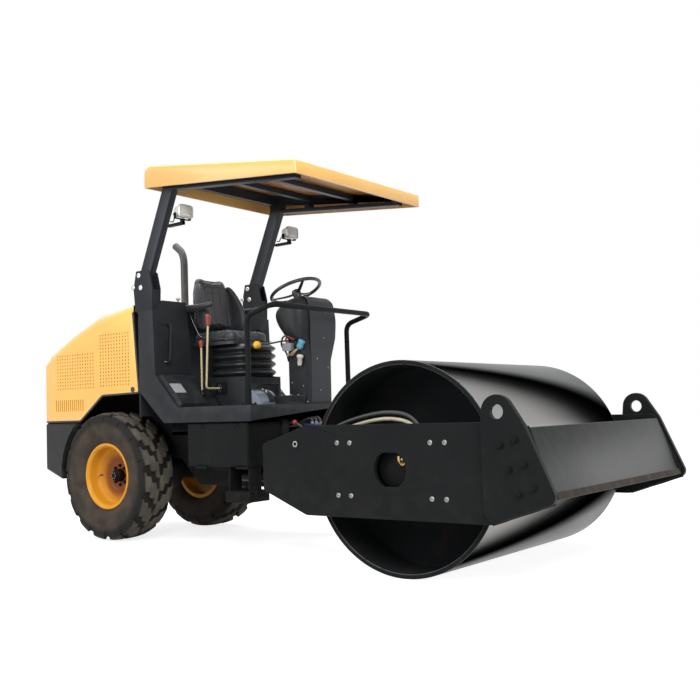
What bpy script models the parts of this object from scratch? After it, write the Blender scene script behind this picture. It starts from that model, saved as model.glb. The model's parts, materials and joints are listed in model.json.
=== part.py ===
"""Single-drum vibratory road roller with a canopy, built as an articulated machine.

Metres, +Z up, +X towards the drum, -Y is the machine's right side. Sizes are given in the machine's own
frame, with the drum's axis over X = 0 and the ground at Z = 0. Every body hangs from an empty on its joint's
axis, and the first empty moves the whole machine so that its length's middle is over the world's origin.
"""
import math

import bmesh
import bpy
from mathutils import Matrix, Vector

# General
ASSEMBLY = "road_roller"
SIDES = (("right", -1), ("left", 1))
SEAT_GAP = 0.0003
RUN_GAP = 0.006
MERGE = 0.00001

# Overall places along the machine
FRONT_END = 0.962
WHEELBASE = 2.82
AXLE_X = -WHEELBASE
FIREWALL_X = -2.385
PIVOT_X = -1.13
GROUND = 0.0

# Drum
DRUM_RADIUS = 0.60
DRUM_WIDTH = 1.70
DRUM_WALL = 0.026
DRUM_DISC_Y = 0.55
DRUM_DISC_THICK = 0.025
DRUM_BORE = 0.14
DRUM_STEPS = 48

# Drum frame
PLATE_OUTER_Y = 0.957
PLATE_THICK = 0.030
PLATE_REAR = -0.916
PLATE_SHAPE = (
    (PLATE_REAR, -0.135), (-0.590, -0.270), (0.610, -0.266), (0.930, -0.148), (0.945, -0.110),
    (0.800, 0.239), (0.760, 0.249), (-0.587, 0.249), (PLATE_REAR, 0.141))
LUG_THICK = 0.032
LUG_BITE = 0.004
LUG_SHAPE = (
    (0.575, 0.229), (0.575, -0.200), (0.612, -0.263), (FRONT_END - 0.012, -0.148), (FRONT_END, -0.110),
    (0.815, 0.232))
LUG_CENTRE = (0.668, DRUM_RADIUS + 0.301)
LUG_RADIUS = 0.086
LUG_HOLE = 0.037
ACCESS_RADIUS = 0.103
ACCESS_FLAT = 0.093
BEAM_TOP = (0.812, DRUM_RADIUS + 0.222)
BEAM_FOOT = (0.928, DRUM_RADIUS - 0.095)
BEAM_SHEET = 0.016
BEAM_FLANGE = 0.10
BEAM_LIP = 0.030
REAR_BEAM_X = (-0.905, -0.785)
REAR_BEAM_Z = (0.500, 0.760)
HEAD_RADIUS = 0.085
HEAD_Z = (0.475, 0.725)
NECK_HALF = 0.11
NECK_BITE = 0.020
PIN_RADIUS = 0.040
PIN_GAP = 0.002

# Drum carriers
CARRIER_Y = 0.800
CARRIER_THICK = 0.022
CARRIER_HALF_X = 0.385
CARRIER_HALF_Z = 0.195
BUFFER_X = 0.305
BUFFER_Z = 0.147
BUFFER_RADIUS = 0.050
CARRIER_HUB_RADIUS = DRUM_BORE * math.cos(math.pi / DRUM_STEPS) - SEAT_GAP
CARRIER_HUB_END = 0.500
MOTOR_RADIUS = 0.105
MOTOR_LENGTH = 0.075
MOTOR_BITE = 0.010

# Hoses to the drum motor
HOSE_RADIUS = 0.011
HOSE_INSET = 0.045
HOSE_PITCH = 0.036
PORT_X = 0.135
PORT_Z = (-0.020, 0.050)
HOSE_ARCH = ((-0.420, 0.195), (-0.220, 0.255), (-0.030, 0.275), (0.115, 0.235))

# Wheels
WHEEL_RADIUS = 0.485
TRACK = 0.98
TYRE_HALF = 0.150
TYRE_LUG = 0.024
TYRE_PITCHES = 15
TYRE_STEPS = 4
TYRE_GROOVE = 0.008
TYRE_STRIPS = (0.055, 0.102)
TYRE_WIDEST = 0.375
RIM_RADIUS = 0.250
RIM_HALF = 0.118
RIM_WALL = 0.010
BEAD_RADIUS = 0.228
DISC_INSET = 0.140
RIM_DISC = 0.014
RIM_CONE = (0.020, 0.030)
RIM_BORE = 0.050
HUB_RADIUS = 0.062
HUB_FLANGE = 0.035
HUB_STEP = 0.021
HUB_NOSE = ((0.000, 0.067), (0.032, 0.067), (0.036, 0.050), (0.046, 0.042))
RIM_STEPS = 28

# Rear frame
RAIL_Y = (TRACK / 2 - 0.285, TRACK / 2 - 0.210)
RAIL_TOP = 0.780
RAIL_DEEP = 0.415
RAIL_HIGH = WHEEL_RADIUS + 0.125
RAIL_FRONT = -1.300
RAIL_REAR = AXLE_X - 0.430
RAIL_STEP = (AXLE_X + 0.480, AXLE_X + 0.680)
EAR_THICK = 0.030
EAR_RADIUS = 0.090
EAR_LOW = HEAD_Z[0] - SEAT_GAP - EAR_THICK
EAR_HIGH = HEAD_Z[1] + RUN_GAP + EAR_THICK
CROSS_THICK = 0.060
CROSS_X = (AXLE_X + 0.770, AXLE_X + 0.340, RAIL_REAR + 0.005)
CROSS_RISE = (0.005, 0.050)
CROSS_BITE = 0.020
AXLE_RADIUS = 0.070
DIFF_RADIUS = 0.150
AXLE_END = TRACK / 2 - 0.1385
SADDLE_HALF = 0.080

# Counterweight
CW_HALF_Y = 0.630
HOOD_FOOT = 2 * WHEEL_RADIUS - 0.060
CW_TOP = HOOD_FOOT - 0.017
CW_REAR = AXLE_X - 0.720
CW_FRONT = AXLE_X - 0.300
CW_REAR_LOW = 0.530
CW_LOW = 0.403
CW_SLOPE_END = 0.080
CW_EDGE = 0.012
CW_ARCH = WHEEL_RADIUS + 0.040
CW_ARCH_SIDE = 0.045

# Engine, a plain block on the rails
ENGINE_X = (AXLE_X - 0.360, FIREWALL_X - 0.175)
ENGINE_HALF_Y = 0.270
ENGINE_TOP = 1.380

# Hood
HOOD_HALF_Y = 0.630
HOOD_REAR = CW_REAR + 0.010
HOOD_FRONT = ((FIREWALL_X - 0.083, 1.768), (FIREWALL_X - 0.022, 2 * WHEEL_RADIUS + 0.138))
HOOD_ARCH = ((AXLE_X - 0.006, 2 * WHEEL_RADIUS + 0.130), (AXLE_X - 0.567 * WHEEL_RADIUS, HOOD_FOOT))
HOOD_RUN = HOOD_FRONT[0][0] - HOOD_REAR
HOOD_CROWN = (
    (HOOD_REAR, 1.440), (HOOD_REAR + 0.3013 * HOOD_RUN, 1.592), (HOOD_REAR + 0.6026 * HOOD_RUN, 1.712),
    HOOD_FRONT[0])
HOOD_ROUND = 0.085
HOOD_SHEET = 0.015
HOOD_HINGE = (HOOD_REAR - 0.032, CW_TOP + 0.012)
HOOD_HINGE_RADIUS = 0.020
REAR_END = HOOD_HINGE[0] - HOOD_HINGE_RADIUS
HOOD_HINGE_Y = 0.380
HOOD_HINGE_HALF = 0.050
HINGE_EAR = 0.020
HINGE_KNUCKLE = HOOD_HINGE_RADIUS * 0.8
HINGE_LEAF = 0.008
HINGE_LEAF_TOP = HOOD_FOOT + 0.080
EAR_ROOT = (CW_REAR + 0.031, HOOD_HINGE[1] - 0.083, HOOD_HINGE[1] - 0.042)
VENT_SLITS = 14
VENT_START = HOOD_REAR + 0.125
VENT_PITCH = 0.026
VENT_WIDTH = 0.011
VENT_Z = (HOOD_FOOT + 0.075, HOOD_FOOT + 0.165)
STACK_X = FIREWALL_X - 0.335
STACK_Y = 0.160
STACK_RADIUS = 0.030
STACK_TOP = 2.320
STACK_BEND = 0.100

# Operator's platform
DECK_HALF_Y = 0.640
DECK_SHEET = 0.012
DECK_TOP = 0.985
DECK_SKIRT = 0.878
SKIRT_TUCK = 0.003
DECK_FRONT = -1.295
BEARER_INSET = 0.010
RAMP_TOP = (FIREWALL_X + 0.170, 1.225)
RAMP_FOOT_X = -1.990
STRIP_REAR = FIREWALL_X
STRIP_FRONT = FIREWALL_X + 0.155
STRIP_TOP = 1.700
STRIP_FOOT = (FIREWALL_X, 2 * WHEEL_RADIUS + 0.140)
SKIRT_REAR = FIREWALL_X + 0.255
BULK_TOP = 1.775
BULK_INNER_Y = 0.270
BULK_SHOULDER_Y = 0.545
BULK_KNEE_Z = 1.460
FIREWALL_TOP = 1.640
FIREWALL_FOOT = 0.930
HANDLE_OUT = 0.048
HANDLE_ENDS = ((0.500, 1.600), (0.520, 1.320))
HANDLE_BEND = 0.030
HANDLE_RADIUS = 0.011

# Roll-over frame and canopy
POST_Y = (0.563, 0.623)
POST_WIDTH = 0.110
POST_FOOT_X = FIREWALL_X - 0.047
POST_FOOT_Z = STRIP_TOP + 0.152
POST_LEAN = 0.439
POST_TOP_Z = 2.640
FOOT_CHEEK = 0.012
FOOT_RISE = 0.148
FOOT_TOP = POST_FOOT_Z + FOOT_RISE
FOOT_BASE = ((0.012, 0.192), (0.196, -0.004))
FOOT_CHEEK_X = (0.012, 0.192, 0.200, 0.170, 0.132, 0.027, -0.004)
CANOPY_HALF_Y = 0.730
CANOPY_X = (-2.200, -0.780)
CANOPY_RIM = (2.574, 2.425)
CANOPY_CROWN = (2.738, 2.515)
CANOPY_WALL = 0.014
CANOPY_ROUND = 0.022
CANOPY_CORNER = 0.075
FRAME_X = (-2.115, -0.870)
FRAME_CHORD = 0.030
FRAME_STILE = 0.050
FRAME_INNER_STILES = (-1.750, -1.320)
CROSS_BEAM_DEPTHS = (0.075, 0.040, 0.040, 0.036)

# Work lamps
LAMP_PLACE = (-1.945, 0.593, 2.378)
LAMP_HALF = (0.045, 0.068, 0.048)
LAMP_ARM_Z = (-0.090, -0.070)
LAMP_ARM_Y = (0.578, 0.608)
LAMP_STEM = 0.012
LAMP_ROUND = 0.012

# Seat
SEAT_HALF_Y = 0.240
PEDESTAL_X = (-2.120, -1.740)
PEDESTAL_HALF_Y = 0.200
PEDESTAL_TOP = 1.200
BELLOWS_TOP = 1.440
BELLOWS_FOLDS = 4
BELLOWS_HALF = (0.200, 0.192)
CUSHION_X = (-2.290, -1.825)
CUSHION_TOP = 1.556
BACK_TILT = math.radians(9)
BACK_HEIGHT = 0.455
BACK_THICK = 0.095
ARM_TOP = 1.760
ARM_LENGTH = 0.290
ARM_DEPTH = 0.045
ARM_Y = (SEAT_HALF_Y + 0.008, SEAT_HALF_Y + 0.060)
ARM_ROUND = 0.014

# Steering console and wheel
CONSOLE_Y = 0.190
COLUMN_HALF_Y = 0.145
COLUMN_X = (-1.530, -1.365)
POD_HALF_Y = 0.200
POD_FOOT = 1.440
POD_TOP = 1.775
POD_ROUND = 0.045
WHEEL_CENTRE = (-1.560, 0.190, 1.835)
WHEEL_TILT = math.radians(22)
WHEEL_RIM = 0.190
WHEEL_GRIP = 0.014
WHEEL_HUB_DEPTH = 0.056

# Handrail, levers and pedal
RAIL_TUBE = 0.019
RAIL_POST = (-1.375, 0.563)
RAIL_CORNER = (-1.150, 1.645)
LEVER_ROD = 0.008
LEVER_SHORT = (-2.070, -0.310, 1.440)
LEVER_SHORT_KNOB = (0.022, 1.425, 1.478)
LEVER_TALL = (-1.985, -0.350, 1.120)
LEVER_TALL_TOP = (-1.955, 1.590)
LEVER_GRIP = (0.023, 1.575, 1.662)
PEDAL_X = -1.600
PEDAL_Y = (-0.330, -0.130)
PEDAL_RADIUS = 0.110

# Steering cylinders
CYL_Z = 0.495
CYL_Y = RAIL_Y[1] + 0.100
CYL_REAR_X = -1.720
CYL_FRONT_X = -0.980
BARREL_RADIUS = 0.034
ROD_RADIUS = 0.018
EYE_RADIUS = 0.030
EYE_HALF = 0.018
CYL_PIN = 0.014
CLEVIS_PLATE = 0.014
CLEVIS_GAP = 0.0055
CYL_STROKE = 0.2065
BARREL_START = 0.040
BARREL_FLOOR = 0.048
BARREL_LENGTH = 0.478
ROD_FLOOR_GAP = 0.004

# Boxes and steps beside the frame
BOX_X = (-1.915, -1.340)
BOX_Z = (0.575, 0.872)
BOX_OUTER_Y = 0.620
STEP_X = (-1.558, -1.338)
STEP_Z = (0.340, 0.412)
STEP_INNER_Y = 0.420
HANGER_Y = (CYL_Y + 0.105, 0.600)
HANGER_THICK = 0.012

# Hydraulic block on the articulation
VALVE_X = (-1.285, -1.175)
VALVE_Y = (-0.105, 0.045)
VALVE_HEIGHT = 0.085


def material(name, colour, roughness, metallic):
    """A Principled material with one colour."""
    made = bpy.data.materials.new(name)
    made.use_nodes = True
    shader = made.node_tree.nodes["Principled BSDF"]
    shader.inputs["Base Color"].default_value = (*colour, 1.0)
    shader.inputs["Roughness"].default_value = roughness
    shader.inputs["Metallic"].default_value = metallic
    made.diffuse_color = (*colour, 1.0)
    return made


def link(mesh, collection):
    """An object for the mesh, in the collection."""
    made = bpy.data.objects.new(mesh.name, mesh)
    collection.objects.link(made)
    return made


def from_bmesh(work):
    """An object from a bmesh, with welded points and outward faces."""
    bmesh.ops.remove_doubles(work, verts=work.verts, dist=MERGE)
    bmesh.ops.recalc_face_normals(work, faces=work.faces)
    mesh = bpy.data.meshes.new("shape")
    work.to_mesh(mesh)
    work.free()
    return link(mesh, DRAFTS)


def settle(shape):
    """The shape with its modifiers and its place worked into the mesh."""
    bpy.context.view_layer.update()
    graph = bpy.context.evaluated_depsgraph_get()
    mesh = bpy.data.meshes.new_from_object(shape.evaluated_get(graph), depsgraph=graph)
    mesh.transform(shape.matrix_world)
    work = bmesh.new()
    work.from_mesh(mesh)
    bpy.data.meshes.remove(mesh)
    bpy.data.objects.remove(shape)
    return from_bmesh(work)


def block(x, y, z):
    """A box from low and high values along each axis."""
    work = bmesh.new()
    bmesh.ops.create_cube(work, size=1.0)
    size = Matrix.Diagonal((x[1] - x[0], y[1] - y[0], z[1] - z[0], 1.0))
    centre = Vector(((x[0] + x[1]) / 2, (y[0] + y[1]) / 2, (z[0] + z[1]) / 2))
    bmesh.ops.transform(work, matrix=Matrix.Translation(centre) @ size, verts=work.verts)
    return from_bmesh(work)


def outline(points, low, high, turn):
    """A flat outline, extruded from low to high along the local Z and then turned."""
    curve = bpy.data.curves.new("outline", "CURVE")
    curve.dimensions = "2D"
    curve.fill_mode = "BOTH"
    curve.extrude = (high - low) / 2
    spline = curve.splines.new("POLY")
    spline.points.add(len(points) - 1)
    for place, (u, v) in zip(spline.points, points):
        place.co = (u, v, 0.0, 1.0)
    spline.use_cyclic_u = True
    shape = link_curve(curve)
    shape.matrix_world = turn @ Matrix.Translation((0.0, 0.0, (low + high) / 2))
    return settle(shape)


def link_curve(curve):
    """An object for a curve, among the drafts."""
    made = bpy.data.objects.new("curve", curve)
    DRAFTS.objects.link(made)
    return made


SIDE_VIEW = Matrix(((1, 0, 0, 0), (0, 0, 1, 0), (0, 1, 0, 0), (0, 0, 0, 1)))
PLAN_VIEW = Matrix.Identity(4)
END_VIEW = Matrix(((0, 0, 1, 0), (1, 0, 0, 0), (0, 1, 0, 0), (0, 0, 0, 1)))


def side_plate(points, y):
    """An outline in X and Z, as thick as the two Y values say."""
    return outline(points, min(y), max(y), SIDE_VIEW)


def plan_plate(points, z):
    """An outline in X and Y, as thick as the two Z values say."""
    return outline(points, min(z), max(z), PLAN_VIEW)


def end_plate(points, x):
    """An outline in Y and Z, as thick as the two X values say."""
    return outline(points, min(x), max(x), END_VIEW)


def arc(centre, radius, start, stop, steps):
    """Points on an arc, with the angles in degrees."""
    angles = [math.radians(start + (stop - start) * i / steps) for i in range(steps + 1)]
    return [(centre[0] + radius * math.cos(a), centre[1] + radius * math.sin(a)) for a in angles]


def turned(profile, centre, axis, steps, closed=False):
    """A profile of (radius, length) pairs turned about an axis through the centre."""
    work = bmesh.new()
    places = [work.verts.new((radius, 0.0, length)) for radius, length in profile]
    pairs = list(zip(places, places[1:]))
    if closed:
        pairs.append((places[-1], places[0]))
    for first, second in pairs:
        work.edges.new((first, second))
    mesh = bpy.data.meshes.new("profile")
    work.to_mesh(mesh)
    work.free()
    shape = link(mesh, DRAFTS)
    screw = shape.modifiers.new("Screw", "SCREW")
    screw.steps = steps
    screw.render_steps = steps
    screw.use_merge_vertices = True
    screw.merge_threshold = MERGE
    turn = Vector((0.0, 0.0, 1.0)).rotation_difference(Vector(axis)).to_matrix().to_4x4()
    shape.matrix_world = Matrix.Translation(centre) @ turn
    return settle(shape)


def flat_radius(radius, steps):
    """The radius of the flats of a round that is turned in steps."""
    return radius * math.cos(math.pi / steps)


def round_bar(start, stop, radius, steps=24):
    """A cylinder between two points."""
    start, stop = Vector(start), Vector(stop)
    along = stop - start
    work = bmesh.new()
    bmesh.ops.create_cone(
        work, cap_ends=True, segments=steps, radius1=radius, radius2=radius, depth=along.length)
    turn = Vector((0.0, 0.0, 1.0)).rotation_difference(along.normalized()).to_matrix().to_4x4()
    bmesh.ops.transform(work, matrix=Matrix.Translation((start + stop) / 2) @ turn, verts=work.verts)
    return from_bmesh(work)


def pipe(points, radius, resolution=3):
    """A tube with filled ends along a list of points."""
    curve = bpy.data.curves.new("pipe", "CURVE")
    curve.dimensions = "3D"
    curve.bevel_depth = radius
    curve.bevel_resolution = resolution
    curve.use_fill_caps = True
    spline = curve.splines.new("POLY")
    spline.points.add(len(points) - 1)
    for place, point in zip(spline.points, points):
        place.co = (*point, 1.0)
    return settle(link_curve(curve))


def bent(points, bend, steps=5):
    """The points of a path whose corners are rounded with the bend radius."""
    places = [Vector(p) for p in points]
    path = [places[0]]
    for before, corner, after in zip(places, places[1:], places[2:]):
        back, on = (before - corner).normalized(), (after - corner).normalized()
        half = back.angle(on) / 2
        reach = bend / math.tan(half)
        middle = corner + (back + on).normalized() * (bend / math.sin(half))
        first, last = corner + back * reach - middle, corner + on * reach - middle
        path += [middle + first.slerp(last, i / steps).normalized() * bend for i in range(steps + 1)]
    return path + [places[-1]]


def combine(shape, others, operation):
    """The shape after one Boolean with each of the others, which are used up."""
    for other in others:
        step = shape.modifiers.new("Boolean", "BOOLEAN")
        step.operation = operation
        step.solver = "EXACT"
        step.object = other
        shape = settle(shape)
        bpy.data.objects.remove(other)
    return shape


def fused(shape, *others):
    """One solid from shapes that meet."""
    return combine(shape, others, "UNION")


def cut(shape, *tools):
    """The shape without the tools' space."""
    return combine(shape, tools, "DIFFERENCE")


def softened(shape, width, segments=2, angle=40):
    """The shape with its sharp edges rounded."""
    bevel = shape.modifiers.new("Bevel", "BEVEL")
    bevel.width = width
    bevel.segments = segments
    bevel.limit_method = "ANGLE"
    bevel.angle_limit = math.radians(angle)
    return settle(shape)


def shell(shape, open_faces, wall):
    """A hollow shell from a solid: the faces that the test picks are open, the wall goes inwards."""
    work = bmesh.new()
    work.from_mesh(shape.data)
    gone = [face for face in work.faces if open_faces(face.normal, face.calc_center_median())]
    bmesh.ops.delete(work, geom=gone, context="FACES")
    mesh = bpy.data.meshes.new("shell")
    work.to_mesh(mesh)
    work.free()
    bpy.data.objects.remove(shape)
    made = link(mesh, DRAFTS)
    solidify = made.modifiers.new("Solidify", "SOLIDIFY")
    solidify.thickness = wall
    solidify.offset = -1.0
    solidify.use_even_offset = True
    return settle(made)


def span(side, low, high):
    """A low and high Y on the given side of the machine."""
    return tuple(sorted((side * low, side * high)))


class Machine:
    """The bodies' empties and the finished nodes."""

    def __init__(self):
        self.places = {}
        self.empties = {}

    def body(self, name, place, parent=None):
        """An empty on a body's joint axis."""
        empty = bpy.data.objects.new(name, None)
        PARTS.objects.link(empty)
        self.places[name] = Vector(place)
        self.empties[name] = empty
        if parent:
            empty.parent = self.empties[parent]
            empty.location = self.places[name] - self.places[parent]
        else:
            empty.location = (-(FRONT_END + REAR_END) / 2, 0.0, GROUND)

    def add(self, body, name, shape, paint, smooth=40):
        """A finished shape as the named node of a body."""
        shape.data.transform(Matrix.Translation(-self.places[body]))
        shape.name = name
        shape.data.name = name
        shape.data.materials.clear()
        shape.data.materials.append(paint)
        shape.data.shade_smooth()
        shape.data.set_sharp_from_angle(angle=math.radians(smooth))
        DRAFTS.objects.unlink(shape)
        PARTS.objects.link(shape)
        shape.parent = self.empties[body]


# Drum and drum frame


def make_drum():
    """The open-ended drum with its two bored discs, as one turned ring."""
    half = DRUM_WIDTH / 2
    inner = DRUM_RADIUS - DRUM_WALL
    face = DRUM_DISC_Y
    back = DRUM_DISC_Y - DRUM_DISC_THICK
    upper = [
        (DRUM_RADIUS, half), (inner, half), (inner, face), (DRUM_BORE, face), (DRUM_BORE, back),
        (inner, back)]
    lower = [(radius, -length) for radius, length in reversed(upper)]
    return turned(upper + lower, (0.0, 0.0, DRUM_RADIUS), (0.0, 1.0, 0.0), DRUM_STEPS, closed=True)


def plate_outline():
    """The drum frame's side plate in X and Z, from its rear end round to the front."""
    return [(x, DRUM_RADIUS + z) for x, z in PLATE_SHAPE]


def lug_outline():
    """The thick front plate in X and Z with its lifting lug."""
    return [(x, DRUM_RADIUS + z) for x, z in LUG_SHAPE] + arc(LUG_CENTRE, LUG_RADIUS, 28, 178, 9)


def make_side_plate(side):
    """A side plate with its access hole and the bolted front plate with the lifting lug."""
    inner = PLATE_OUTER_Y - PLATE_THICK
    plate = side_plate(plate_outline(), span(side, inner, PLATE_OUTER_Y))
    flat = math.degrees(math.asin(ACCESS_FLAT / ACCESS_RADIUS))
    centre = (0.0, DRUM_RADIUS)
    hole = arc(centre, ACCESS_RADIUS, -flat, flat, 9) + arc(centre, ACCESS_RADIUS, 180 - flat, 180 + flat, 9)
    plate = cut(plate, side_plate(hole, span(side, inner - 0.02, PLATE_OUTER_Y + 0.02)))
    lug = side_plate(lug_outline(), span(side, PLATE_OUTER_Y - LUG_BITE, PLATE_OUTER_Y + LUG_THICK))
    eye = arc(LUG_CENTRE, LUG_HOLE, 0, 340, 17)
    lug = cut(lug, side_plate(eye, span(side, inner - 0.02, PLATE_OUTER_Y + 0.1)))
    return fused(plate, lug)


def make_front_beam():
    """The inclined channel between the side plates, with its lip below."""
    top, foot = Vector(BEAM_TOP), Vector(BEAM_FOOT)
    down = (foot - top).normalized()
    ahead = Vector((-down.y, down.x))
    if ahead.x < 0:
        ahead.negate()
    lip = foot + down * BEAM_LIP
    inner_top = top + down * BEAM_SHEET
    inner_foot = foot - down * BEAM_SHEET
    points = [
        top, lip, lip - ahead * BEAM_SHEET, foot - ahead * BEAM_SHEET, foot - ahead * BEAM_FLANGE,
        inner_foot - ahead * BEAM_FLANGE, inner_foot - ahead * BEAM_SHEET,
        inner_top - ahead * BEAM_SHEET, inner_top - ahead * BEAM_FLANGE, top - ahead * BEAM_FLANGE]
    half = PLATE_OUTER_Y - PLATE_THICK - SEAT_GAP
    return side_plate([tuple(p) for p in points], (-half, half))


def make_rear_beam():
    """The drum frame's rear beam with the articulation head and the cylinder clevises."""
    half = PLATE_OUTER_Y - PLATE_THICK - SEAT_GAP
    beam = block(REAR_BEAM_X, (-half, half), REAR_BEAM_Z)
    root = REAR_BEAM_X[0] + NECK_BITE
    neck = block((PIVOT_X, root), (-NECK_HALF * 0.7, NECK_HALF * 0.7), HEAD_Z)
    head = round_bar((PIVOT_X, 0, HEAD_Z[0]), (PIVOT_X, 0, HEAD_Z[1]), HEAD_RADIUS, 16)
    shape = fused(beam, neck, head)
    for side in (-1, 1):
        for low in clevis_levels():
            ear = clevis_ear(CYL_FRONT_X, root, side, low)
            shape = fused(shape, ear)
        drop = block((REAR_BEAM_X[0], root + NECK_BITE), span(side, CYL_Y - 0.05, CYL_Y + 0.05),
                     (clevis_levels()[0], REAR_BEAM_Z[0] + 0.01))
        shape = fused(shape, drop)
    bore = round_bar((PIVOT_X, 0, HEAD_Z[0] - 0.02), (PIVOT_X, 0, HEAD_Z[1] + 0.02),
                     PIN_RADIUS + PIN_GAP, 16)
    return cut(shape, bore)


def clevis_levels():
    """The undersides of the two plates that hold a cylinder's eye."""
    gap = EYE_HALF + CLEVIS_GAP
    return CYL_Z - gap - CLEVIS_PLATE, CYL_Z + gap


def clevis_ear(pin_x, root_x, side, low):
    """One round-ended plate of a cylinder's clevis, from its root to its pin's place."""
    centre = (pin_x, side * CYL_Y)
    ahead = root_x > pin_x
    start = 90 if ahead else -90
    points = arc(centre, EYE_RADIUS, start, start + 180, 6)
    points += [(root_x, points[-1][1]), (root_x, points[0][1])]
    return plan_plate(points, (low, low + CLEVIS_PLATE))


def make_carrier(side):
    """The plate on four rubber buffers that carries one end of the drum, with its bearing hub."""
    plate_y = span(side, CARRIER_Y, CARRIER_Y + CARRIER_THICK)
    shape = block((-CARRIER_HALF_X, CARRIER_HALF_X), plate_y,
                  (DRUM_RADIUS - CARRIER_HALF_Z, DRUM_RADIUS + CARRIER_HALF_Z))
    hub = round_bar((0, side * CARRIER_HUB_END, DRUM_RADIUS),
                    (0, side * (CARRIER_Y + MOTOR_BITE), DRUM_RADIUS), CARRIER_HUB_RADIUS, 20)
    motor = round_bar((0, side * (CARRIER_Y + MOTOR_BITE), DRUM_RADIUS),
                      (0, side * (CARRIER_Y + CARRIER_THICK + MOTOR_LENGTH), DRUM_RADIUS), MOTOR_RADIUS, 16)
    shape = fused(shape, hub, motor)
    if side < 0:
        port_y = PLATE_OUTER_Y - PLATE_THICK - HOSE_INSET
        port = block((MOTOR_RADIUS - 0.03, PORT_X), span(side, port_y - 0.018, port_y + 0.012),
                     (DRUM_RADIUS + PORT_Z[0], DRUM_RADIUS + PORT_Z[1]))
        shape = fused(shape, port)
    seat = PLATE_OUTER_Y - PLATE_THICK - SEAT_GAP
    for along in (-BUFFER_X, BUFFER_X):
        for up in (-BUFFER_Z, BUFFER_Z):
            start = (along, side * (CARRIER_Y + MOTOR_BITE), DRUM_RADIUS + up)
            stop = (along, side * seat, DRUM_RADIUS + up)
            shape = fused(shape, round_bar(start, stop, BUFFER_RADIUS, 12))
    return shape


def make_hose(lift):
    """One of the hoses that arch over the side plate on their way to the drum motor."""
    inner = PLATE_OUTER_Y - PLATE_THICK
    middle_y = HOSE_INSET - inner
    start = Vector((REAR_BEAM_X[1] + SEAT_GAP, middle_y - 0.003, REAR_BEAM_Z[1] - 0.120 + lift))
    port_z = DRUM_RADIUS + HOSE_PITCH - lift
    route = [start, start + Vector((0.020, 0.0, 0.0)), start + Vector((0.050, 0.0, 0.003)),
             Vector((-0.600, middle_y - 0.007, DRUM_RADIUS + 0.090 + lift))]
    route += [Vector((x, middle_y, DRUM_RADIUS + z + lift)) for x, z in HOSE_ARCH]
    route += [Vector((PORT_X + 0.047 + lift * 1.2, middle_y, DRUM_RADIUS + 0.110)),
              Vector((PORT_X + 0.035 + lift, middle_y, port_z)), Vector((PORT_X + 0.015, middle_y, port_z)),
              Vector((PORT_X + SEAT_GAP, middle_y, port_z))]
    return pipe(smooth_path(route, 2), HOSE_RADIUS, 1)


def smooth_path(route, steps):
    """Points on a smooth curve that passes through every point of the route."""
    places = [route[0] * 2 - route[1], *route, route[-1] * 2 - route[-2]]
    path = []
    for a, b, c, d in zip(places, places[1:], places[2:], places[3:]):
        for i in range(steps):
            t = i / steps
            path.append((b * 2 + (c - a) * t + (a * 2 - b * 5 + c * 4 - d) * t ** 2
                         + (b * 3 - a - c * 3 + d) * t ** 3) / 2)
    return path + [route[-1]]


# Rear frame, axle and counterweight


def make_rear_frame():
    """Two rails, cross members, the articulation ears with their pin and the cylinders' rear ears."""
    rail = [
        (RAIL_FRONT, RAIL_DEEP), (RAIL_FRONT, RAIL_TOP), (RAIL_REAR, RAIL_TOP), (RAIL_REAR, RAIL_HIGH),
        (RAIL_STEP[0], RAIL_HIGH), (RAIL_STEP[1], RAIL_DEEP)]
    shape = side_plate(rail, span(1, *RAIL_Y))
    shape = fused(shape, block((RAIL_FRONT - CROSS_THICK, RAIL_FRONT), (-RAIL_Y[1], RAIL_Y[1]),
                               (EAR_LOW, EAR_HIGH)), side_plate(rail, span(-1, *RAIL_Y)))
    for x in CROSS_X:
        low = RAIL_HIGH + CROSS_RISE[0] if x < RAIL_STEP[1] else RAIL_DEEP + CROSS_RISE[1]
        half = RAIL_Y[0] + CROSS_BITE
        shape = fused(shape, block((x, x + CROSS_THICK), (-half, half), (low, RAIL_TOP - CROSS_BITE)))
    for low in (EAR_LOW, EAR_HIGH - EAR_THICK):
        ear = arc((PIVOT_X, 0.0), EAR_RADIUS, -90, 90, 8)
        ear += [(RAIL_FRONT - 0.02, NECK_HALF + 0.06), (RAIL_FRONT - 0.02, -NECK_HALF - 0.06)]
        shape = fused(shape, plan_plate(ear, (low, low + EAR_THICK)))
    shape = fused(shape, round_bar((PIVOT_X, 0, EAR_LOW), (PIVOT_X, 0, EAR_HIGH), PIN_RADIUS, 16))
    for side in (-1, 1):
        for low in clevis_levels():
            start = 0 if side > 0 else 180
            points = arc((CYL_REAR_X, side * CYL_Y), EYE_RADIUS, start, start + 180, 6)
            points += [(points[-1][0], side * (RAIL_Y[1] - 0.01)), (points[0][0], side * (RAIL_Y[1] - 0.01))]
            shape = fused(shape, plan_plate(points, (low, low + CLEVIS_PLATE)))
        pin = round_bar((CYL_REAR_X, side * CYL_Y, clevis_levels()[0]),
                        (CYL_REAR_X, side * CYL_Y, clevis_levels()[1] + CLEVIS_PLATE), CYL_PIN, 12)
        shape = fused(shape, pin)
    return shape


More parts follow.
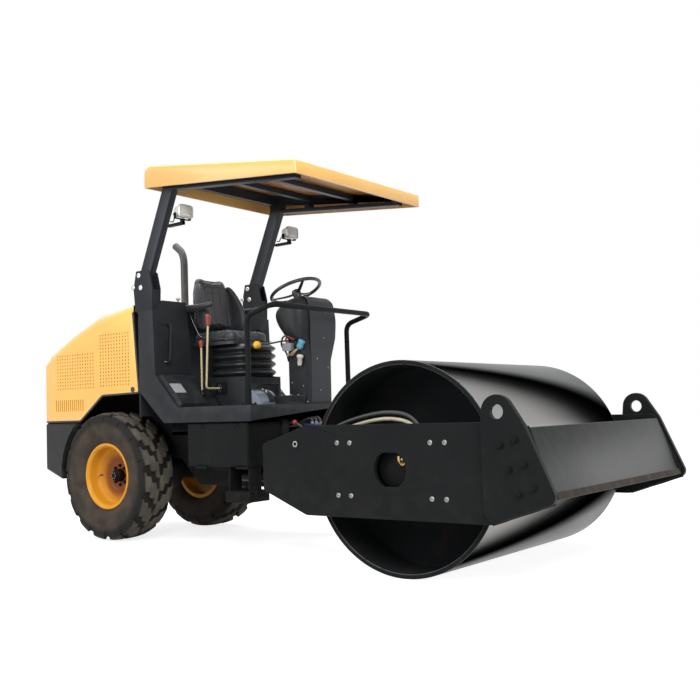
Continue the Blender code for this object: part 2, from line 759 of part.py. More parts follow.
def make_rear_axle():
    """The rigid axle with its differential housing and its saddles under the rails."""
    mid = (AXLE_X, 0.0, WHEEL_RADIUS)
    end = AXLE_END
    half = [
        (0.0, end), (AXLE_RADIUS + 0.012, end), (AXLE_RADIUS + 0.012, end - 0.05), (AXLE_RADIUS, end - 0.06),
        (AXLE_RADIUS, 0.15), (DIFF_RADIUS, 0.06)]
    profile = half + [(radius, -length) for radius, length in reversed(half)]
    shape = turned(profile, mid, (0.0, 1.0, 0.0), 16)
    for side in (-1, 1):
        saddle = block((AXLE_X - SADDLE_HALF, AXLE_X + SADDLE_HALF), span(side, *RAIL_Y),
                       (WHEEL_RADIUS, RAIL_HIGH - SEAT_GAP))
        shape = fused(shape, saddle)
    return shape


def make_counterweight():
    """The cast weight across the rear, cut away round the tyres, with the hood's hinge ears."""
    profile = [
        (CW_REAR, CW_TOP), (CW_REAR, CW_REAR_LOW), (CW_FRONT - CW_SLOPE_END, CW_LOW), (CW_FRONT, CW_LOW),
        (CW_FRONT, CW_TOP)]
    shape = softened(side_plate(profile, (-CW_HALF_Y, CW_HALF_Y)), CW_EDGE)
    for side in (-1, 1):
        start = (AXLE_X, side * (TRACK / 2 - TYRE_HALF - CW_ARCH_SIDE), WHEEL_RADIUS)
        stop = (AXLE_X, side * (CW_HALF_Y + CW_ARCH_SIDE), WHEEL_RADIUS)
        shape = cut(shape, round_bar(start, stop, CW_ARCH, 40))
    half = RAIL_Y[1] + SEAT_GAP
    rail_room = block((RAIL_REAR - SEAT_GAP, CW_FRONT + CW_EDGE), (-half, half),
                      (RAIL_HIGH - SEAT_GAP, CW_TOP + CW_EDGE))
    shape = cut(shape, rail_room)
    x, z = HOOD_HINGE
    for side in (-1, 1):
        for inner in (HOOD_HINGE_Y - HOOD_HINGE_HALF - HINGE_EAR - SEAT_GAP,
                      HOOD_HINGE_Y + HOOD_HINGE_HALF + SEAT_GAP):
            ear = arc((x, z), HOOD_HINGE_RADIUS, 0, 180, 8)
            ear += [(x - HOOD_HINGE_RADIUS, z - 0.020), *((EAR_ROOT[0], level) for level in EAR_ROOT[1:])]
            shape = fused(shape, side_plate(ear, span(side, inner, inner + HINGE_EAR)))
    return shape


def make_engine():
    """The engine as one plain block on the rails."""
    return block(ENGINE_X, (-ENGINE_HALF_Y, ENGINE_HALF_Y), (RAIL_TOP + SEAT_GAP, ENGINE_TOP))


# Hood and exhaust


def make_hood():
    """The one-piece hood: a shell open below and ahead, rounded along its top, with cooling slits."""
    profile = [(HOOD_REAR, HOOD_FOOT), *HOOD_CROWN, HOOD_FRONT[1], *HOOD_ARCH]
    solid = side_plate(profile, (-HOOD_HALF_Y, HOOD_HALF_Y))
    work = bmesh.new()
    work.from_mesh(solid.data)
    top = [edge for edge in work.edges
           if abs(edge.verts[0].co.y - edge.verts[1].co.y) < 0.001 and edge_on_top(edge)]
    bmesh.ops.bevel(work, geom=top, offset=HOOD_ROUND, segments=4, profile=0.5, affect="EDGES")
    work.to_mesh(solid.data)
    work.free()
    shape = shell(solid, open_side_of_hood, HOOD_SHEET)
    slits = None
    for number in range(VENT_SLITS):
        x = VENT_START + number * VENT_PITCH
        for side in (-1, 1):
            wall = span(side, HOOD_HALF_Y - 2 * HOOD_SHEET, HOOD_HALF_Y + HOOD_SHEET)
            tool = block((x, x + VENT_WIDTH), wall, VENT_Z)
            slits = tool if slits is None else joined(slits, tool)
    shape = cut(shape, slits)
    x, z = HOOD_HINGE
    for side in (-1, 1):
        knuckle = round_bar((x, side * (HOOD_HINGE_Y - HOOD_HINGE_HALF), z),
                            (x, side * (HOOD_HINGE_Y + HOOD_HINGE_HALF), z), HINGE_KNUCKLE, 16)
        leaf = block((x - HINGE_LEAF, HOOD_REAR + HOOD_SHEET / 3),
                     span(side, HOOD_HINGE_Y - HOOD_HINGE_HALF, HOOD_HINGE_Y + HOOD_HINGE_HALF),
                     (z, HINGE_LEAF_TOP))
        shape = fused(shape, fused(knuckle, leaf))
    return shape


def edge_on_top(edge):
    """Whether an edge runs along the hood's top line."""
    low = HOOD_CROWN[0][1] - HOOD_SHEET
    return all(v.co.z > low for v in edge.verts) and abs(edge.verts[0].co.x - edge.verts[1].co.x) > 0.01


def open_side_of_hood(normal, middle):
    """Whether a face of the hood's solid is one that the real hood lacks."""
    below = normal.z < -0.5
    ahead = normal.x > 0.9
    arch = normal.z < -0.2 and middle.z < HOOD_FRONT[1][1]
    return below or ahead or arch


def joined(first, second):
    """Two separate solids as one tool."""
    work = bmesh.new()
    work.from_mesh(first.data)
    work.from_mesh(second.data)
    bpy.data.objects.remove(first)
    bpy.data.objects.remove(second)
    return from_bmesh(work)


def make_stack():
    """The exhaust pipe on the hood, with its bent tip."""
    (x1, z1), (x2, z2) = HOOD_CROWN[2], HOOD_CROWN[3]
    path = bent([(STACK_X, STACK_Y, z1 - 0.012), (STACK_X, STACK_Y, STACK_TOP - 0.06),
                 (STACK_X - STACK_BEND, STACK_Y, STACK_TOP + 0.02)], STACK_BEND)
    low = z1 - HOOD_ROUND
    room = side_plate([(x1, z1 + SEAT_GAP), (x1, low), (x2, low), (x2, z2 + SEAT_GAP)],
                      (-HOOD_HALF_Y, HOOD_HALF_Y))
    return cut(pipe(path, STACK_RADIUS, 3), room)


# Wheels


def make_tyre(side):
    """A loader tyre: a turned casing whose tread cells are raised as stepped bars."""
    steps = TYRE_PITCHES * TYRE_STEPS
    base = WHEEL_RADIUS - TYRE_LUG
    right = [TYRE_GROOVE, *TYRE_STRIPS, TYRE_HALF - TYRE_GROOVE]
    tread = [-y for y in reversed(right)] + right
    crown = [(y, base - 0.5 * y * y) for y in tread]
    inside = RIM_HALF - RIM_WALL - SEAT_GAP
    wall = [(TYRE_HALF + 0.004, TYRE_WIDEST), (RIM_HALF - 0.002, RIM_RADIUS + 0.012),
            (inside, RIM_RADIUS + 0.0015)]
    bead = [(inside, BEAD_RADIUS + SEAT_GAP)]
    far = wall + bead
    near = [(-y, r) for y, r in reversed(far)]
    profile = crown + far + near
    work = bmesh.new()
    rings = []
    for y, radius in profile:
        ring = []
        for i in range(steps):
            angle = 2 * math.pi * i / steps
            ring.append(work.verts.new((radius * math.sin(angle), y, radius * math.cos(angle))))
        rings.append(ring)
    cells = {}
    for j, (ring, following) in enumerate(zip(rings, rings[1:] + rings[:1])):
        for i in range(steps):
            k = (i + 1) % steps
            cells[j, i] = work.faces.new((ring[i], ring[k], following[k], following[i]))
    bmesh.ops.recalc_face_normals(work, faces=work.faces)
    bars = []
    for pitch in range(TYRE_PITCHES):
        for shift, strips in ((0, (2, 1, 0)), (TYRE_STEPS // 2, (4, 5, 6))):
            start = pitch * TYRE_STEPS + shift
            bars += [cells[strip, (start + lean + n) % steps]
                     for lean, strip in enumerate(strips) for n in (0, 1)]
    raised = bmesh.ops.extrude_face_region(work, geom=bars)
    for vert in (v for v in raised["geom"] if isinstance(v, bmesh.types.BMVert)):
        vert.co += Vector((vert.co.x, 0.0, vert.co.z)).normalized() * TYRE_LUG
    bmesh.ops.delete(work, geom=bars, context="FACES")
    centre = Vector((AXLE_X, side * TRACK / 2, WHEEL_RADIUS))
    turn = Matrix.Rotation(0.0 if side < 0 else math.pi, 4, "Z")
    bmesh.ops.transform(work, matrix=Matrix.Translation(centre) @ turn, verts=work.verts)
    return from_bmesh(work)


def make_rim(side):
    """The deep-dished rim: flanges, bead seats and a disc set inwards from the outer side."""
    wall, half = RIM_WALL, RIM_HALF
    seat = BEAD_RADIUS - SEAT_GAP
    face = half - DISC_INSET
    outer = [
        (RIM_RADIUS, half), (RIM_RADIUS, half - wall), (seat, half - wall), (seat, -half + wall),
        (RIM_RADIUS, -half + wall), (RIM_RADIUS, -half), (seat - wall, -half),
        (seat - wall, face - RIM_DISC), (RIM_BORE, face - RIM_DISC), (RIM_BORE, face),
        (seat - wall - RIM_CONE[0], face),
        (seat - wall, face + RIM_CONE[1]), (seat - wall, half)]
    centre = (AXLE_X, side * TRACK / 2, WHEEL_RADIUS)
    return turned(outer, centre, (0.0, side, 0.0), RIM_STEPS, closed=True)


def make_hub(side):
    """The planetary hub that carries the rim and faces the axle's end."""
    face = RIM_HALF - DISC_INSET
    spigot = flat_radius(RIM_BORE, RIM_STEPS) - SEAT_GAP
    inner = AXLE_END + SEAT_GAP - TRACK / 2
    back = face - RIM_DISC - SEAT_GAP
    profile = [(radius, face + out) for radius, out in HUB_NOSE]
    profile += [
        (spigot, face + RIM_CONE[0]), (spigot, back), (HUB_RADIUS + HUB_FLANGE, back),
        (HUB_RADIUS + HUB_FLANGE, back - HUB_STEP), (HUB_RADIUS, back - HUB_STEP - 0.010),
        (HUB_RADIUS, inner), (0.0, inner)]
    centre = (AXLE_X, side * TRACK / 2, WHEEL_RADIUS)
    return turned(profile, centre, (0.0, side, 0.0), 16)


# Platform, bulkhead boxes and what stands on the deck


def make_platform():
    """The folded deck with its skirts, side plates, ramp, firewall and bearers."""
    inner = DECK_HALF_Y - DECK_SHEET
    side_outline = [
        (STRIP_REAR, STRIP_TOP), STRIP_FOOT, (SKIRT_REAR, DECK_SKIRT), (DECK_FRONT, DECK_SKIRT),
        (DECK_FRONT, DECK_TOP), (RAMP_FOOT_X, DECK_TOP), RAMP_TOP, (STRIP_FRONT, STRIP_TOP)]
    sheet = DECK_SHEET
    wall = STRIP_REAR - SEAT_GAP
    shelf = RAMP_TOP[1] - SEAT_GAP
    ramp = [
        (wall - sheet, FIREWALL_TOP), (wall, FIREWALL_TOP), (wall, shelf), (RAMP_TOP[0], shelf),
        (RAMP_FOOT_X, DECK_TOP), (DECK_FRONT, DECK_TOP), (DECK_FRONT, DECK_SKIRT + SKIRT_TUCK),
        (DECK_FRONT - sheet, DECK_SKIRT + SKIRT_TUCK), (DECK_FRONT - sheet, DECK_TOP - sheet),
        (RAMP_FOOT_X - 0.008, DECK_TOP - sheet), (RAMP_TOP[0] - 0.006, shelf - sheet),
        (wall, shelf - sheet), (wall, FIREWALL_FOOT), (wall - sheet, FIREWALL_FOOT)]
    shape = side_plate(ramp, (-inner - 0.003, inner + 0.003))
    for side in (-1, 1):
        shape = fused(shape, side_plate(side_outline, span(side, inner, DECK_HALF_Y)))
        bearer = block((RAMP_FOOT_X + BEARER_INSET, DECK_FRONT - 3 * BEARER_INSET),
                       span(side, RAIL_Y[0] + BEARER_INSET, RAIL_Y[1] - BEARER_INSET),
                       (RAIL_TOP + SEAT_GAP, DECK_TOP - sheet / 2))
        shape = fused(shape, bearer)
    return shape


def make_bulkhead(side):
    """The box beside the seat's recess, with a grab handle and the clevis foot of the roll-over post."""
    outer = DECK_HALF_Y - DECK_SHEET - SEAT_GAP
    face_points = [
        (side * outer, RAMP_TOP[1]), (side * outer, STRIP_TOP - 0.005), (side * BULK_SHOULDER_Y, BULK_TOP),
        (side * (BULK_INNER_Y + 0.04), BULK_TOP), (side * BULK_INNER_Y, BULK_KNEE_Z),
        (side * BULK_INNER_Y, RAMP_TOP[1])]
    shape = end_plate(face_points, (STRIP_REAR, STRIP_FRONT + 0.004))
    low, high = STRIP_TOP - 0.010, POST_FOOT_Z - SEAT_GAP
    levels = (low, low, high, high)
    base = side_plate([(POST_FOOT_X + x, z) for x, z in zip(FOOT_BASE[0] + FOOT_BASE[1], levels)],
                      span(side, POST_Y[0] - FOOT_CHEEK, outer))
    base = cut(base, block((POST_FOOT_X - 0.05, POST_FOOT_X + 0.25), span(side, outer - 0.008, outer + 0.02),
                           (low - 0.05, STRIP_TOP + SEAT_GAP)))
    shape = fused(shape, base)
    foot = STRIP_TOP + SEAT_GAP
    levels = (foot, foot, POST_FOOT_Z + 0.008, FOOT_TOP - 0.02, FOOT_TOP, FOOT_TOP, POST_FOOT_Z + 0.018)
    cheek = [(POST_FOOT_X + x, z) for x, z in zip(FOOT_CHEEK_X, levels)]
    for low in (POST_Y[0] - SEAT_GAP - FOOT_CHEEK, POST_Y[1] + SEAT_GAP):
        shape = fused(shape, side_plate(cheek, span(side, low, low + FOOT_CHEEK)))
    face, grip = STRIP_FRONT, STRIP_FRONT + HANDLE_OUT
    (y1, z1), (y2, z2) = HANDLE_ENDS
    loop = bent([(face, side * y1, z1), (grip, side * y1, z1), (grip, side * y2, z2), (face, side * y2, z2)],
                HANDLE_BEND, 3)
    return fused(shape, pipe(loop, HANDLE_RADIUS, 1))


def post_edge(z):
    """The X of a roll-over post's rear edge at a height."""
    return POST_FOOT_X + (z - POST_FOOT_Z) * POST_LEAN


def canopy_line(ends, x):
    """The height at X of a line between the canopy's rear and front values."""
    share = (x - CANOPY_X[0]) / (CANOPY_X[1] - CANOPY_X[0])
    return ends[0] + (ends[1] - ends[0]) * share


def make_rops():
    """Two leaning posts and the ladder frame that carries the canopy."""
    low, high = POST_FOOT_Z, POST_TOP_Z
    post = [(post_edge(low), low), (post_edge(low) + POST_WIDTH, low),
            (post_edge(high) + POST_WIDTH, high), (post_edge(high), high)]
    chord = FRAME_CHORD

    def upper(x):
        return canopy_line(CANOPY_CROWN, x) - CANOPY_WALL * 1.02 - SEAT_GAP

    def lower(x):
        return canopy_line(CANOPY_RIM, x) - 0.005

    rear, front = FRAME_X
    stiles = (rear, *FRAME_INNER_STILES, front - FRAME_STILE)
    frame = [(rear, lower(rear)), (front, lower(front)), (front, upper(front)), (rear, upper(rear))]
    shape = None
    for side in (-1, 1):
        ladder = side_plate(frame, span(side, *POST_Y))
        for first, second in zip(stiles, stiles[1:]):
            left, right = first + FRAME_STILE, second
            window = [(left, lower(left) + chord), (right, lower(right) + chord),
                      (right, upper(right) - chord), (left, upper(left) - chord)]
            ladder = cut(ladder, side_plate(window, span(side, POST_Y[0] - 0.05, POST_Y[1] + 0.05)))
        ladder = fused(ladder, side_plate(post, span(side, POST_Y[0] + 0.0015, POST_Y[1] - 0.0015)))
        shape = ladder if shape is None else joined(shape, ladder)
    inner = POST_Y[0] + 0.01
    for x, depth in zip(stiles, CROSS_BEAM_DEPTHS):
        level = upper(x + FRAME_STILE) - 0.004
        beam = block((x + 0.003, x + FRAME_STILE - 0.003), (-inner, inner), (level - depth, level))
        shape = fused(shape, beam)
    return shape


def make_canopy():
    """The moulded roof shell, deeper at the rear and open below."""
    rear, front = CANOPY_X
    depth = CANOPY_CROWN[0] - CANOPY_RIM[0]
    solid = block(CANOPY_X, (-CANOPY_HALF_Y, CANOPY_HALF_Y), (0.0, depth))
    work = bmesh.new()
    work.from_mesh(solid.data)
    back = [edge for edge in work.edges
            if all(v.co.x < rear + MERGE and v.co.z > depth / 2 for v in edge.verts)]
    bmesh.ops.bevel(work, geom=back, offset=CANOPY_CORNER, segments=4, profile=0.5, affect="EDGES")
    rest = [edge for edge in work.edges if edge.is_manifold and edge.calc_face_angle() > math.radians(40)
            and max(v.co.z for v in edge.verts) > depth / 2]
    bmesh.ops.bevel(work, geom=rest, offset=CANOPY_ROUND, segments=3, profile=0.5, affect="EDGES")
    for vert in work.verts:
        share = vert.co.z / depth
        rim, crown = canopy_line(CANOPY_RIM, vert.co.x), canopy_line(CANOPY_CROWN, vert.co.x)
        vert.co.z = rim + (crown - rim) * share
    work.to_mesh(solid.data)
    work.free()
    return shell(solid, lambda normal, middle: normal.z < -0.5, CANOPY_WALL)


def make_lamp(side):
    """A work lamp on its bracket at the front of a post."""
    x, y, z = LAMP_PLACE
    along, across, up = LAMP_HALF
    housing = block((x - along, x + along), span(side, y - across, y + across), (z - up, z + up))
    body = softened(housing, LAMP_ROUND)
    low, high = z + LAMP_ARM_Z[0], z + LAMP_ARM_Z[1]
    seat = POST_WIDTH + SEAT_GAP
    arm = side_plate([(post_edge(low) + seat, low), (x, low), (x, high), (post_edge(high) + seat, high)],
                     span(side, *LAMP_ARM_Y))
    stem = block((x - LAMP_STEM, x + LAMP_STEM), span(side, y - LAMP_STEM, y + LAMP_STEM),
                 (low + 0.005, z - up + 0.008))
    return fused(body, stem, arm)


def ramp_height(x):
    """The height of the ramp's upper side at X."""
    fall = (RAMP_TOP[1] - DECK_TOP) / (RAMP_FOOT_X - RAMP_TOP[0])
    return RAMP_TOP[1] - (x - RAMP_TOP[0]) * fall


def make_pedestal():
    """The seat's box, cut at the back to stand over the ramp."""
    rear, front = PEDESTAL_X
    foot = DECK_TOP + SEAT_GAP
    points = [(rear, ramp_height(rear) + 2 * SEAT_GAP), (rear, PEDESTAL_TOP), (front, PEDESTAL_TOP),
              (front, foot), (RAMP_FOOT_X + SEAT_GAP, foot)]
    return side_plate(points, (-PEDESTAL_HALF_Y, PEDESTAL_HALF_Y))


def make_bellows():
    """The folded rubber bellows round the seat's suspension."""
    middle = (PEDESTAL_X[0] + PEDESTAL_X[1]) / 2
    low, high = PEDESTAL_TOP + SEAT_GAP, BELLOWS_TOP
    wide, deep = BELLOWS_HALF
    step = (high - low) / (2 * BELLOWS_FOLDS)
    work = bmesh.new()
    bmesh.ops.create_grid(work, x_segments=1, y_segments=1, size=1.0)
    for vert in work.verts:
        vert.co = (middle + vert.co.x * (wide - 0.02), vert.co.y * (deep - 0.02), low)
    face = list(work.faces)
    for number in range(1, 2 * BELLOWS_FOLDS + 1):
        raised = bmesh.ops.extrude_face_region(work, geom=face)
        if number > 1:
            bmesh.ops.delete(work, geom=face, context="FACES_ONLY")
        face = [g for g in raised["geom"] if isinstance(g, bmesh.types.BMFace)]
        inset = 0.0 if number % 2 else 0.022
        for vert in (g for g in raised["geom"] if isinstance(g, bmesh.types.BMVert)):
            vert.co.x = middle + math.copysign(wide - inset, vert.co.x - middle)
            vert.co.y = math.copysign(deep - inset, vert.co.y)
            vert.co.z = low + number * step
    return from_bmesh(work)


def make_backrest():
    """The tilted backrest with its two armrests on side brackets."""
    front = CUSHION_X[0] + 0.125
    low = CUSHION_TOP + SEAT_GAP
    lean = math.tan(BACK_TILT)
    wide, narrow = SEAT_HALF_Y - 0.005, SEAT_HALF_Y - 0.055
    top = low + BACK_HEIGHT
    face_points = [(-wide, low), (wide, low), (wide, low + 0.28), (narrow, top - 0.02), (narrow - 0.03, top),
                   (-narrow + 0.03, top), (-narrow, top - 0.02), (-wide, low + 0.28)]
    shape = end_plate(face_points, (front - BACK_THICK, front))
    for vert in shape.data.vertices:
        vert.co.x -= (vert.co.z - low) * lean
    shape = softened(shape, 0.018)
    for side in (-1, 1):
        rear = front - 0.04 - (ARM_TOP - low) * lean
        pad = block((rear - 0.03, rear - 0.03 + ARM_LENGTH), span(side, *ARM_Y),
                    (ARM_TOP - ARM_DEPTH, ARM_TOP))
        level = ARM_TOP - ARM_DEPTH / 2
        link_bar = round_bar((rear, side * (wide - 0.02), level), (rear, side * (ARM_Y[0] + 0.012), level),
                             ARM_ROUND, 12)
        shape = fused(shape, link_bar, softened(pad, ARM_ROUND, 1))
    return shape


def make_console():
    """The steering column's sheet-metal housing, with the rounded pod that overhangs it."""
    y = (CONSOLE_Y - COLUMN_HALF_Y, CONSOLE_Y + COLUMN_HALF_Y)
    base = block((COLUMN_X[0] - 0.02, COLUMN_X[1] + 0.02), (y[0] - 0.02, y[1] + 0.02),
                 (DECK_TOP + SEAT_GAP, DECK_TOP + 0.012))
    column = block(COLUMN_X, y, (DECK_TOP + 0.006, POD_FOOT + 0.03))
    rear, front = COLUMN_X[0] - 0.115, COLUMN_X[1] + 0.004
    pod_outline = [
        (COLUMN_X[0] - 0.008, POD_FOOT), (front, POD_FOOT - 0.050), (front + 0.012, POD_TOP - 0.175),
        (front - 0.004, POD_TOP - 0.055), (front - 0.055, POD_TOP), (front - 0.150, POD_TOP),
        (rear, POD_TOP - 0.075), (rear - 0.020, POD_TOP - 0.135), (rear + 0.010, POD_TOP - 0.215)]
    pod = side_plate(pod_outline, (CONSOLE_Y - POD_HALF_Y, CONSOLE_Y + POD_HALF_Y))
    pod = softened(pod, POD_ROUND, 3, 50)
    axis = Vector((-math.sin(WHEEL_TILT), 0.0, math.cos(WHEEL_TILT)))
    top = Vector(WHEEL_CENTRE) - axis * (WHEEL_HUB_DEPTH + SEAT_GAP)
    shaft = round_bar(top - axis * 0.08, top, 0.028, 20)
    return fused(column, base, pod, shaft)


def make_steering_wheel():
    """The steering wheel: a ring, three spokes and a hub on the tilted column."""
    axis = Vector((-math.sin(WHEEL_TILT), 0.0, math.cos(WHEEL_TILT)))
    turn = Vector((0.0, 0.0, 1.0)).rotation_difference(axis).to_matrix().to_4x4()
    place = Matrix.Translation(WHEEL_CENTRE) @ turn
    ring = turned([(WHEEL_RIM + x, z) for x, z in arc((0.0, 0.0), WHEEL_GRIP, 0, 300, 5)],
                  (0, 0, 0), (0, 0, 1), 28, closed=True)
    hub = round_bar((0, 0, -WHEEL_HUB_DEPTH), (0, 0, 0.004), 0.034, 16)
    shape = fused(ring, hub)
    for number in range(3):
        angle = math.radians(90 + number * 120)
        out = Vector((math.cos(angle), math.sin(angle), 0.0)) * WHEEL_RIM
        shape = fused(shape, round_bar((0, 0, -0.022), out, 0.008, 8))
    shape.data.transform(place)
    return shape


def make_handrail():
    """The guard rail across the deck's front, bent forwards over its posts."""
    x, y = RAIL_POST
    ahead, top = RAIL_CORNER
    low = DECK_TOP + SEAT_GAP
    bend_z = top - 0.060
    points = [
        (x, -y, low), (x, -y, bend_z), (ahead, -y, top), (ahead, y, top), (x, y, bend_z), (x, y, low)]
    return pipe(bent(points, 0.055, 3), RAIL_TUBE, 2)


def make_levers():
    """The short straight lever on the ramp and the long cranked one on the seat's pedestal."""
    x, y, top = LEVER_SHORT
    ramp_z = ramp_height(x)
    rod = round_bar((x, y, ramp_z + LEVER_ROD * 1.10), (x, y, top), LEVER_ROD, 10)
    radius, low, high = LEVER_SHORT_KNOB
    knob = round_bar((x, y, low), (x, y, high), radius, 14)
    boot = round_bar((x, y, ramp_z + 0.019), (x, y, ramp_z + 0.035), 2 * LEVER_ROD, 12)
    short = fused(rod, knob, boot)
    x, y, z = LEVER_TALL
    top_x, top_z = LEVER_TALL_TOP
    path = bent([(x, -PEDESTAL_HALF_Y - SEAT_GAP, z), (x, y, z), (top_x, y, top_z)], 0.02)
    radius, low, high = LEVER_GRIP
    grip = round_bar((top_x, y, low), (top_x + 0.004, y, high), radius, 14)
    return short, fused(pipe(path, LEVER_ROD, 1), grip)


def make_pedal_cover():
    """The quarter-round cover over the pedals."""
    corner = (PEDAL_X, DECK_TOP + SEAT_GAP)
    return side_plate([corner, *arc(corner, PEDAL_RADIUS, 0, 90, 10)], PEDAL_Y)


def make_side_box(side):
    """The box beside the frame under the deck, with the step that hangs below it."""
    inner = RAIL_Y[1] + SEAT_GAP
    shape = softened(block(BOX_X, span(side, inner, BOX_OUTER_Y), BOX_Z), 0.006, 1)
    tread = softened(block(STEP_X, span(side, STEP_INNER_Y, BOX_OUTER_Y), STEP_Z), 0.004, 1)
    shape = joined(shape, tread)
    for x in (STEP_X[0] + 0.015, STEP_X[1] - 0.015 - HANGER_THICK):
        hanger = block((x, x + HANGER_THICK), span(side, *HANGER_Y), (STEP_Z[1] - 0.02, BOX_Z[0] + 0.02))
        shape = fused(shape, hanger)
    return shape


def make_valve_block():
    """The hydraulic block on the articulation's upper ear."""
    return softened(block(VALVE_X, VALVE_Y, (EAR_HIGH + SEAT_GAP, EAR_HIGH + VALVE_HEIGHT)), 0.006, 1)


# Steering cylinders


def make_barrel(side):
    """A steering cylinder's barrel with its rear eye and open bore."""
    y, z = side * CYL_Y, CYL_Z
    front = CYL_REAR_X + BARREL_LENGTH
    barrel = round_bar((CYL_REAR_X + BARREL_START, y, z), (front, y, z), BARREL_RADIUS, 12)
    neck = round_bar((CYL_REAR_X + EYE_RADIUS * 0.6, y, z), (CYL_REAR_X + BARREL_START + 0.002, y, z),
                     EYE_HALF * 0.9, 10)
    eye = round_bar((CYL_REAR_X, y, z - EYE_HALF), (CYL_REAR_X, y, z + EYE_HALF), EYE_RADIUS, 12)
    shape = fused(barrel, neck, eye)
    bore = round_bar((CYL_REAR_X + BARREL_FLOOR, y, z), (front + 0.02, y, z), ROD_RADIUS + 0.001, 12)
    pin = round_bar((CYL_REAR_X, y, z - 0.05), (CYL_REAR_X, y, z + 0.05), CYL_PIN + 0.001, 12)
    return cut(shape, bore, pin)


def make_rod(side):
    """A steering cylinder's rod with its front eye."""
    y, z = side * CYL_Y, CYL_Z
    rear = CYL_REAR_X + BARREL_FLOOR + ROD_FLOOR_GAP + CYL_STROKE
    rod = round_bar((rear, y, z), (CYL_FRONT_X - 0.02, y, z), ROD_RADIUS, 12)
    eye = round_bar((CYL_FRONT_X, y, z - EYE_HALF), (CYL_FRONT_X, y, z + EYE_HALF), EYE_RADIUS - 0.006, 12)
    return fused(rod, eye)


def build():
    """Every body and node of the machine."""
    black = material("black_paint", (0.018, 0.019, 0.020), 0.45, 0.1)
    yellow = material("yellow_paint", (0.85, 0.48, 0.07), 0.35, 0.0)
    steel = material("drum_steel", (0.10, 0.10, 0.105), 0.25, 0.9)
    rubber = material("rubber", (0.030, 0.029, 0.028), 0.85, 0.0)
    tread = material("tyre_rubber", (0.045, 0.042, 0.038), 0.90, 0.0)
    vinyl = material("seat_vinyl", (0.022, 0.023, 0.026), 0.55, 0.0)
    grey = material("lamp_housing", (0.35, 0.35, 0.34), 0.35, 0.4)
    blue = material("blue_paint", (0.03, 0.09, 0.35), 0.40, 0.0)
    bright = material("bright_rod", (0.60, 0.60, 0.58), 0.15, 1.0)
    beige = material("lever_rod", (0.55, 0.50, 0.36), 0.40, 0.0)
    exhaust = material("exhaust_steel", (0.20, 0.19, 0.18), 0.55, 0.8)
    cast = material("cast_iron", (0.08, 0.08, 0.08), 0.65, 0.6)

    machine = Machine()
    machine.body("road_roller_origin", (0.0, 0.0, 0.0))
    machine.body("rear_frame_origin", (0.0, 0.0, 0.0), "road_roller_origin")
    machine.body("drum_frame_origin", (PIVOT_X, 0.0, DRUM_RADIUS), "road_roller_origin")
    machine.body("drum_origin", (0.0, 0.0, DRUM_RADIUS), "drum_frame_origin")
    machine.body("hood_origin", (HOOD_HINGE[0], 0.0, HOOD_HINGE[1]), "rear_frame_origin")
    machine.body("steering_wheel_origin", WHEEL_CENTRE, "rear_frame_origin")

    machine.add("drum_origin", "drum", make_drum(), steel)
    machine.add("drum_frame_origin", "front_crossbeam", make_front_beam(), black)
    machine.add("drum_frame_origin", "rear_crossbeam", make_rear_beam(), black)
    for number, lift in ((1, 0.0), (2, HOSE_PITCH)):
        machine.add("drum_frame_origin", f"drum_hose_{number}", make_hose(lift), rubber)

    root = "rear_frame_origin"
    machine.add(root, "rear_frame", make_rear_frame(), black)
    machine.add(root, "rear_axle", make_rear_axle(), cast)
    machine.add(root, "counterweight", make_counterweight(), black)
    machine.add(root, "engine_block", make_engine(), cast)
    machine.add(root, "platform", make_platform(), black)
    machine.add(root, "rops_frame", make_rops(), black)
    machine.add(root, "canopy", make_canopy(), yellow)
    machine.add(root, "seat_pedestal", make_pedestal(), black)
    machine.add(root, "seat_bellows", make_bellows(), rubber)
    machine.add(root, "seat_cushion", softened(block(CUSHION_X, (-SEAT_HALF_Y, SEAT_HALF_Y),
                                                     (BELLOWS_TOP + SEAT_GAP, CUSHION_TOP)), 0.02), vinyl)
    machine.add(root, "seat_backrest", make_backrest(), vinyl)
    machine.add(root, "steering_console", make_console(), black)
    machine.add(root, "handrail", make_handrail(), black)
    short, tall = make_levers()
    machine.add(root, "lever_short", short, beige)
    machine.add(root, "lever_tall", tall, beige)
    machine.add(root, "pedal_cover", make_pedal_cover(), black)
    machine.add(root, "valve_block", make_valve_block(), blue)
    machine.add("hood_origin", "hood", make_hood(), yellow)
    machine.add("hood_origin", "exhaust_stack", make_stack(), exhaust)
    machine.add("steering_wheel_origin", "steering_wheel", make_steering_wheel(), black)

    for name, side in SIDES:
        machine.add("drum_frame_origin", f"side_plate_{name}", make_side_plate(side), black)
        machine.add("drum_frame_origin", f"drum_carrier_{name}", make_carrier(side), black)
        machine.add(root, f"bulkhead_{name}", make_bulkhead(side), black)
        machine.add(root, f"side_box_{name}", make_side_box(side), black)
        machine.add(root, f"work_lamp_{name}", make_lamp(side), grey)
        wheel = f"wheel_{name}_origin"
        machine.body(wheel, (AXLE_X, side * TRACK / 2, WHEEL_RADIUS), root)
        machine.add(wheel, f"tyre_{name}", make_tyre(side), tread, 30)
        machine.add(wheel, f"rim_{name}", make_rim(side), yellow)
        machine.add(wheel, f"hub_{name}", make_hub(side), black)
        barrel = f"cylinder_{name}_origin"
        machine.body(barrel, (CYL_REAR_X, side * CYL_Y, CYL_Z), root)
        machine.add(barrel, f"cylinder_barrel_{name}", make_barrel(side), black)
        machine.add(barrel, f"cylinder_rod_{name}", make_rod(side), bright)


for old in list(bpy.data.objects):
    bpy.data.objects.remove(old)
PARTS = bpy.data.collections.new(ASSEMBLY)
DRAFTS = bpy.data.collections.new("drafts")
DRAFTS.hide_render = True
bpy.context.scene.collection.children.link(PARTS)
bpy.context.scene.collection.children.link(DRAFTS)
build()
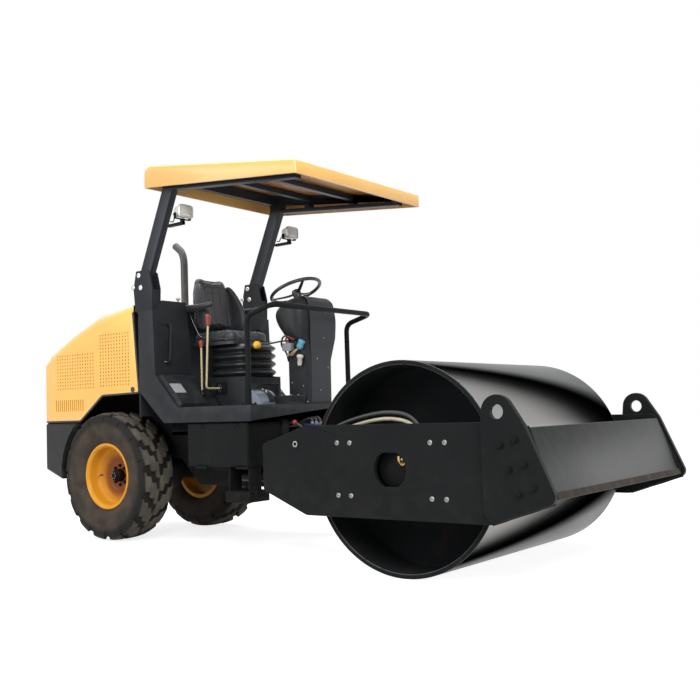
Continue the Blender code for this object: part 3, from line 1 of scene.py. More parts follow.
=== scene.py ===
"""The looks of the road roller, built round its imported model.

Sizes are in metres in the machine's own frame: X towards the drum with the drum's axis over X = 0, Y to the machine's
left, Z up from the ground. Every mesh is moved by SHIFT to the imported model's frame when it is made.
"""
from __future__ import annotations

import json
import logging
import math
from dataclasses import dataclass
from enum import Enum
from typing import Iterable, Sequence

import bmesh
import bpy
import numpy as np
from mathutils import Matrix, Vector

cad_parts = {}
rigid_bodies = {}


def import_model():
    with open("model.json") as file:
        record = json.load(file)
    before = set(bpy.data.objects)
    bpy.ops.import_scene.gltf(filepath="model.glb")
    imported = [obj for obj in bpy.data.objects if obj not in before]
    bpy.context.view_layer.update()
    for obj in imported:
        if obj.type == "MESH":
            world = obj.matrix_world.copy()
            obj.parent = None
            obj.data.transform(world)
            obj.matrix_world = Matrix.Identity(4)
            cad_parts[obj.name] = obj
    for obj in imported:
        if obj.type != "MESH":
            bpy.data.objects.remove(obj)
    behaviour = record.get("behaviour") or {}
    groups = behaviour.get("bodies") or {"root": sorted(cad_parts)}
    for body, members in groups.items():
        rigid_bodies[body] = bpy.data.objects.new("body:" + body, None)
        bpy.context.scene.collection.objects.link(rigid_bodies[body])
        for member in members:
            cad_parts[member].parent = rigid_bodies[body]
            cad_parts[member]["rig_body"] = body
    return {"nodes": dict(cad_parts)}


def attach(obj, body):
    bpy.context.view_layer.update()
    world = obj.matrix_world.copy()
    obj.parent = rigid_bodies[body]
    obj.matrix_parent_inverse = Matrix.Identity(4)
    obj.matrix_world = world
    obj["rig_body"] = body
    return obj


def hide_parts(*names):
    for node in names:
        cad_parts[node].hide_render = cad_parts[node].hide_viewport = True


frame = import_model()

LOG = logging.getLogger("road_roller")
SHIFT = np.array([1.31, 0.0, 0.0])
TAU = 2.0 * math.pi
REAR = "rear_section"
JOIN_DISTANCE = 0.00002
FLAT_ANGLE = math.radians(0.4)
TREAD_EDGE = 0.133
Colour = tuple[float, float, float]
Point = Sequence[float]


class Side(Enum):
    """The machine's two sides, with the sign of Y."""

    RIGHT = -1
    LEFT = 1

    @property
    def word(self) -> str:
        """The side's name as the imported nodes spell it."""
        return self.name.lower()


# Shader graphs


class Wire:
    """A node's output that takes part in arithmetic."""

    def __init__(self, graph: "Graph", socket: bpy.types.NodeSocket) -> None:
        """Keeps the graph that grows with each operation, and the socket."""
        self.graph = graph
        self.socket = socket

    def _with(self, operation: str, *others: "Wire | float") -> "Wire":
        """One Math node on this value and the others."""
        return self.graph.node("ShaderNodeMath", {"operation": operation}, dict(enumerate((self, *others))))

    def __add__(self, other: "Wire | float") -> "Wire":
        """The sum."""
        return self._with("ADD", other)

    __radd__ = __add__

    def __mul__(self, other: "Wire | float") -> "Wire":
        """The product."""
        return self._with("MULTIPLY", other)

    __rmul__ = __mul__

    def __sub__(self, other: "Wire | float") -> "Wire":
        """The difference."""
        return self._with("SUBTRACT", other)

    def __rsub__(self, other: float) -> "Wire":
        """The difference from a number."""
        return self.graph.node("ShaderNodeMath", {"operation": "SUBTRACT"}, {0: other, 1: self})

    def __truediv__(self, other: "Wire | float") -> "Wire":
        """The quotient."""
        return self._with("DIVIDE", other)

    def __pow__(self, other: float) -> "Wire":
        """The power."""
        return self._with("POWER", other)

    def __abs__(self) -> "Wire":
        """The size without its sign."""
        return self._with("ABSOLUTE")

    def top(self, other: "Wire | float") -> "Wire":
        """The larger of the two."""
        return self._with("MAXIMUM", other)

    def ramp(self, low: float, high: float) -> "Wire":
        """A smooth rise from 0 at low to 1 at high, which may be the smaller number."""
        return self.graph.node(
            "ShaderNodeMapRange", {"interpolation_type": "SMOOTHSTEP"},
            {"Value": self, "From Min": low, "From Max": high, "To Min": 0.0, "To Max": 1.0})


class Graph:
    """One material's nodes, ending in its Principled shader."""

    def __init__(self, name: str) -> None:
        """A fresh material with its place wire.

        Args:
            name: The material's name.
        """
        self.material = bpy.data.materials.new(name)
        self.material.use_nodes = True
        self.tree = self.material.node_tree
        self.shader = self.tree.nodes["Principled BSDF"]
        self.place = self.node("ShaderNodeTexCoord", outlet="Object")

    def node(self, kind: str, settings: dict | None = None, values: dict | None = None,
             outlet: str | int = 0) -> Wire:
        """Adds any node.

        Args:
            kind: The node's type.
            settings: Attributes, set first.
            values: Numbers, colours or wires by socket name or number.
            outlet: The output that is handed on.

        Returns:
            The output as a wire.
        """
        made = self.tree.nodes.new(kind)
        for key, value in (settings or {}).items():
            setattr(made, key, value)
        for key, value in (values or {}).items():
            self.plug(made.inputs[key], value)
        return Wire(self, made.outputs[outlet])

    def plug(self, socket: bpy.types.NodeSocket, value: "Wire | float | Sequence[float]") -> None:
        """Links a wire to the socket, or sets its value.

        Args:
            socket: The socket.
            value: The value or wire.
        """
        if isinstance(value, Wire):
            self.tree.links.new(value.socket, socket)
        elif isinstance(value, tuple) and len(value) == 3 and len(socket.default_value) == 4:
            socket.default_value = (*value, 1.0)
        else:
            socket.default_value = value

    def set(self, **values: "Wire | float | Sequence[float]") -> None:
        """Sets the shader's sockets; an underscore stands for a space."""
        for key, value in values.items():
            self.plug(self.shader.inputs[key.replace("_", " ")], value)

    def noise(self, scale: float, detail: float = 3.0, stretch: Point = (1.0, 1.0, 1.0),
              roughness: float = 0.55) -> Wire:
        """Soft noise about 0.5 on object coordinates, finer along an axis with a larger stretch."""
        where = self.node("ShaderNodeMapping", None, {"Vector": self.place, "Scale": tuple(stretch)})
        return self.node("ShaderNodeTexNoise", None,
                         {"Vector": where, "Scale": scale, "Detail": detail, "Roughness": roughness})

    def cells(self, scale: float, feature: str = "DISTANCE_TO_EDGE") -> Wire:
        """Cell pattern on object coordinates."""
        return self.node("ShaderNodeTexVoronoi", {"feature": feature}, {"Vector": self.place, "Scale": scale})

    def part(self, axis: str) -> Wire:
        """One coordinate of the place, X, Y or Z."""
        return self.node("ShaderNodeSeparateXYZ", None, {0: self.place}, axis)

    def upward(self) -> Wire:
        """How far the surface faces up, from 0 to 1."""
        normal = self.node("ShaderNodeTexCoord", outlet="Normal")
        return self.node("ShaderNodeSeparateXYZ", None, {0: normal}, "Z").top(0.0)

    def facing_down(self) -> Wire:
        """How far the surface faces down, from 0 to 1."""
        normal = self.node("ShaderNodeTexCoord", outlet="Normal")
        return (self.node("ShaderNodeSeparateXYZ", None, {0: normal}, "Z") * -1.0).top(0.0)

    def mix(self, factor: "Wire | float", first: "Wire | Colour", second: "Wire | Colour") -> Wire:
        """A colour between the first, at 0, and the second, at 1."""
        return self.node("ShaderNodeMix", {"data_type": "RGBA", "clamp_factor": True},
                         {0: factor, 6: first, 7: second}, 2)

    def relief(self, *layers: "tuple[Wire, float, float]") -> None:
        """Bump from (height, strength, depth in metres) layers, the last on top, into the shader's normal.

        Args:
            layers: The layers, the lowest first.
        """
        normal = None
        for height, strength, depth in layers:
            values = {"Height": height, "Strength": strength, "Distance": depth}
            if normal is not None:
                values["Normal"] = normal
            normal = self.node("ShaderNodeBump", None, values)
        if normal is not None:
            self.set(Normal=normal)


# Finishes


@dataclass(frozen=True)
class Dust:
    """Dry soil that lies on a finish."""

    colour: Colour = (0.36, 0.29, 0.2)
    amount: float = 0.12
    low: float = 0.9
    speck: float = 14.0

    def mask(self, graph: Graph) -> Wire:
        """More dust low on the machine and on what faces up, broken up by noise."""
        height = graph.part("Z").ramp(self.low, 0.0)
        patches = graph.noise(self.speck, 5.0).ramp(0.42, 0.72)
        return (height * 0.8 + graph.upward() * 0.5 + 0.05) * patches * self.amount


@dataclass(frozen=True)
class Paint:
    """Sprayed paint on steel with a light orange peel, dust and small rubs, and optional darker colours on what faces
    down, partly painted shade, and in a wheel's recessed middle, painted shade.
    """

    name: str
    colour: Colour
    roughness: float = 0.35
    metallic: float = 0.0
    coat: float = 0.0
    specular: float = 0.5
    dust: Dust = Dust()
    rub: Colour = (0.22, 0.21, 0.2)
    rubs: float = 0.25
    peel: float = 0.1
    # under: a darker colour on what faces down, partly the underside's own tone and partly painted shade
    under: Colour | None = None
    # hollow: a wheel's axis and the painted shade colour of its recessed middle
    hollow: tuple[float, float, Colour] | None = None

    def make(self) -> bpy.types.Material:
        """Builds the nodes; hollow holds a wheel's axis in X and Z and the painted shade colour of its recessed middle.

        Returns:
            The material.
        """
        g = Graph(self.name)
        broad = g.noise(1.7, 4.0)
        shade = g.mix(broad.ramp(0.3, 0.75), self.colour, tuple(min(1.0, c * 1.12 + 0.002) for c in self.colour))
        chips = g.noise(95.0, 2.0).ramp(0.72, 0.78) * g.noise(5.0, 2.0).ramp(0.52, 0.66) * self.rubs
        rubs_and_painted_shade = g.mix(chips, shade, self.rub)
        # partly painted shade: what faces down takes the under colour
        if self.under:
            rubs_and_painted_shade = g.mix(g.facing_down().ramp(0.3, 0.7), rubs_and_painted_shade, self.under)
        # painted shade: darker towards the wheel's axis, in the dish's recess
        if self.hollow:
            x, z = g.part("X") - self.hollow[0], g.part("Z") - self.hollow[1]
            rubs_and_painted_shade = g.mix(((x * x + z * z) ** 0.5).ramp(0.222, 0.12), rubs_and_painted_shade, self.hollow[2])
        dust = self.dust.mask(g)
        g.set(Base_Color=g.mix(dust, rubs_and_painted_shade, self.dust.colour),
              Roughness=(broad - 0.5) * 0.1 + self.roughness + dust * 0.5 + chips * 0.2,
              Metallic=self.metallic, Coat_Weight=self.coat, Coat_Roughness=0.08,
              Specular_IOR_Level=self.specular)
        g.relief((g.noise(2.2, 2.0), 0.1, 0.004), (g.noise(520.0, 2.0), self.peel, 0.0004))
        return g.material


@dataclass(frozen=True)
class Rolled:
    """The drum's steel: polished outside by the ground, with rings of fine scratches and a worn edge, dark inside;
    where the outside turns away from the view it fades to the dark colour and loses its metal, a painted shade.
    """

    name: str = "drum_shell"
    colour: Colour = (0.46, 0.455, 0.45)
    worn: Colour = (0.17, 0.17, 0.17)
    inner: Colour = (0.014, 0.016, 0.017)
    rust: Colour = (0.045, 0.03, 0.02)
    edge: tuple[float, float, float, float] = (0.844, 0.8462, 0.8484, 0.8498)
    axis: tuple[float, float] = (1.31, 0.6)
    bore: float = 0.597

    def make(self) -> bpy.types.Material:
        """Builds the finish's nodes.

        Returns:
            The material.
        """
        g = Graph(self.name)
        rings = g.noise(3.0, 6.0, (0.15, 60.0, 0.15))
        patches = g.noise(2.6, 5.0)
        across = abs(g.part("Y"))
        rim = across.ramp(*self.edge[:2]) * across.ramp(self.edge[3], self.edge[2])
        x, z = g.part("X") - self.axis[0], g.part("Z") - self.axis[1]
        out = ((x * x + z * z) ** 0.5).ramp(self.bore, self.bore + 0.001) * across.ramp(self.edge[1], self.edge[0])
        # painted shade: Layer Weight facing darkens the outside where it turns away from the view, giving it the dark
        # inside colour and less metal
        facing = g.node("ShaderNodeLayerWeight", None, {"Blend": 0.5}, "Facing")
        inside = g.mix(g.noise(7.0, 6.0, (1.0, 0.3, 1.0)).ramp(0.52, 0.8) * 0.6, self.inner, self.rust)
        inside_wear_and_painted_shade = g.mix(rim * g.noise(30.0).ramp(0.25, 0.5) * 0.7, inside, self.worn)
        g.set(Base_Color=g.mix(out * facing.ramp(0.76, 0.58), inside_wear_and_painted_shade, self.colour),
              Metallic=out * facing.ramp(0.84, 0.76), Specular_Tint=(0.0, 0.0, 0.0), Specular_IOR_Level=0.06,
              Roughness=(rings - 0.5) * 0.06 + 0.55 + (patches - 0.5) * 0.05 - out * 0.29)
        g.relief((rings, 0.05, 0.0005), (patches, 0.03, 0.004))
        return g.material


@dataclass(frozen=True)
class Tread:
    """Tyre rubber: dark walls, tan soil on the lugs and in the grooves."""

    name: str
    middle: Point
    rubber: Colour = (0.0125, 0.0112, 0.01)
    soil: Colour = (0.13, 0.115, 0.095)
    wall: Colour = (0.062, 0.048, 0.036)
    lug: float = 0.458

    def make(self) -> bpy.types.Material:
        """Builds the nodes; the distance from the wheel's axis sets where the soil lies.

        Returns:
            The material.
        """
        g = Graph(self.name)
        x = g.part("X") - float(self.middle[0] + SHIFT[0])
        z = g.part("Z") - float(self.middle[2])
        radius = (x * x + z * z) ** 0.5
        worn = radius.ramp(self.lug, self.lug + 0.02)
        clods = g.noise(9.0, 5.0).ramp(0.25, 0.75)
        fine = g.noise(160.0, 4.0)
        sides = radius.ramp(0.425, 0.375) * (clods * 0.7 + 0.3)
        tops = worn * (clods * 0.55 + 0.45) + (fine - 0.5) * 0.16
        g.set(Base_Color=g.mix(tops, g.mix(sides, self.rubber, self.wall), self.soil), Roughness=0.8 + tops * 0.12,
              Specular_IOR_Level=0.2)
        g.relief((g.noise(45.0, 5.0), 0.12, 0.003), (fine, 0.2, 0.0008))
        return g.material


@dataclass(frozen=True)
class Hide:
    """Seat vinyl with a pebbled grain."""

    name: str
    colour: Colour = (0.018, 0.018, 0.021)
    roughness: float = 0.46
    grain: float = 420.0

    def make(self) -> bpy.types.Material:
        """Builds the finish's nodes.

        Returns:
            The material.
        """
        g = Graph(self.name)
        pebbles = g.cells(self.grain).ramp(0.0, 0.35)
        soft = g.noise(9.0, 4.0)
        g.set(Base_Color=g.mix(soft.ramp(0.35, 0.8) * 0.6, self.colour, tuple(c * 1.9 + 0.004 for c in self.colour)),
              Roughness=(soft - 0.5) * 0.2 + self.roughness, Sheen_Weight=0.15)
        g.relief((soft, 0.25, 0.006), (pebbles, 0.3, 0.0006))
        return g.material


@dataclass(frozen=True)
class Moulded:
    """Moulded rubber or plastic with a fine spark texture."""

    name: str
    colour: Colour
    roughness: float = 0.55
    texture: float = 300.0
    depth: float = 0.15
    metallic: float = 0.0
    specular: float = 0.5

    def make(self) -> bpy.types.Material:
        """Builds the finish's nodes.

        Returns:
            The material.
        """
        g = Graph(self.name)
        spark = g.noise(self.texture, 2.0)
        soft = g.noise(12.0, 4.0)
        g.set(Base_Color=g.mix(soft.ramp(0.4, 0.8), self.colour, tuple(min(1.0, c * 1.35) for c in self.colour)),
              Roughness=(soft - 0.5) * 0.16 + self.roughness, Metallic=self.metallic,
              Specular_IOR_Level=self.specular)
        g.relief((soft, 0.1, 0.002), (spark, self.depth, 0.0005))
        return g.material


@dataclass(frozen=True)
class Lens:
    """The lamp's lens, drawn opaque: its pale colour paints the bright bowl seen through clear glass, a painted
    reflection.
    """

    name: str = "lamp_lens"
    # pale colour that paints the bright reflector behind the glass: a painted reflection
    colour: Colour = (0.78, 0.75, 0.7)

    def make(self) -> bpy.types.Material:
        """Builds the nodes, with upright flutes, which are bumps and darker painted stripes.

        Returns:
            The material.
        """
        g = Graph(self.name)
        flutes = g.node("ShaderNodeTexWave", {"bands_direction": "Y"},
                        {"Vector": g.place, "Scale": 40.0, "Distortion": 0.0})
        g.set(Base_Color=g.mix(flutes, self.colour, (0.46, 0.44, 0.42)), Roughness=0.1, Metallic=0.0,
              Coat_Weight=0.6)
        g.relief((flutes, 0.4, 0.002))
        return g.material


# Mesh surfaces


@dataclass
class Shape:
    """Points and faces, with one array of corner numbers for each count of corners."""

    points: np.ndarray
    faces: list[np.ndarray]

    def __add__(self, other: "Shape") -> "Shape":
        """Both shapes as one."""
        shift = len(self.points)
        return Shape(np.vstack((self.points, other.points)), self.faces + [f + shift for f in other.faces])

    def by(self, matrix: Matrix) -> "Shape":
        """The shape moved by a 4 x 4 matrix."""
        m = np.array(matrix)
        return Shape(self.points @ m[:3, :3].T + m[:3, 3], self.faces)

    def moved(self, x: float = 0.0, y: float = 0.0, z: float = 0.0) -> "Shape":
        """The shape shifted."""
        return Shape(self.points + np.array([x, y, z]), self.faces)

    def sided(self, side: Side) -> "Shape":
        """The shape made for the left, or its mirror image for the right."""
        if side is Side.LEFT:
            return self
        return Shape(self.points * np.array([1.0, -1.0, 1.0]), [f[:, ::-1] for f in self.faces])


def total(shapes: Iterable[Shape]) -> Shape:
    """All the shapes as one."""
    shapes = list(shapes)
    starts = np.cumsum([0] + [len(s.points) for s in shapes])
    return Shape(np.vstack([s.points for s in shapes]), [f + n for s, n in zip(shapes, starts) for f in s.faces])


def net(points: np.ndarray, wrap: tuple[bool, bool] = (False, True), caps: bool = False) -> Shape:
    """Quads over a grid of points.

    Args:
        points: Rows by columns by 3.
        wrap: Whether the rows and the columns close on themselves.
        caps: Whether the first and the last row are filled.

    Returns:
        The shape; point (i, j) of the grid is joined to (i + 1, j) and (i, j + 1).
    """
    rows, columns = points.shape[:2]
    i, j = np.meshgrid(np.arange(rows - (not wrap[0])), np.arange(columns - (not wrap[1])), indexing="ij")
    k, l = (i + 1) % rows, (j + 1) % columns
    quads = np.stack((i * columns + j, i * columns + l, k * columns + l, k * columns + j), -1).reshape(-1, 4)
    faces = [quads]
    if caps:
        ends = np.array([np.arange(columns)[::-1], (rows - 1) * columns + np.arange(columns)])
        faces.append(ends)
    return Shape(points.reshape(-1, 3), faces)


def fillet(corners: Sequence[Point], radius: float | Sequence[float], steps: int = 4,
           closed: bool = True) -> np.ndarray:
    """A polygon or path in any number of dimensions with its corners rounded.

    Each corner P becomes the curve (1 - t)^2 A + 2 t (1 - t) P + t^2 B between points A and B that lie the radius
    away along its two sides, or nearly half the side where that is shorter.

    Args:
        corners: The corners in order.
        radius: One distance, or one for each corner.
        steps: Pieces in each corner's curve.
        closed: Whether the end joins the start.

    Returns:
        The points of the rounded line.
    """
    p = np.asarray(corners, float)
    r = np.broadcast_to(np.asarray(radius, float), len(p))[:, None]
    before, after = np.roll(p, 1, 0) - p, np.roll(p, -1, 0) - p
    la, lb = (np.linalg.norm(v, axis=1, keepdims=True) + 1e-12 for v in (before, after))
    a = p + before / la * np.minimum(r, 0.49 * la)
    b = p + after / lb * np.minimum(r, 0.49 * lb)
    t = np.linspace(0.0, 1.0, steps + 1)[None, :, None]
    bent = (1 - t) ** 2 * a[:, None] + 2 * t * (1 - t) * p[:, None] + t ** 2 * b[:, None]
    if closed:
        return bent.reshape(-1, p.shape[1])
    return np.vstack((p[:1], bent[1:-1].reshape(-1, p.shape[1]), p[-1:]))


def smooth(route: Sequence[Point], steps: int = 8) -> np.ndarray:
    """The Catmull-Rom curve through the route: cubic pieces whose slope at a point is half the step past it.

    Args:
        route: Points in order.
        steps: Points made from each point to the next.

    Returns:
        The points of the curve.
    """
    p = np.asarray(route, float)
    p = np.vstack((2 * p[0] - p[1], p, 2 * p[-1] - p[-2]))
    a, b, c, d = p[:-3, None], p[1:-2, None], p[2:-1, None], p[3:, None]
    t = np.linspace(0.0, 1.0, steps, endpoint=False)[None, :, None]
    curve = (2 * b + (c - a) * t + (2 * a - 5 * b + 4 * c - d) * t ** 2 + (3 * b - a - 3 * c + d) * t ** 3) / 2
    return np.vstack((curve.reshape(-1, 3), p[-2]))


def ring(radius: float, steps: int = 16, squash: float = 1.0, power: float = 2.0) -> np.ndarray:
    """A closed section: |x / r|^p + |y / (r squash)|^p = 1, which is a circle at power 2."""
    a = np.arange(steps) * TAU / steps
    c, s = np.cos(a), np.sin(a)
    return radius * np.stack((np.sign(c) * np.abs(c) ** (2 / power), squash * np.sign(s) * np.abs(s) ** (2 / power)), 1)


def sweep(path: np.ndarray, section: np.ndarray, up: Point = (0.0, 1.0, 0.0), closed: bool = False,
          scale: np.ndarray | None = None) -> Shape:
    """A section carried along a path: point + scale (x side + y top), with side = path direction x up.

    Args:
        path: Points in order.
        section: The closed outline in two dimensions.
        up: A direction that the path never points along.
        closed: Whether the path's end joins its start.
        scale: The section's size at each point of the path.

    Returns:
        The tube, with filled ends where the path is open.
    """
    ahead = (np.roll(path, -1, 0) - np.roll(path, 1, 0)) if closed else np.gradient(path, axis=0)
    ahead = ahead / np.linalg.norm(ahead, axis=1, keepdims=True)
    side = np.cross(ahead, np.asarray(up, float))
    side = side / np.linalg.norm(side, axis=1, keepdims=True)
    top = np.cross(side, ahead)
    size = np.ones(len(path)) if scale is None else scale
    grid = path[:, None] + size[:, None, None] * (
        section[None, :, :1] * side[:, None] + section[None, :, 1:] * top[:, None])
    return net(grid, (closed, True), caps=not closed)


def tube(route: Sequence[Point], radius: float, steps: int = 16, up: Point = (0.0, 1.0, 0.0)) -> Shape:
    """A round bar along a route."""
    return sweep(np.asarray(route, float), ring(radius, steps), up)


def lathe(profile: Sequence[Point], centre: Point = (0.0, 0.0, 0.0), axis: Point = (0.0, 0.0, 1.0), steps: int = 64,
          closed: bool = False) -> Shape:
    """A profile of (radius, length) turned about an axis: centre + r (cos a u + sin a v) + length axis.

    Args:
        profile: In order; an open one has filled ends.
        centre: The axis starts there.
        axis: Its direction.
        steps: Columns round it.
        closed: Whether the profile's end joins its start.

    Returns:
        The turned shape.
    """
    p = np.asarray(profile, float)
    n = np.asarray(axis, float) / np.linalg.norm(axis)
    u = np.cross(n, (0.0, 0.0, 1.0) if abs(n[2]) < 0.9 else (1.0, 0.0, 0.0))
    u = u / np.linalg.norm(u)
    v = np.cross(n, u)
    a = np.arange(steps) * TAU / steps
    out = np.cos(a)[:, None] * u + np.sin(a)[:, None] * v
    grid = np.asarray(centre, float) + p[:, :1, None] * out[None] + p[:, 1:, None] * n
    return net(grid, (closed, True), caps=not closed)


class Plane(Enum):
    """Which two axes an outline is drawn in, and which one it is thick along."""

    SIDE = (0, 2, 1)
    PLAN = (0, 1, 2)
    END = (1, 2, 0)


def slab(outline: Sequence[Point], low: float, high: float, plane: Plane) -> Shape:
    """An outline in a plane, as thick as from low to high.

    Args:
        outline: The closed outline.
        low: The lower face.
        high: The upper face.
        plane: The plane that the outline lies in.

    Returns:
        The solid form.
    """
    p = np.asarray(outline, float)
    points = np.zeros((2, len(p), 3))
    first, second, along = plane.value
    points[:, :, first] = p[:, 0]
    points[:, :, second] = p[:, 1]
    points[0, :, along], points[1, :, along] = low, high
    return net(points, (False, True), caps=True)


def box(x: Point, y: Point, z: Point) -> Shape:
    """A box between low and high values."""
    return slab([(x[0], y[0]), (x[1], y[0]), (x[1], y[1]), (x[0], y[1])], z[0], z[1], Plane.PLAN)


def facing(direction: Point, place: Point, roll: float = 0.0) -> Matrix:
    """The matrix that stands a shape made along +Z on a place, facing a direction."""
    turn = Vector((0.0, 0.0, 1.0)).rotation_difference(Vector(direction).normalized()).to_matrix().to_4x4()
    return Matrix.Translation(Vector(place)) @ turn @ Matrix.Rotation(roll, 4, "Z")


def hexagon_bolt(size: float, washer: float = 1.28) -> Shape:
    """A hexagon head with a chamfered top on a round washer, over the origin, facing +Z.

    Args:
        size: The head's size across its corners.
        washer: The washer's radius as a share of the head's.

    Returns:
        The bolt.
    """
    r = size / 2
    head = lathe([(r, 0.12 * size), (r, 0.52 * size), (r * 0.86, 0.6 * size), (r * 0.3, 0.62 * size)], steps=6)
    disc = fillet([(r * washer, -0.02 * size), (r * washer, 0.13 * size), (r * 0.4, 0.13 * size)], 0.02 * size, 2,
                  closed=False)
    return head + lathe(disc, steps=28)


def socket_bolt(size: float) -> Shape:
    """A round cap head with a hollow, over the origin, facing +Z."""
    r = size / 2
    return lathe([(r, -0.1 * size), (r, 0.5 * size), (0.9 * r, 0.58 * size), (0.5 * r, 0.58 * size),
                  (0.45 * r, 0.3 * size), (0.1 * r, 0.28 * size)], steps=24)


def rivet(size: float) -> Shape:
    """A low domed head over the origin, facing +Z."""
    a = np.linspace(0.0, 0.47 * math.pi, 6)
    return lathe(np.stack((size / 2 * np.cos(a), size * 0.28 * np.sin(a)), 1), steps=20)


def studs(unit: Shape, places: Iterable[Point], direction: Point, roll: float = 0.3) -> Shape:
    """Copies of a unit on places, all facing one direction, each turned a little further than the one before."""
    return total(unit.by(facing(direction, place, roll * number)) for number, place in enumerate(places))


def bead(route: Sequence[Point], radius: float = 0.004, up: Point = (0.0, 1.0, 0.0), ripple: float = 0.005) -> Shape:
    """A weld: a round bar whose size follows 1 + 0.16 sin along its length, one ripple in so many metres.

    Args:
        route: Points in order.
        radius: The bead's radius.
        up: A direction that the path never points along.
        ripple: The length of one ripple.

    Returns:
        The bead.
    """
    p = np.asarray(route, float)
    length = np.concatenate(([0.0], np.cumsum(np.linalg.norm(np.diff(p, axis=0), axis=1))))
    at = np.linspace(0.0, length[-1], max(8, int(length[-1] / (0.32 * ripple))))
    path = np.stack([np.interp(at, length, p[:, k]) for k in range(3)], 1)
    size = 1.0 + 0.16 * np.sin(at * TAU / ripple) + 0.1 * np.sin(at * 37.0)
    return sweep(path, ring(radius, 8), up, scale=size)


def make(shape: Shape, name: str, material: bpy.types.Material, body: str = REAR,
         bevel: float = 0.0, replaces: Sequence[str] = (), segments: int = 2, angle: float = 35.0) -> bpy.types.Object:
    """Makes a piece that rides on a body.

    Args:
        shape: Its form in the machine's frame.
        name: The piece's name.
        material: Its material.
        body: The body that carries it.
        bevel: The width of the rounding on its sharp edges, if any.
        replaces: The nodes that it stands for.
        segments: The rounding's segments.
        angle: Edges sharper than this, in degrees, are rounded or stay sharp.

    Returns:
        The object.
    """
    mesh = bpy.data.meshes.new(name)
    mesh.vertices.add(len(shape.points))
    mesh.vertices.foreach_set("co", (shape.points + SHIFT).astype(np.float32).ravel())
    corners = np.concatenate([f.ravel() for f in shape.faces]).astype(np.int32)
    sizes = np.concatenate([np.full(len(f), f.shape[1]) for f in shape.faces])
    starts = np.concatenate(([0], np.cumsum(sizes)[:-1])).astype(np.int32)
    mesh.loops.add(len(corners))
    mesh.loops.foreach_set("vertex_index", corners)
    mesh.polygons.add(len(sizes))
    mesh.polygons.foreach_set("loop_start", starts)
    mesh.update(calc_edges=True)
    mesh.validate()
    return finish_mesh(mesh, name, material, body, bevel, replaces, segments, angle)


def turned_out(mesh: bpy.types.Mesh, name: str) -> bpy.types.Object:
    """Turns a mesh's faces outwards and links it as an object of that name.

    Args:
        mesh: The mesh.
        name: The object's name.

    Returns:
        The object.
    """
    work = bmesh.new()
    work.from_mesh(mesh)
    bmesh.ops.recalc_face_normals(work, faces=work.faces)
    work.to_mesh(mesh)
    work.free()
    made = bpy.data.objects.new(name, mesh)
    bpy.context.scene.collection.objects.link(made)
    return made


def joined(node: str, name: str) -> bpy.types.Mesh:
    """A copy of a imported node's mesh whose loose triangles are joined and flat faces made whole.

    Args:
        node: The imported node's name.
        name: The copy's name.

    Returns:
        The copy.
    """
    work = bmesh.new()
    work.from_mesh(frame["nodes"][node].data)
    bmesh.ops.remove_doubles(work, verts=work.verts, dist=JOIN_DISTANCE)
    bmesh.ops.dissolve_limit(work, angle_limit=FLAT_ANGLE, verts=work.verts, edges=work.edges)
    mesh = bpy.data.meshes.new(name)
    work.to_mesh(mesh)
    work.free()
    return mesh


def finish_mesh(mesh: bpy.types.Mesh, name: str, material: bpy.types.Material, body: str, bevel: float,
                replaces: Sequence[str], segments: int, angle: float) -> bpy.types.Object:
    """Turns the faces outwards, shades and rounds a mesh, and makes it ride.

    Args:
        mesh: The mesh; the other arguments are those of make.

    Returns:
        The object.
    """
    piece = turned_out(mesh, name)
    mesh.shade_smooth()
    mesh.materials.clear()
    mesh.materials.append(material)
    if bevel:
        rounding = piece.modifiers.new("Bevel", "BEVEL")
        rounding.width = bevel
        rounding.segments = segments
        rounding.limit_method = "ANGLE"
        rounding.angle_limit = math.radians(angle)
        rounding.harden_normals = True
        rounding.miter_outer = "MITER_ARC"
    else:
        mesh.set_sharp_from_angle(angle=math.radians(angle))
    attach(piece, body)
    if replaces:
        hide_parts(*replaces)
    LOG.info("%s rides on %s", name, body)
    return piece


def skin(node: str, material: bpy.types.Material, bevel: float = 0.0025, segments: int = 2,
         angle: float = 28.0) -> bpy.types.Object:
    """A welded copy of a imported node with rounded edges, which stands for the node.

    Args:
        node: The node's name.
        material: The copy's material.
        bevel: The rounding's width.
        segments: The rounding's segments.
        angle: Edges sharper than this, in degrees, are rounded.

    Returns:
        The object.
    """
    name = f"{node}_skin"
    body = frame["nodes"][node]["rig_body"]
    return finish_mesh(joined(node, name), name, material, body, bevel, [node], segments, angle)


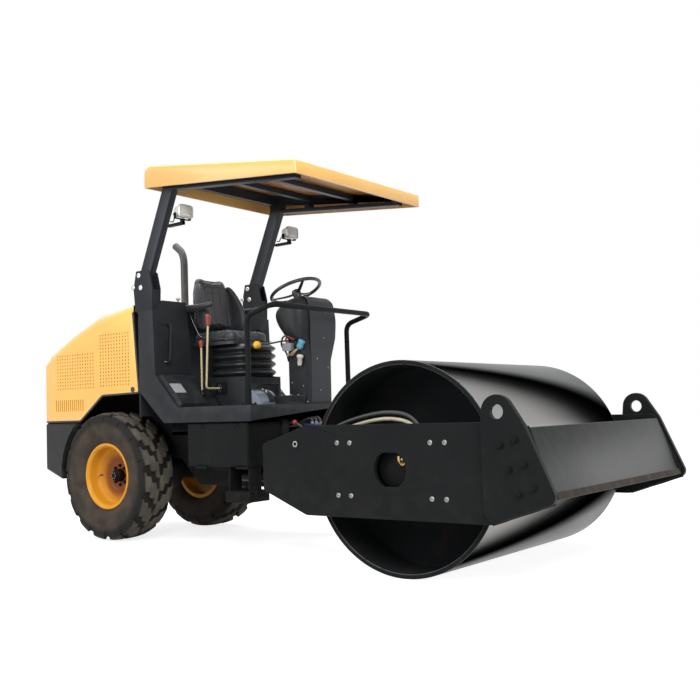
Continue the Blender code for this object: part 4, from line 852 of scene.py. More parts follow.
class Finishes:
    """Every material of the machine, made once."""

    def __init__(self) -> None:
        """Makes them from the frozen finishes."""
        self.black = Paint("black_satin", (0.0085, 0.0095, 0.01), 0.38, specular=0.05,
                           dust=Dust(amount=0.025)).make()
        self.beam_black = Paint("black_beam", (0.0085, 0.0095, 0.01), 0.36, specular=0.13,
                                dust=Dust((0.32, 0.32, 0.32), 0.14, 0.2)).make()
        self.frame_black = Paint("black_chassis", (0.0065, 0.0068, 0.007), 0.5, specular=0.05,
                                 dust=Dust(amount=0.04)).make()
        self.deck_black = Paint("black_deck", (0.017, 0.019, 0.022), 0.42, specular=0.11,
                                dust=Dust((0.3, 0.29, 0.27), 0.07, 1.9)).make()
        self.yellow = Paint("yellow_gloss", (0.82, 0.44, 0.072), 0.3, coat=0.9,
                            dust=Dust((0.55, 0.45, 0.3), 0.06, 1.3), rub=(0.45, 0.25, 0.08), rubs=0.06,
                            peel=0.05).make()
        # the rim's hollow colour is painted shade in the dish's recess round the hub
        self.rim_yellow = Paint("yellow_rim", (0.66, 0.29, 0.02), 0.38, dust=Dust((0.2, 0.12, 0.07), 0.12, 1.4),
                                rub=(0.1, 0.07, 0.05), rubs=0.35, specular=0.2,
                                hollow=(-1.51, 0.485, (0.19, 0.05, 0.007))).make()
        self.drum = Rolled().make()
        self.hide = Hide("seat_hide", (0.016, 0.018, 0.022)).make()
        self.bellows = Moulded("bellows_rubber", (0.0115, 0.0125, 0.0138), 0.34, 240.0, 0.2).make()
        self.hose = Moulded("hose_rubber", (0.016, 0.016, 0.017), 0.5, 700.0, 0.25).make()
        self.tan_hose = Moulded("hose_sleeve", (0.36, 0.33, 0.24), 0.55, 900.0, 0.3).make()
        self.plastic = Moulded("grip_plastic", (0.02, 0.021, 0.023), 0.38, 420.0, 0.12).make()
        self.knob_red = Moulded("knob_red", (0.24, 0.042, 0.018), 0.35, 300.0, 0.08).make()
        self.knob_pale = Moulded("knob_pale", (0.55, 0.53, 0.48), 0.35, 300.0, 0.08).make()
        self.knob_yellow = Moulded("knob_yellow", (0.85, 0.43, 0.02), 0.25, 300.0, 0.05).make()
        self.relay_grey = Moulded("relay_grey", (0.22, 0.23, 0.24), 0.5, 300.0, 0.12).make()
        self.blue = Paint("blue_block", (0.012, 0.035, 0.13), 0.42).make()
        self.beige = Paint("beige_lever", (0.5, 0.42, 0.26), 0.35, rubs=0.5, dust=Dust(amount=0.05)).make()
        self.zinc = Moulded("zinc_bolt", (0.21, 0.21, 0.205), 0.34, 600.0, 0.1, 0.9).make()
        self.bright = Moulded("bright_rod", (0.58, 0.58, 0.56), 0.14, 900.0, 0.03, 1.0).make()
        self.brass = Moulded("brass_fitting", (0.38, 0.26, 0.1), 0.3, 500.0, 0.08, 1.0).make()
        self.cast = Moulded("cast_iron_rough", (0.03, 0.031, 0.032), 0.6, 180.0, 0.5, 0.2).make()
        self.exhaust = Moulded("exhaust_steel", (0.075, 0.077, 0.08), 0.5, 120.0, 0.2, 0.35, 0.3).make()
        self.lamp_shell = Moulded("lamp_shell", (0.5, 0.5, 0.49), 0.32, 350.0, 0.08, 0.2).make()
        self.lens = Lens().make()
        self.wear_lip = Paint("scraper_lip", (0.02, 0.015, 0.012), 0.7, rub=(0.22, 0.13, 0.08), specular=0.15,
                              dust=Dust(amount=0.15), rubs=0.8).make()
        # roof_yellow is duller than the hood's yellow, partly the canopy's own tone and partly painted light for how
        # the roof is lit; its under colour is partly painted shade
        self.roof = Paint("roof_yellow", (0.72, 0.41, 0.115), 0.36, coat=0.15, dust=Dust((0.55, 0.45, 0.3), 0.06, 1.3),
                          rubs=0.03, peel=0.05, under=(0.42, 0.17, 0.035)).make()
        self.post_black = Paint("black_posts", (0.019, 0.022, 0.029), 0.36, specular=0.16).make()
        self.pod_black = Paint("pod_plastic", (0.016, 0.0175, 0.0195), 0.45, specular=0.2, rubs=0.0).make()
        self.sheet_grey = Paint("console_sheet", (0.024, 0.028, 0.034), 0.42, specular=0.16, rubs=0.1).make()
        self.pedal_grey = Paint("pedal_satin", (0.16, 0.19, 0.24), 0.3, metallic=0.3, specular=0.6).make()
        self.blank_plate = Paint("blank_plate", (0.3, 0.33, 0.34), 0.4, rubs=0.2).make()
        self.weight_black = Paint("black_weight", (0.022, 0.0225, 0.023), 0.55, specular=0.15, peel=0.35,
                                  dust=Dust(amount=0.1)).make()
        self.washer_pale = Moulded("washer_pale", (0.55, 0.56, 0.56), 0.3, 600.0, 0.08, 0.8).make()
        self.plug_blue = Moulded("plug_blue", (0.1, 0.34, 0.46), 0.4, 300.0, 0.1).make()
        self.wire_red = Moulded("wire_red", (0.2, 0.045, 0.03), 0.45, 300.0, 0.05).make()
        self.wire_tan = Moulded("wire_tan", (0.42, 0.33, 0.19), 0.5, 300.0, 0.05).make()
        self.cap_red = Moulded("cap_red", (0.42, 0.02, 0.02), 0.4, 300.0, 0.08).make()


def draft(shape: Shape) -> bpy.types.Object:
    """A throwaway object with outward faces, for a Boolean."""
    mesh = bpy.data.meshes.new("draft")
    mesh.from_pydata(shape.points.tolist(), [], [tuple(row) for f in shape.faces for row in f.tolist()])
    return turned_out(mesh, "draft")


def read_shape(mesh: bpy.types.Mesh) -> Shape:
    """A mesh's points and faces as a shape.

    Args:
        mesh: The mesh.

    Returns:
        The form.
    """
    points = np.empty(len(mesh.vertices) * 3, np.float32)
    mesh.vertices.foreach_get("co", points)
    corners = np.empty(len(mesh.loops), np.int32)
    mesh.loops.foreach_get("vertex_index", corners)
    starts = np.empty(len(mesh.polygons), np.int32)
    mesh.polygons.foreach_get("loop_start", starts)
    sizes = np.empty(len(mesh.polygons), np.int32)
    mesh.polygons.foreach_get("loop_total", sizes)
    faces = [corners[starts[sizes == k][:, None] + np.arange(k)] for k in np.unique(sizes)]
    return Shape(points.reshape(-1, 3).astype(float), faces)


def settled(piece: bpy.types.Object) -> Shape:
    """An object's mesh with its modifiers worked in; the object goes."""
    graph = bpy.context.evaluated_depsgraph_get()
    mesh = bpy.data.meshes.new_from_object(piece.evaluated_get(graph), depsgraph=graph)
    bpy.data.objects.remove(piece)
    return read_shape(mesh)


def carved(shape: Shape, tool: Shape) -> Shape:
    """The shape less the tool, by one exact Boolean.

    Args:
        shape: The form.
        tool: The form that is taken away.

    Returns:
        What is left.
    """
    body, cutter = draft(shape), draft(tool)
    step = body.modifiers.new("Boolean", "BOOLEAN")
    step.operation, step.solver, step.object = "DIFFERENCE", "EXACT", cutter
    result = settled(body)
    bpy.data.objects.remove(cutter)
    return result


def welded(node: str) -> Shape:
    """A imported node's mesh as a shape in the machine's frame, with its loose triangles joined."""
    return read_shape(joined(node, "welded")).moved(x=-float(SHIFT[0]))


# Drum and its frame


@dataclass
class Drum:
    """The steel drum with its two inner discs."""

    radius: float = 0.6
    half: float = 0.85
    wall: float = 0.026
    disc: tuple[float, float] = (0.525, 0.55)
    bore: float = 0.14
    steps: int = 224
    weld: tuple[float, float] = (0.006, 0.02)

    def build(self, f: Finishes) -> None:
        """The shell and its welds.

        Args:
            f: The machine's finishes.
        """
        r, i, h, (back, face), b = self.radius, self.radius - self.wall, self.half, self.disc, self.bore
        upper = [(r, h), (i, h), (i, face), (b, face), (b, back), (i, back)]
        profile = upper + [(x, -y) for x, y in reversed(upper)]
        radii = [0.004, 0.006, 0.003, 0.003, 0.002, 0.002]
        body = lathe(fillet(profile, radii + radii[::-1], 3), (0, 0, r), (0, 1, 0), self.steps, closed=True)
        make(body, "drum_shell", f.drum, "drum_unit", replaces=["drum"], angle=50)
        angle = np.linspace(0.0, TAU, 240)
        welds = []
        for side in Side:
            for reach, level in ((i - 0.002, face + 0.002), (i - 0.002, back - 0.002)):
                route = np.stack((reach * np.cos(angle), np.full_like(angle, side.value * level),
                                  r + reach * np.sin(angle)), 1)
                welds.append(bead(route, self.weld[0], ripple=self.weld[1]))
        make(total(welds), "drum_welds", f.frame_black, "drum_unit")


@dataclass
class DrumFrame:
    """Side plates with lifting lugs, the two beams, the drum's carriers and the hoses."""

    outer: float = 0.957
    thick: float = 0.03
    lug_y: tuple[float, float] = (0.953, 0.989)
    lug_centre: tuple[float, float] = (0.668, 0.901)
    lug_radius: float = 0.086
    lug_hole: float = 0.037
    axle_z: float = 0.6
    outline: tuple[Point, ...] = (
        (-0.916, 0.465), (-0.59, 0.33), (0.61, 0.334), (0.93, 0.452), (0.945, 0.49), (0.8, 0.839),
        (0.76, 0.849), (-0.587, 0.849), (-0.916, 0.741))
    button_x: tuple[float, ...] = (-0.35, -0.262, 0.262, 0.35)
    button_z: float = 0.147
    lug_bolts: tuple[Point, ...] = (
        (0.684, 0.734), (0.763, 0.761), (0.727, 0.613), (0.808, 0.641), (0.774, 0.495), (0.852, 0.529))
    plug: tuple[float, float] = (-0.659, 0.741)
    hose_radius: float = 0.011
    hose_y: float = -0.882

    def hole(self) -> np.ndarray:
        """The access hole: a circle whose height is clipped to two flats."""
        points = ring(0.103, 96)
        return np.stack((points[:, 0], np.clip(points[:, 1], -0.093, 0.093) + self.axle_z), 1)

    def plate(self) -> Shape:
        """The left side plate."""
        solid = slab(fillet(self.outline, 0.016, 4), self.outer - self.thick, self.outer, Plane.SIDE)
        return carved(solid, slab(self.hole(), 0.9, 1.0, Plane.SIDE))

    def lug(self) -> Shape:
        """The left front plate with its lifting eye.

        Returns:
            The plate, on the left.
        """
        a = np.radians(np.linspace(28.0, 178.0, 44))
        ear = np.stack((np.cos(a), np.sin(a)), 1) * self.lug_radius + self.lug_centre
        foot = fillet([(0.575, 0.829), (0.575, 0.4), (0.612, 0.337), (0.95, 0.452), (0.962, 0.49), (0.815, 0.832)],
                      [0.0, 0.02, 0.03, 0.02, 0.02, 0.0], 4)
        solid = slab(np.vstack((foot, ear)), *self.lug_y, Plane.SIDE)
        return carved(solid, slab(ring(self.lug_hole, 56) + self.lug_centre, 0.9, 1.1, Plane.SIDE))

    def button(self) -> Shape:
        """A domed socket screw over the origin."""
        a = np.linspace(0.0, 0.36 * math.pi, 6)
        dome = [(0.0155 * math.cos(t), 0.001 + 0.009 * math.sin(t)) for t in a]
        return lathe([(0.0155, -0.002), *dome, (0.006, 0.0085), (0.0055, 0.004), (0.001, 0.0038)], steps=24)

    def dress_side(self, f: Finishes, side: Side) -> None:
        """One side plate with what is on it.

        Args:
            f: The machine's finishes.
            side: The machine's side.
        """
        body, s, word = "drum_section", side.value, side.word
        make(self.plate().sided(side), f"plate_{word}", f.black, body, 0.0035,
             [f"side_plate_{word}"], 3)
        make(self.lug().sided(side), f"lug_plate_{word}", f.black, body, 0.0045, (), 3)
        out = (0.0, float(s), 0.0)
        spots = [(x, s * self.outer, self.axle_z + z) for x in self.button_x for z in (-self.button_z, self.button_z)]
        make(studs(self.button(), spots, out), f"plate_screws_{word}", f.zinc, body)
        spots = [(x, s * self.lug_y[1], z) for x, z in self.lug_bolts]
        make(studs(hexagon_bolt(0.03), spots, out), f"lug_bolts_{word}", f.frame_black, body)
        x, z = self.plug
        collar = lathe(fillet([(0.03, -0.002), (0.03, 0.004), (0.022, 0.004), (0.022, -0.001)], 0.001, 2),
                       (x, s * self.outer, z), out, 40, closed=True)
        make(collar, f"plate_collar_{word}", f.black, body)
        core = lathe([(0.02, -0.002), (0.02, 0.002), (0.011, 0.0025), (0.01, 0.0), (0.002, 0.0)],
                     (x, s * self.outer, z), out, 6)
        make(core, f"plate_plug_{word}", f.zinc, body)
        seam = [(0.578, 0.826), (0.5735, 0.8), (0.5735, 0.404), (0.611, 0.336), (0.946, 0.4505)]
        route = [(x, s * (self.outer + 0.001), z) for x, z in seam]
        make(bead(route, 0.005), f"lug_weld_{word}", f.frame_black, body)
        skin(f"drum_carrier_{word}", f.frame_black, 0.003)

    def hose(self, lift: float) -> np.ndarray:
        """A hose's centreline from the rear beam over the plate to the motor's port.

        Args:
            lift: How far it lies above the first hose.

        Returns:
            The points of the centre line.
        """
        y, port = self.hose_y, self.axle_z + 0.036 - lift
        start = np.array([-0.7847, -0.885, 0.64 + lift])
        route = [start, start + (0.02, 0.0, 0.0), start + (0.05, 0.0, 0.003), (-0.6, -0.889, 0.69 + lift),
                 (-0.42, y, 0.795 + lift), (-0.22, y, 0.855 + lift), (-0.03, y, 0.875 + lift),
                 (0.115, y, 0.835 + lift), (0.182 + lift * 1.2, y, 0.71), (0.17 + lift, y, port),
                 (0.15, y, port), (0.1353, y, port)]
        return smooth(route, 10)

    def dress_hoses(self, f: Finishes) -> None:
        """The two hoses with the crimped ferrules at their ends.

        Args:
            f: The machine's finishes.
        """
        crimp = fillet([(0.0155, 0.0), (0.0155, 0.02), (0.0135, 0.022), (0.0135, 0.03), (0.0155, 0.032),
                        (0.0155, 0.048), (0.0112, 0.05)], 0.001, 2, closed=False)
        for number, (lift, finish) in enumerate(((0.0, f.tan_hose), (0.036, f.hose)), 1):
            path = self.hose(lift)
            make(sweep(path, ring(self.hose_radius, 20)), f"hose_{number}", finish, "drum_section",
                 replaces=[f"drum_hose_{number}"])
            ends = lathe(crimp, path[0] - (0.0005, 0, 0), (1, 0, 0), 28) + lathe(crimp, path[-1], (1, 0, 0), 28)
            make(ends, f"hose_ferrules_{number}", f.brass if number == 1 else f.zinc, "drum_section")

    def dress_beams(self, f: Finishes) -> None:
        """The front and rear beams, the wear strip and the welds.

        Args:
            f: The machine's finishes.
        """
        skin("front_crossbeam", f.beam_black, 0.006, 3)
        skin("rear_crossbeam", f.frame_black, 0.004)
        down, ahead = np.array([0.34363, -0.9391]), np.array([0.9391, 0.34363])
        foot = np.array([0.928, 0.505])
        corners = [foot + down * drop + ahead * reach for drop, reach in (
            (0.004, 0.0005), (0.034, 0.0005), (0.034, -0.0165), (0.04, -0.0165), (0.04, 0.0065), (0.004, 0.0065))]
        union = hexagon_bolt(0.03).by(facing((0.0, -1.0, 0.0), (0.046, -0.897, 0.64)))
        elbow = tube([(0.046, -0.905, 0.64), (0.046, -0.92, 0.64), (0.046, -0.93, 0.652), (0.046, -0.93, 0.674)],
                     0.0095, up=(1.0, 0.0, 0.0))
        make(union + elbow, "motor_union", f.brass, "drum_section")
        make(slab(corners, -0.915, 0.915, Plane.SIDE), "wear_strip", f.wear_lip, "drum_section", 0.0015)
        welds = total(bead([(x, s.value * 0.9255, z) for x, z in ((0.806, 0.826), (0.9225, 0.508))], 0.006)
                      for s in Side)
        make(welds, "beam_welds", f.black, "drum_section")

    def build(self, f: Finishes) -> None:
        """Everything that steers with the drum.

        Args:
            f: The machine's finishes.
        """
        for side in Side:
            self.dress_side(f, side)
        self.dress_hoses(f)
        self.dress_beams(f)


# Wheels


@dataclass
class Wheels:
    """The rear tyres, rims and hubs."""

    x: float = -2.82
    track: float = 0.98
    radius: float = 0.485
    lug: float = 0.024
    pitches: int = 15
    around: int = 540
    rim_half: float = 0.118
    dish: float = -0.022
    nuts: int = 8

    def casing(self) -> tuple[np.ndarray, np.ndarray]:
        """The tyre's section without its lugs.

        Returns:
            (y, radius) points from bead to bead and round behind, and how much of the lug's height each takes.
        """
        inside = self.rim_half - 0.0103
        base = self.radius - self.lug
        wall = np.array([(inside, 0.2285), (inside, 0.245), (inside + 0.0003, 0.252), (0.1165, 0.262),
                         (0.13, 0.278), (0.14, 0.298), (0.1485, 0.32), (0.153, 0.345), (0.1555, 0.37),
                         (0.155, 0.395), (0.152, 0.415), (0.147, 0.432), (0.14, 0.444)])
        near = smooth(np.c_[wall, np.zeros(len(wall))], 2)[:, :2]
        y = np.linspace(0.132, -0.132, 52)
        crown = np.stack((y, base - 0.5 * y * y - 0.9 * np.clip(np.abs(y) - 0.1, 0, 1) ** 1.5), 1)
        back = np.stack((np.linspace(-inside, inside, 6)[1:-1], np.full(4, 0.2285)), 1)
        section = np.vstack((near, crown, near[::-1] * (-1.0, 1.0), back))
        share = np.clip((section[:, 1] - 0.392) / 0.03, 0.0, 1.0)
        return section, share * share * (3 - 2 * share)

    def tyre(self) -> Shape:
        """The tyre about its own axis.

        The casing's section is turned about the axis, and each point is pushed out along the section's normal by the
        lug's height. Across the tread a bar's middle lies at c = 0.25 (n + s) pitches from the centre line's, where n
        counts the steps outwards and s rises smoothly within one, and the other half of the tread is half a pitch
        behind. The height is full where the distance from c is under a quarter of a pitch, with steep sides.

        Returns:
            The tyre, its axis along Y through the origin.
        """
        section, share = self.casing()
        y, r = section[:, 0], section[:, 1]
        run = np.roll(section, -1, 0) - np.roll(section, 1, 0)
        normal = np.stack((run[:, 1], -run[:, 0]), 1)
        normal /= np.linalg.norm(normal, axis=1, keepdims=True) + 1e-9
        normal *= np.where((normal[:, 1] * 0.3 + normal[:, 0] * np.sign(y)) < 0, -1.0, 1.0)[:, None]
        tread = np.abs(y) < 0.1325
        normal[tread & (r > 0.4)] = (0.0, 1.0)
        p = np.arange(self.around) / self.around * self.pitches
        out = np.clip(np.abs(y) / 0.047, 0.0, 2.999)
        step = np.floor(out)
        rise = np.clip((out - step - 0.62) / 0.34, 0.0, 1.0)
        centre = 0.25 * (step + rise * rise * (3 - 2 * rise)) + np.where(y > 0, 0.5, 0.0)
        gap = (p[:, None] - centre[None] + 0.5) % 1.0 - 0.5
        wide = 0.3 + 0.03 * np.clip((np.abs(y) - 0.09) / 0.04, 0, 1)
        face = np.clip((wide[None] - np.abs(gap)) / 0.022, 0.0, 1.0)
        face = face * face * (3 - 2 * face)
        groove = np.clip((np.abs(y) - 0.004) / 0.006, 0.0, 1.0)
        worn = 0.0005 * np.sin(p * 19.0)[:, None] * np.sin(y * 160.0)[None]
        height = face * (self.lug * share * (0.25 + 0.75 * groove))[None]
        side_lug = np.where(np.abs(y) > TREAD_EDGE, 0.42, 1.0)
        height = height * side_lug[None] + worn * (share * face)
        ribs = 0.0016 * (np.exp(-((r - 0.3) / 0.003) ** 2) + np.exp(-((r - 0.312) / 0.003) ** 2)
                         + 1.4 * np.exp(-((r - 0.383) / 0.004) ** 2)) * (np.abs(y) > 0.12)
        height = height + ribs[None]
        a = p / self.pitches * TAU
        radius = r[None] + height * normal[None, :, 1]
        grid = np.stack((radius * np.sin(a)[:, None], y[None] + height * normal[None, :, 0],
                         radius * np.cos(a)[:, None]), -1)
        return net(grid, (True, True))

    def rim(self) -> Shape:
        """The rim about its own axis, its dish towards +Y: flanges, bead seats, a drop and a conical disc.

        Returns:
            The rim, its axis along Y through the origin.
        """
        h, seat, d = self.rim_half, 0.2277, self.dish
        profile = [(0.244, h), (0.25, h - 0.003), (0.25, h - 0.01), (seat, h - 0.01), (seat, -h + 0.01),
                   (0.25, -h + 0.01), (0.25, -h), (0.2177, -h), (0.2177, d - 0.018), (0.12, d - 0.014),
                   (0.05, d - 0.014), (0.05, d), (0.108, d), (0.124, d + 0.01), (0.176, d + 0.012),
                   (0.196, d + 0.03), (0.212, d + 0.044), (0.2177, d + 0.058), (0.2177, h - 0.02),
                   (0.228, h - 0.006), (0.236, h)]
        radii = [0.003, 0.003, 0.001, 0.001, 0.001, 0.001, 0.003, 0.003, 0.004, 0.004, 0.001, 0.001, 0.008, 0.008,
                 0.01, 0.01, 0.006, 0.006, 0.008, 0.006, 0.004]
        return lathe(fillet(profile, radii, 3), axis=(0, 1, 0), steps=120, closed=True)

    def hub(self) -> Shape:
        """The hub about its own axis: planetary cover, flange and shaft end.

        Returns:
            The hub, its axis along Y through the origin.
        """
        d = self.dish
        inner = 0.3518 - self.track / 2
        profile = [(0.01, d + 0.067), (0.03, d + 0.067), (0.034, d + 0.062), (0.036, d + 0.051), (0.045, d + 0.044),
                   (0.0485, d + 0.036), (0.049, d - 0.0143), (0.097, d - 0.0143), (0.097, d - 0.035),
                   (0.062, d - 0.045), (0.062, inner), (0.01, inner)]
        return lathe(fillet(profile, 0.003, 3, closed=False), axis=(0, 1, 0), steps=96)

    def nut_ring(self) -> Shape:
        """Wheel nuts on studs round the disc, about the wheel's own axis."""
        a = np.arange(self.nuts) * TAU / self.nuts
        places = [(0.074 * math.cos(t), self.dish, 0.074 * math.sin(t)) for t in a]
        stud = lathe([(0.0045, 0.0), (0.0045, 0.02), (0.003, 0.022)], steps=16)
        return studs(hexagon_bolt(0.021) + stud, places, (0, 1, 0))

    def build(self, f: Finishes) -> None:
        """Both wheels.

        Args:
            f: The machine's finishes.
        """
        shapes = {"tyre": self.tyre(), "rim": self.rim(), "hub": self.hub(), "nuts": self.nut_ring()}
        valve = tube([(0.185, self.dish + 0.02, 0.0), (0.188, self.dish + 0.05, 0.0), (0.182, self.dish + 0.066, 0.0)],
                     0.005, up=(0, 0, 1))
        bolts = studs(socket_bolt(0.01), [(0.022 * math.cos(t), self.dish + 0.067, 0.022 * math.sin(t))
                                           for t in np.arange(6) * TAU / 6], (0, 1, 0))
        for side in Side:
            word = side.word
            place = (self.x, side.value * self.track / 2, self.radius)
            turn = Matrix.Translation(place) @ Matrix.Rotation(0.0 if side is Side.LEFT else math.pi, 4, "Z")
            body = f"rear_wheel_{word}"
            rubber = Tread(f"tyre_tread_{word}", place).make()
            for part, finish, slot in (("tyre", rubber, "tyre_rubber"), ("rim", f.rim_yellow, "yellow_paint"),
                                       ("hub", f.frame_black, "black_paint")):
                make(shapes[part].by(turn), f"wheel_{part}_{word}", finish, body, replaces=[f"{part}_{word}"],
                     angle=60 if part == "tyre" else 40)
            make(shapes["nuts"].by(turn), f"wheel_nuts_{word}", f.frame_black, body)
            make((valve + bolts).by(turn), f"wheel_small_parts_{word}", f.zinc, body)


def rounded(shape: Shape, width: float, segments: int = 3, angle: float = 28.0) -> Shape:
    """The shape with its edges sharper than the angle rounded.

    Args:
        shape: The form.
        width: The rounding's width.
        segments: The rounding's segments.
        angle: Edges sharper than this are rounded.

    Returns:
        The rounded form.
    """
    piece = draft(shape)
    step = piece.modifiers.new("Bevel", "BEVEL")
    step.width, step.segments, step.limit_method = width, segments, "ANGLE"
    step.angle_limit = math.radians(angle)
    return settled(piece)


def copies(unit: Shape, places: np.ndarray) -> Shape:
    """The unit at every offset: each point is unit point + offset."""
    shift = (np.arange(len(places)) * len(unit.points))[:, None, None]
    points = (unit.points[None] + np.asarray(places, float)[:, None]).reshape(-1, 3)
    return Shape(points, [(f[None] + shift).reshape(-1, f.shape[1]) for f in unit.faces])


def grid_of(first: np.ndarray, second: np.ndarray) -> np.ndarray:
    """Every pair of the two rows of numbers."""
    a, b = np.meshgrid(first, second, indexing="ij")
    return np.stack((a.ravel(), b.ravel()), 1)


def hollow(path: np.ndarray, radius: float, wall: float, back: int, up: Point = (0.0, 1.0, 0.0)) -> Shape:
    """An open pipe: the outside up to the tip, its rim, and the bore back down for some points of the path."""
    grids = [sweep(path, ring(r, 32), up).points.reshape(len(path), 32, 3) for r in (radius, radius - wall)]
    return net(np.concatenate((grids[0], grids[1][::-1][:back])), (False, True), caps=True)


def normals(shape: Shape) -> np.ndarray:
    """Each point's direction: the sum of the crossed diagonals of the quads or triangles round it.

    Args:
        shape: The form.

    Returns:
        One unit direction for each point.
    """
    total_of = np.zeros_like(shape.points)
    for faces in shape.faces:
        p = shape.points[faces]
        turn = np.cross(p[:, 2] - p[:, 0], p[:, -1] - p[:, 1])
        for corner in faces.T:
            np.add.at(total_of, corner, turn)
    return total_of / (np.linalg.norm(total_of, axis=1, keepdims=True) + 1e-12)


def frame_distance(u: np.ndarray, v: np.ndarray, half: tuple[float, float], radius: float) -> np.ndarray:
    """How far points lie from the outline of a rectangle about 0 whose corners are rounded."""
    x, y = np.abs(u) - half[0] + radius, np.abs(v) - half[1] + radius
    outside = np.hypot(np.maximum(x, 0), np.maximum(y, 0))
    return np.abs(outside + np.minimum(np.maximum(x, y), 0) - radius)


def dent(distance: np.ndarray, depth: float, width: float) -> np.ndarray:
    """A groove's depth, depth exp(-(distance / width)^2)."""
    return depth * np.exp(-(distance / width) ** 2)


@dataclass
class Stuffing:
    """How a pad is blown up: its start shape is remeshed, inflated as cloth and kept within a reach of its start."""

    voxel: float = 0.006
    pressure: float = 4.0
    reach: float = 0.022
    frames: int = 20

    def fill(self, start: Shape) -> Shape:
        """Args:
            start: The form that is blown up.

        Returns:
            The blown-up form, with the start's points in their order.
        """
        piece = draft(start)
        step = piece.modifiers.new("Remesh", "REMESH")
        step.mode, step.voxel_size = "VOXEL", self.voxel
        calm = settled(piece)
        piece = draft(calm)
        cloth = piece.modifiers.new("Cloth", "CLOTH")
        cloth.settings.use_pressure = True
        cloth.settings.uniform_pressure_force = self.pressure
        cloth.settings.effector_weights.gravity = 0.0
        cloth.point_cache.frame_start, cloth.point_cache.frame_end = 1, self.frames
        for number in range(1, self.frames + 1):
            bpy.context.scene.frame_set(number)
        blown = settled(piece)
        bpy.context.scene.frame_set(1)
        move = blown.points - calm.points
        size = np.linalg.norm(move, axis=1, keepdims=True) + 1e-9
        return Shape(calm.points + move * np.minimum(1.0, self.reach / size), calm.faces)


def pad(shape: Shape, name: str, material: bpy.types.Material, replaces: Sequence[str],
        levels: int = 1) -> bpy.types.Object:
    """A stuffed piece of the seat, made finer by subdivisions.

    Args:
        shape: Its form.
        name: The piece's name.
        material: Its material.
        replaces: The nodes that it stands for.
        levels: How often it is subdivided.

    Returns:
        The object.
    """
    piece = make(shape, name, material, replaces=replaces, angle=180)
    if levels:
        step = piece.modifiers.new("Subdivision", "SUBSURF")
        step.levels = step.render_levels = levels
    return piece


# Hood


@dataclass
class Hood:
    """The one-piece engine hood with its perforated sides, its rubber edge and the exhaust."""

    half_y: float = 0.63
    sheet: float = 0.015
    hole: tuple[float, float] = (0.0062, 1.25)
    front_block: tuple[Point, Point] = ((-2.84, -2.515, 11), (1.172, 1.555, 16))
    rear_block: tuple[Point, Point] = ((-3.372, -2.93, 15), (1.165, 1.425, 11))
    back_block: tuple[Point, Point] = ((-0.43, 0.43, 30), (1.02, 1.38, 13))
    edge: tuple[Point, ...] = (
        (-2.461, 1.7), (-2.4075, 1.1065), (-2.826, 1.0985), (-3.0955, 0.9085), (-3.528, 0.9085))
    stack: tuple[Point, ...] = ((-2.72, 0.16, 1.7), (-2.72, 0.16, 2.26), (-2.82, 0.16, 2.34))
    stack_radius: float = 0.03

    def holes(self) -> Shape:
        """The cutters of both sides and of the back, each an oval bar: ring(width, tall) at each crossing of rows.

        Returns:
            The form, in the machine's frame.
        """
        width, tall = self.hole
        rows = [np.linspace(*span) for block in (self.front_block, self.rear_block) for span in block]
        spots = np.vstack((grid_of(rows[0], rows[1]), grid_of(rows[2], rows[3])))
        bars = []
        for side in Side:
            unit = slab(ring(width, 8, tall), side.value * 0.6, side.value * 0.645, Plane.SIDE)
            bars.append(copies(unit, np.insert(spots, 1, 0.0, axis=1)))
        back = slab(ring(width, 8, tall), -3.56, -3.5, Plane.END)
        spots = grid_of(*(np.linspace(*span) for span in self.back_block))
        bars.append(copies(back, np.insert(spots, 0, 0.0, axis=1)))
        return total(bars)

    def shell(self) -> Shape:
        """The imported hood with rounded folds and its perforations."""
        return carved(rounded(welded("hood"), 0.006, 3, 24.0), self.holes())

    def rubber(self) -> Shape:
        """The rubber strip round the lower edge and up the front edge of both sides.

        Returns:
            The form, in the machine's frame.
        """
        lines = []
        for side in Side:
            y = side.value * (self.half_y - self.sheet / 2)
            route = fillet([(x, y, z) for x, z in self.edge], 0.02, 4, closed=False)
            lines.append(sweep(route, ring(0.0085, 12, 1.0, 3.0), (0.0, 1.0, 0.0)))
        return total(lines)

    def exhaust(self) -> Shape:
        """The pipe with its bent, open end."""
        route = fillet(self.stack, [0.0, 0.1, 0.0], 12, closed=False)
        route = np.vstack((np.linspace(route[0], route[1], 10)[:-1], route[1:]))
        return hollow(route, self.stack_radius, 0.003, 9)

    def collar(self) -> Shape:
        """The flange on the hood with its clamp ring."""
        foot = (self.stack[0][0], self.stack[0][1], 1.728)
        profile = [(0.0305, 0.0), (0.062, -0.006), (0.062, 0.01), (0.0375, 0.014), (0.036, 0.052), (0.0305, 0.054)]
        return lathe(fillet(profile, 0.002, 2), foot, (0.0, 0.0, 1.0), 48, closed=True)

    def latches(self) -> Shape:
        """A low round lock on each side near the front."""
        profile = [(0.02, -0.001), (0.02, 0.004), (0.017, 0.006), (0.013, 0.006), (0.012, 0.003), (0.004, 0.003)]
        return total(lathe(profile, (-2.47, s.value * self.half_y, 1.13), (0.0, s.value, 0.0), 32) for s in Side)

    def build(self, f: Finishes) -> None:
        """The hood and what opens with it.

        Args:
            f: The machine's finishes.
        """
        body = "hood_unit"
        make(self.shell(), "hood_shell", f.yellow, body, replaces=["hood"], angle=32)
        make(self.rubber(), "hood_edge_rubber", f.hose, body)
        make(self.exhaust(), "exhaust_pipe", f.exhaust, body, replaces=["exhaust_stack"], angle=50)
        make(self.collar(), "exhaust_flange", f.exhaust, body)
        make(self.latches(), "hood_locks", f.plastic, body)
        board = slab([(-2.4655, 1.756), (-2.4625, 1.7565), (-2.4045, 1.13), (-2.4075, 1.1295)], -0.6145, 0.6145,
                     Plane.SIDE)
        make(board, "hood_front_board", f.black, body, 0.0008)


# Canopy, roll-over frame and lamps


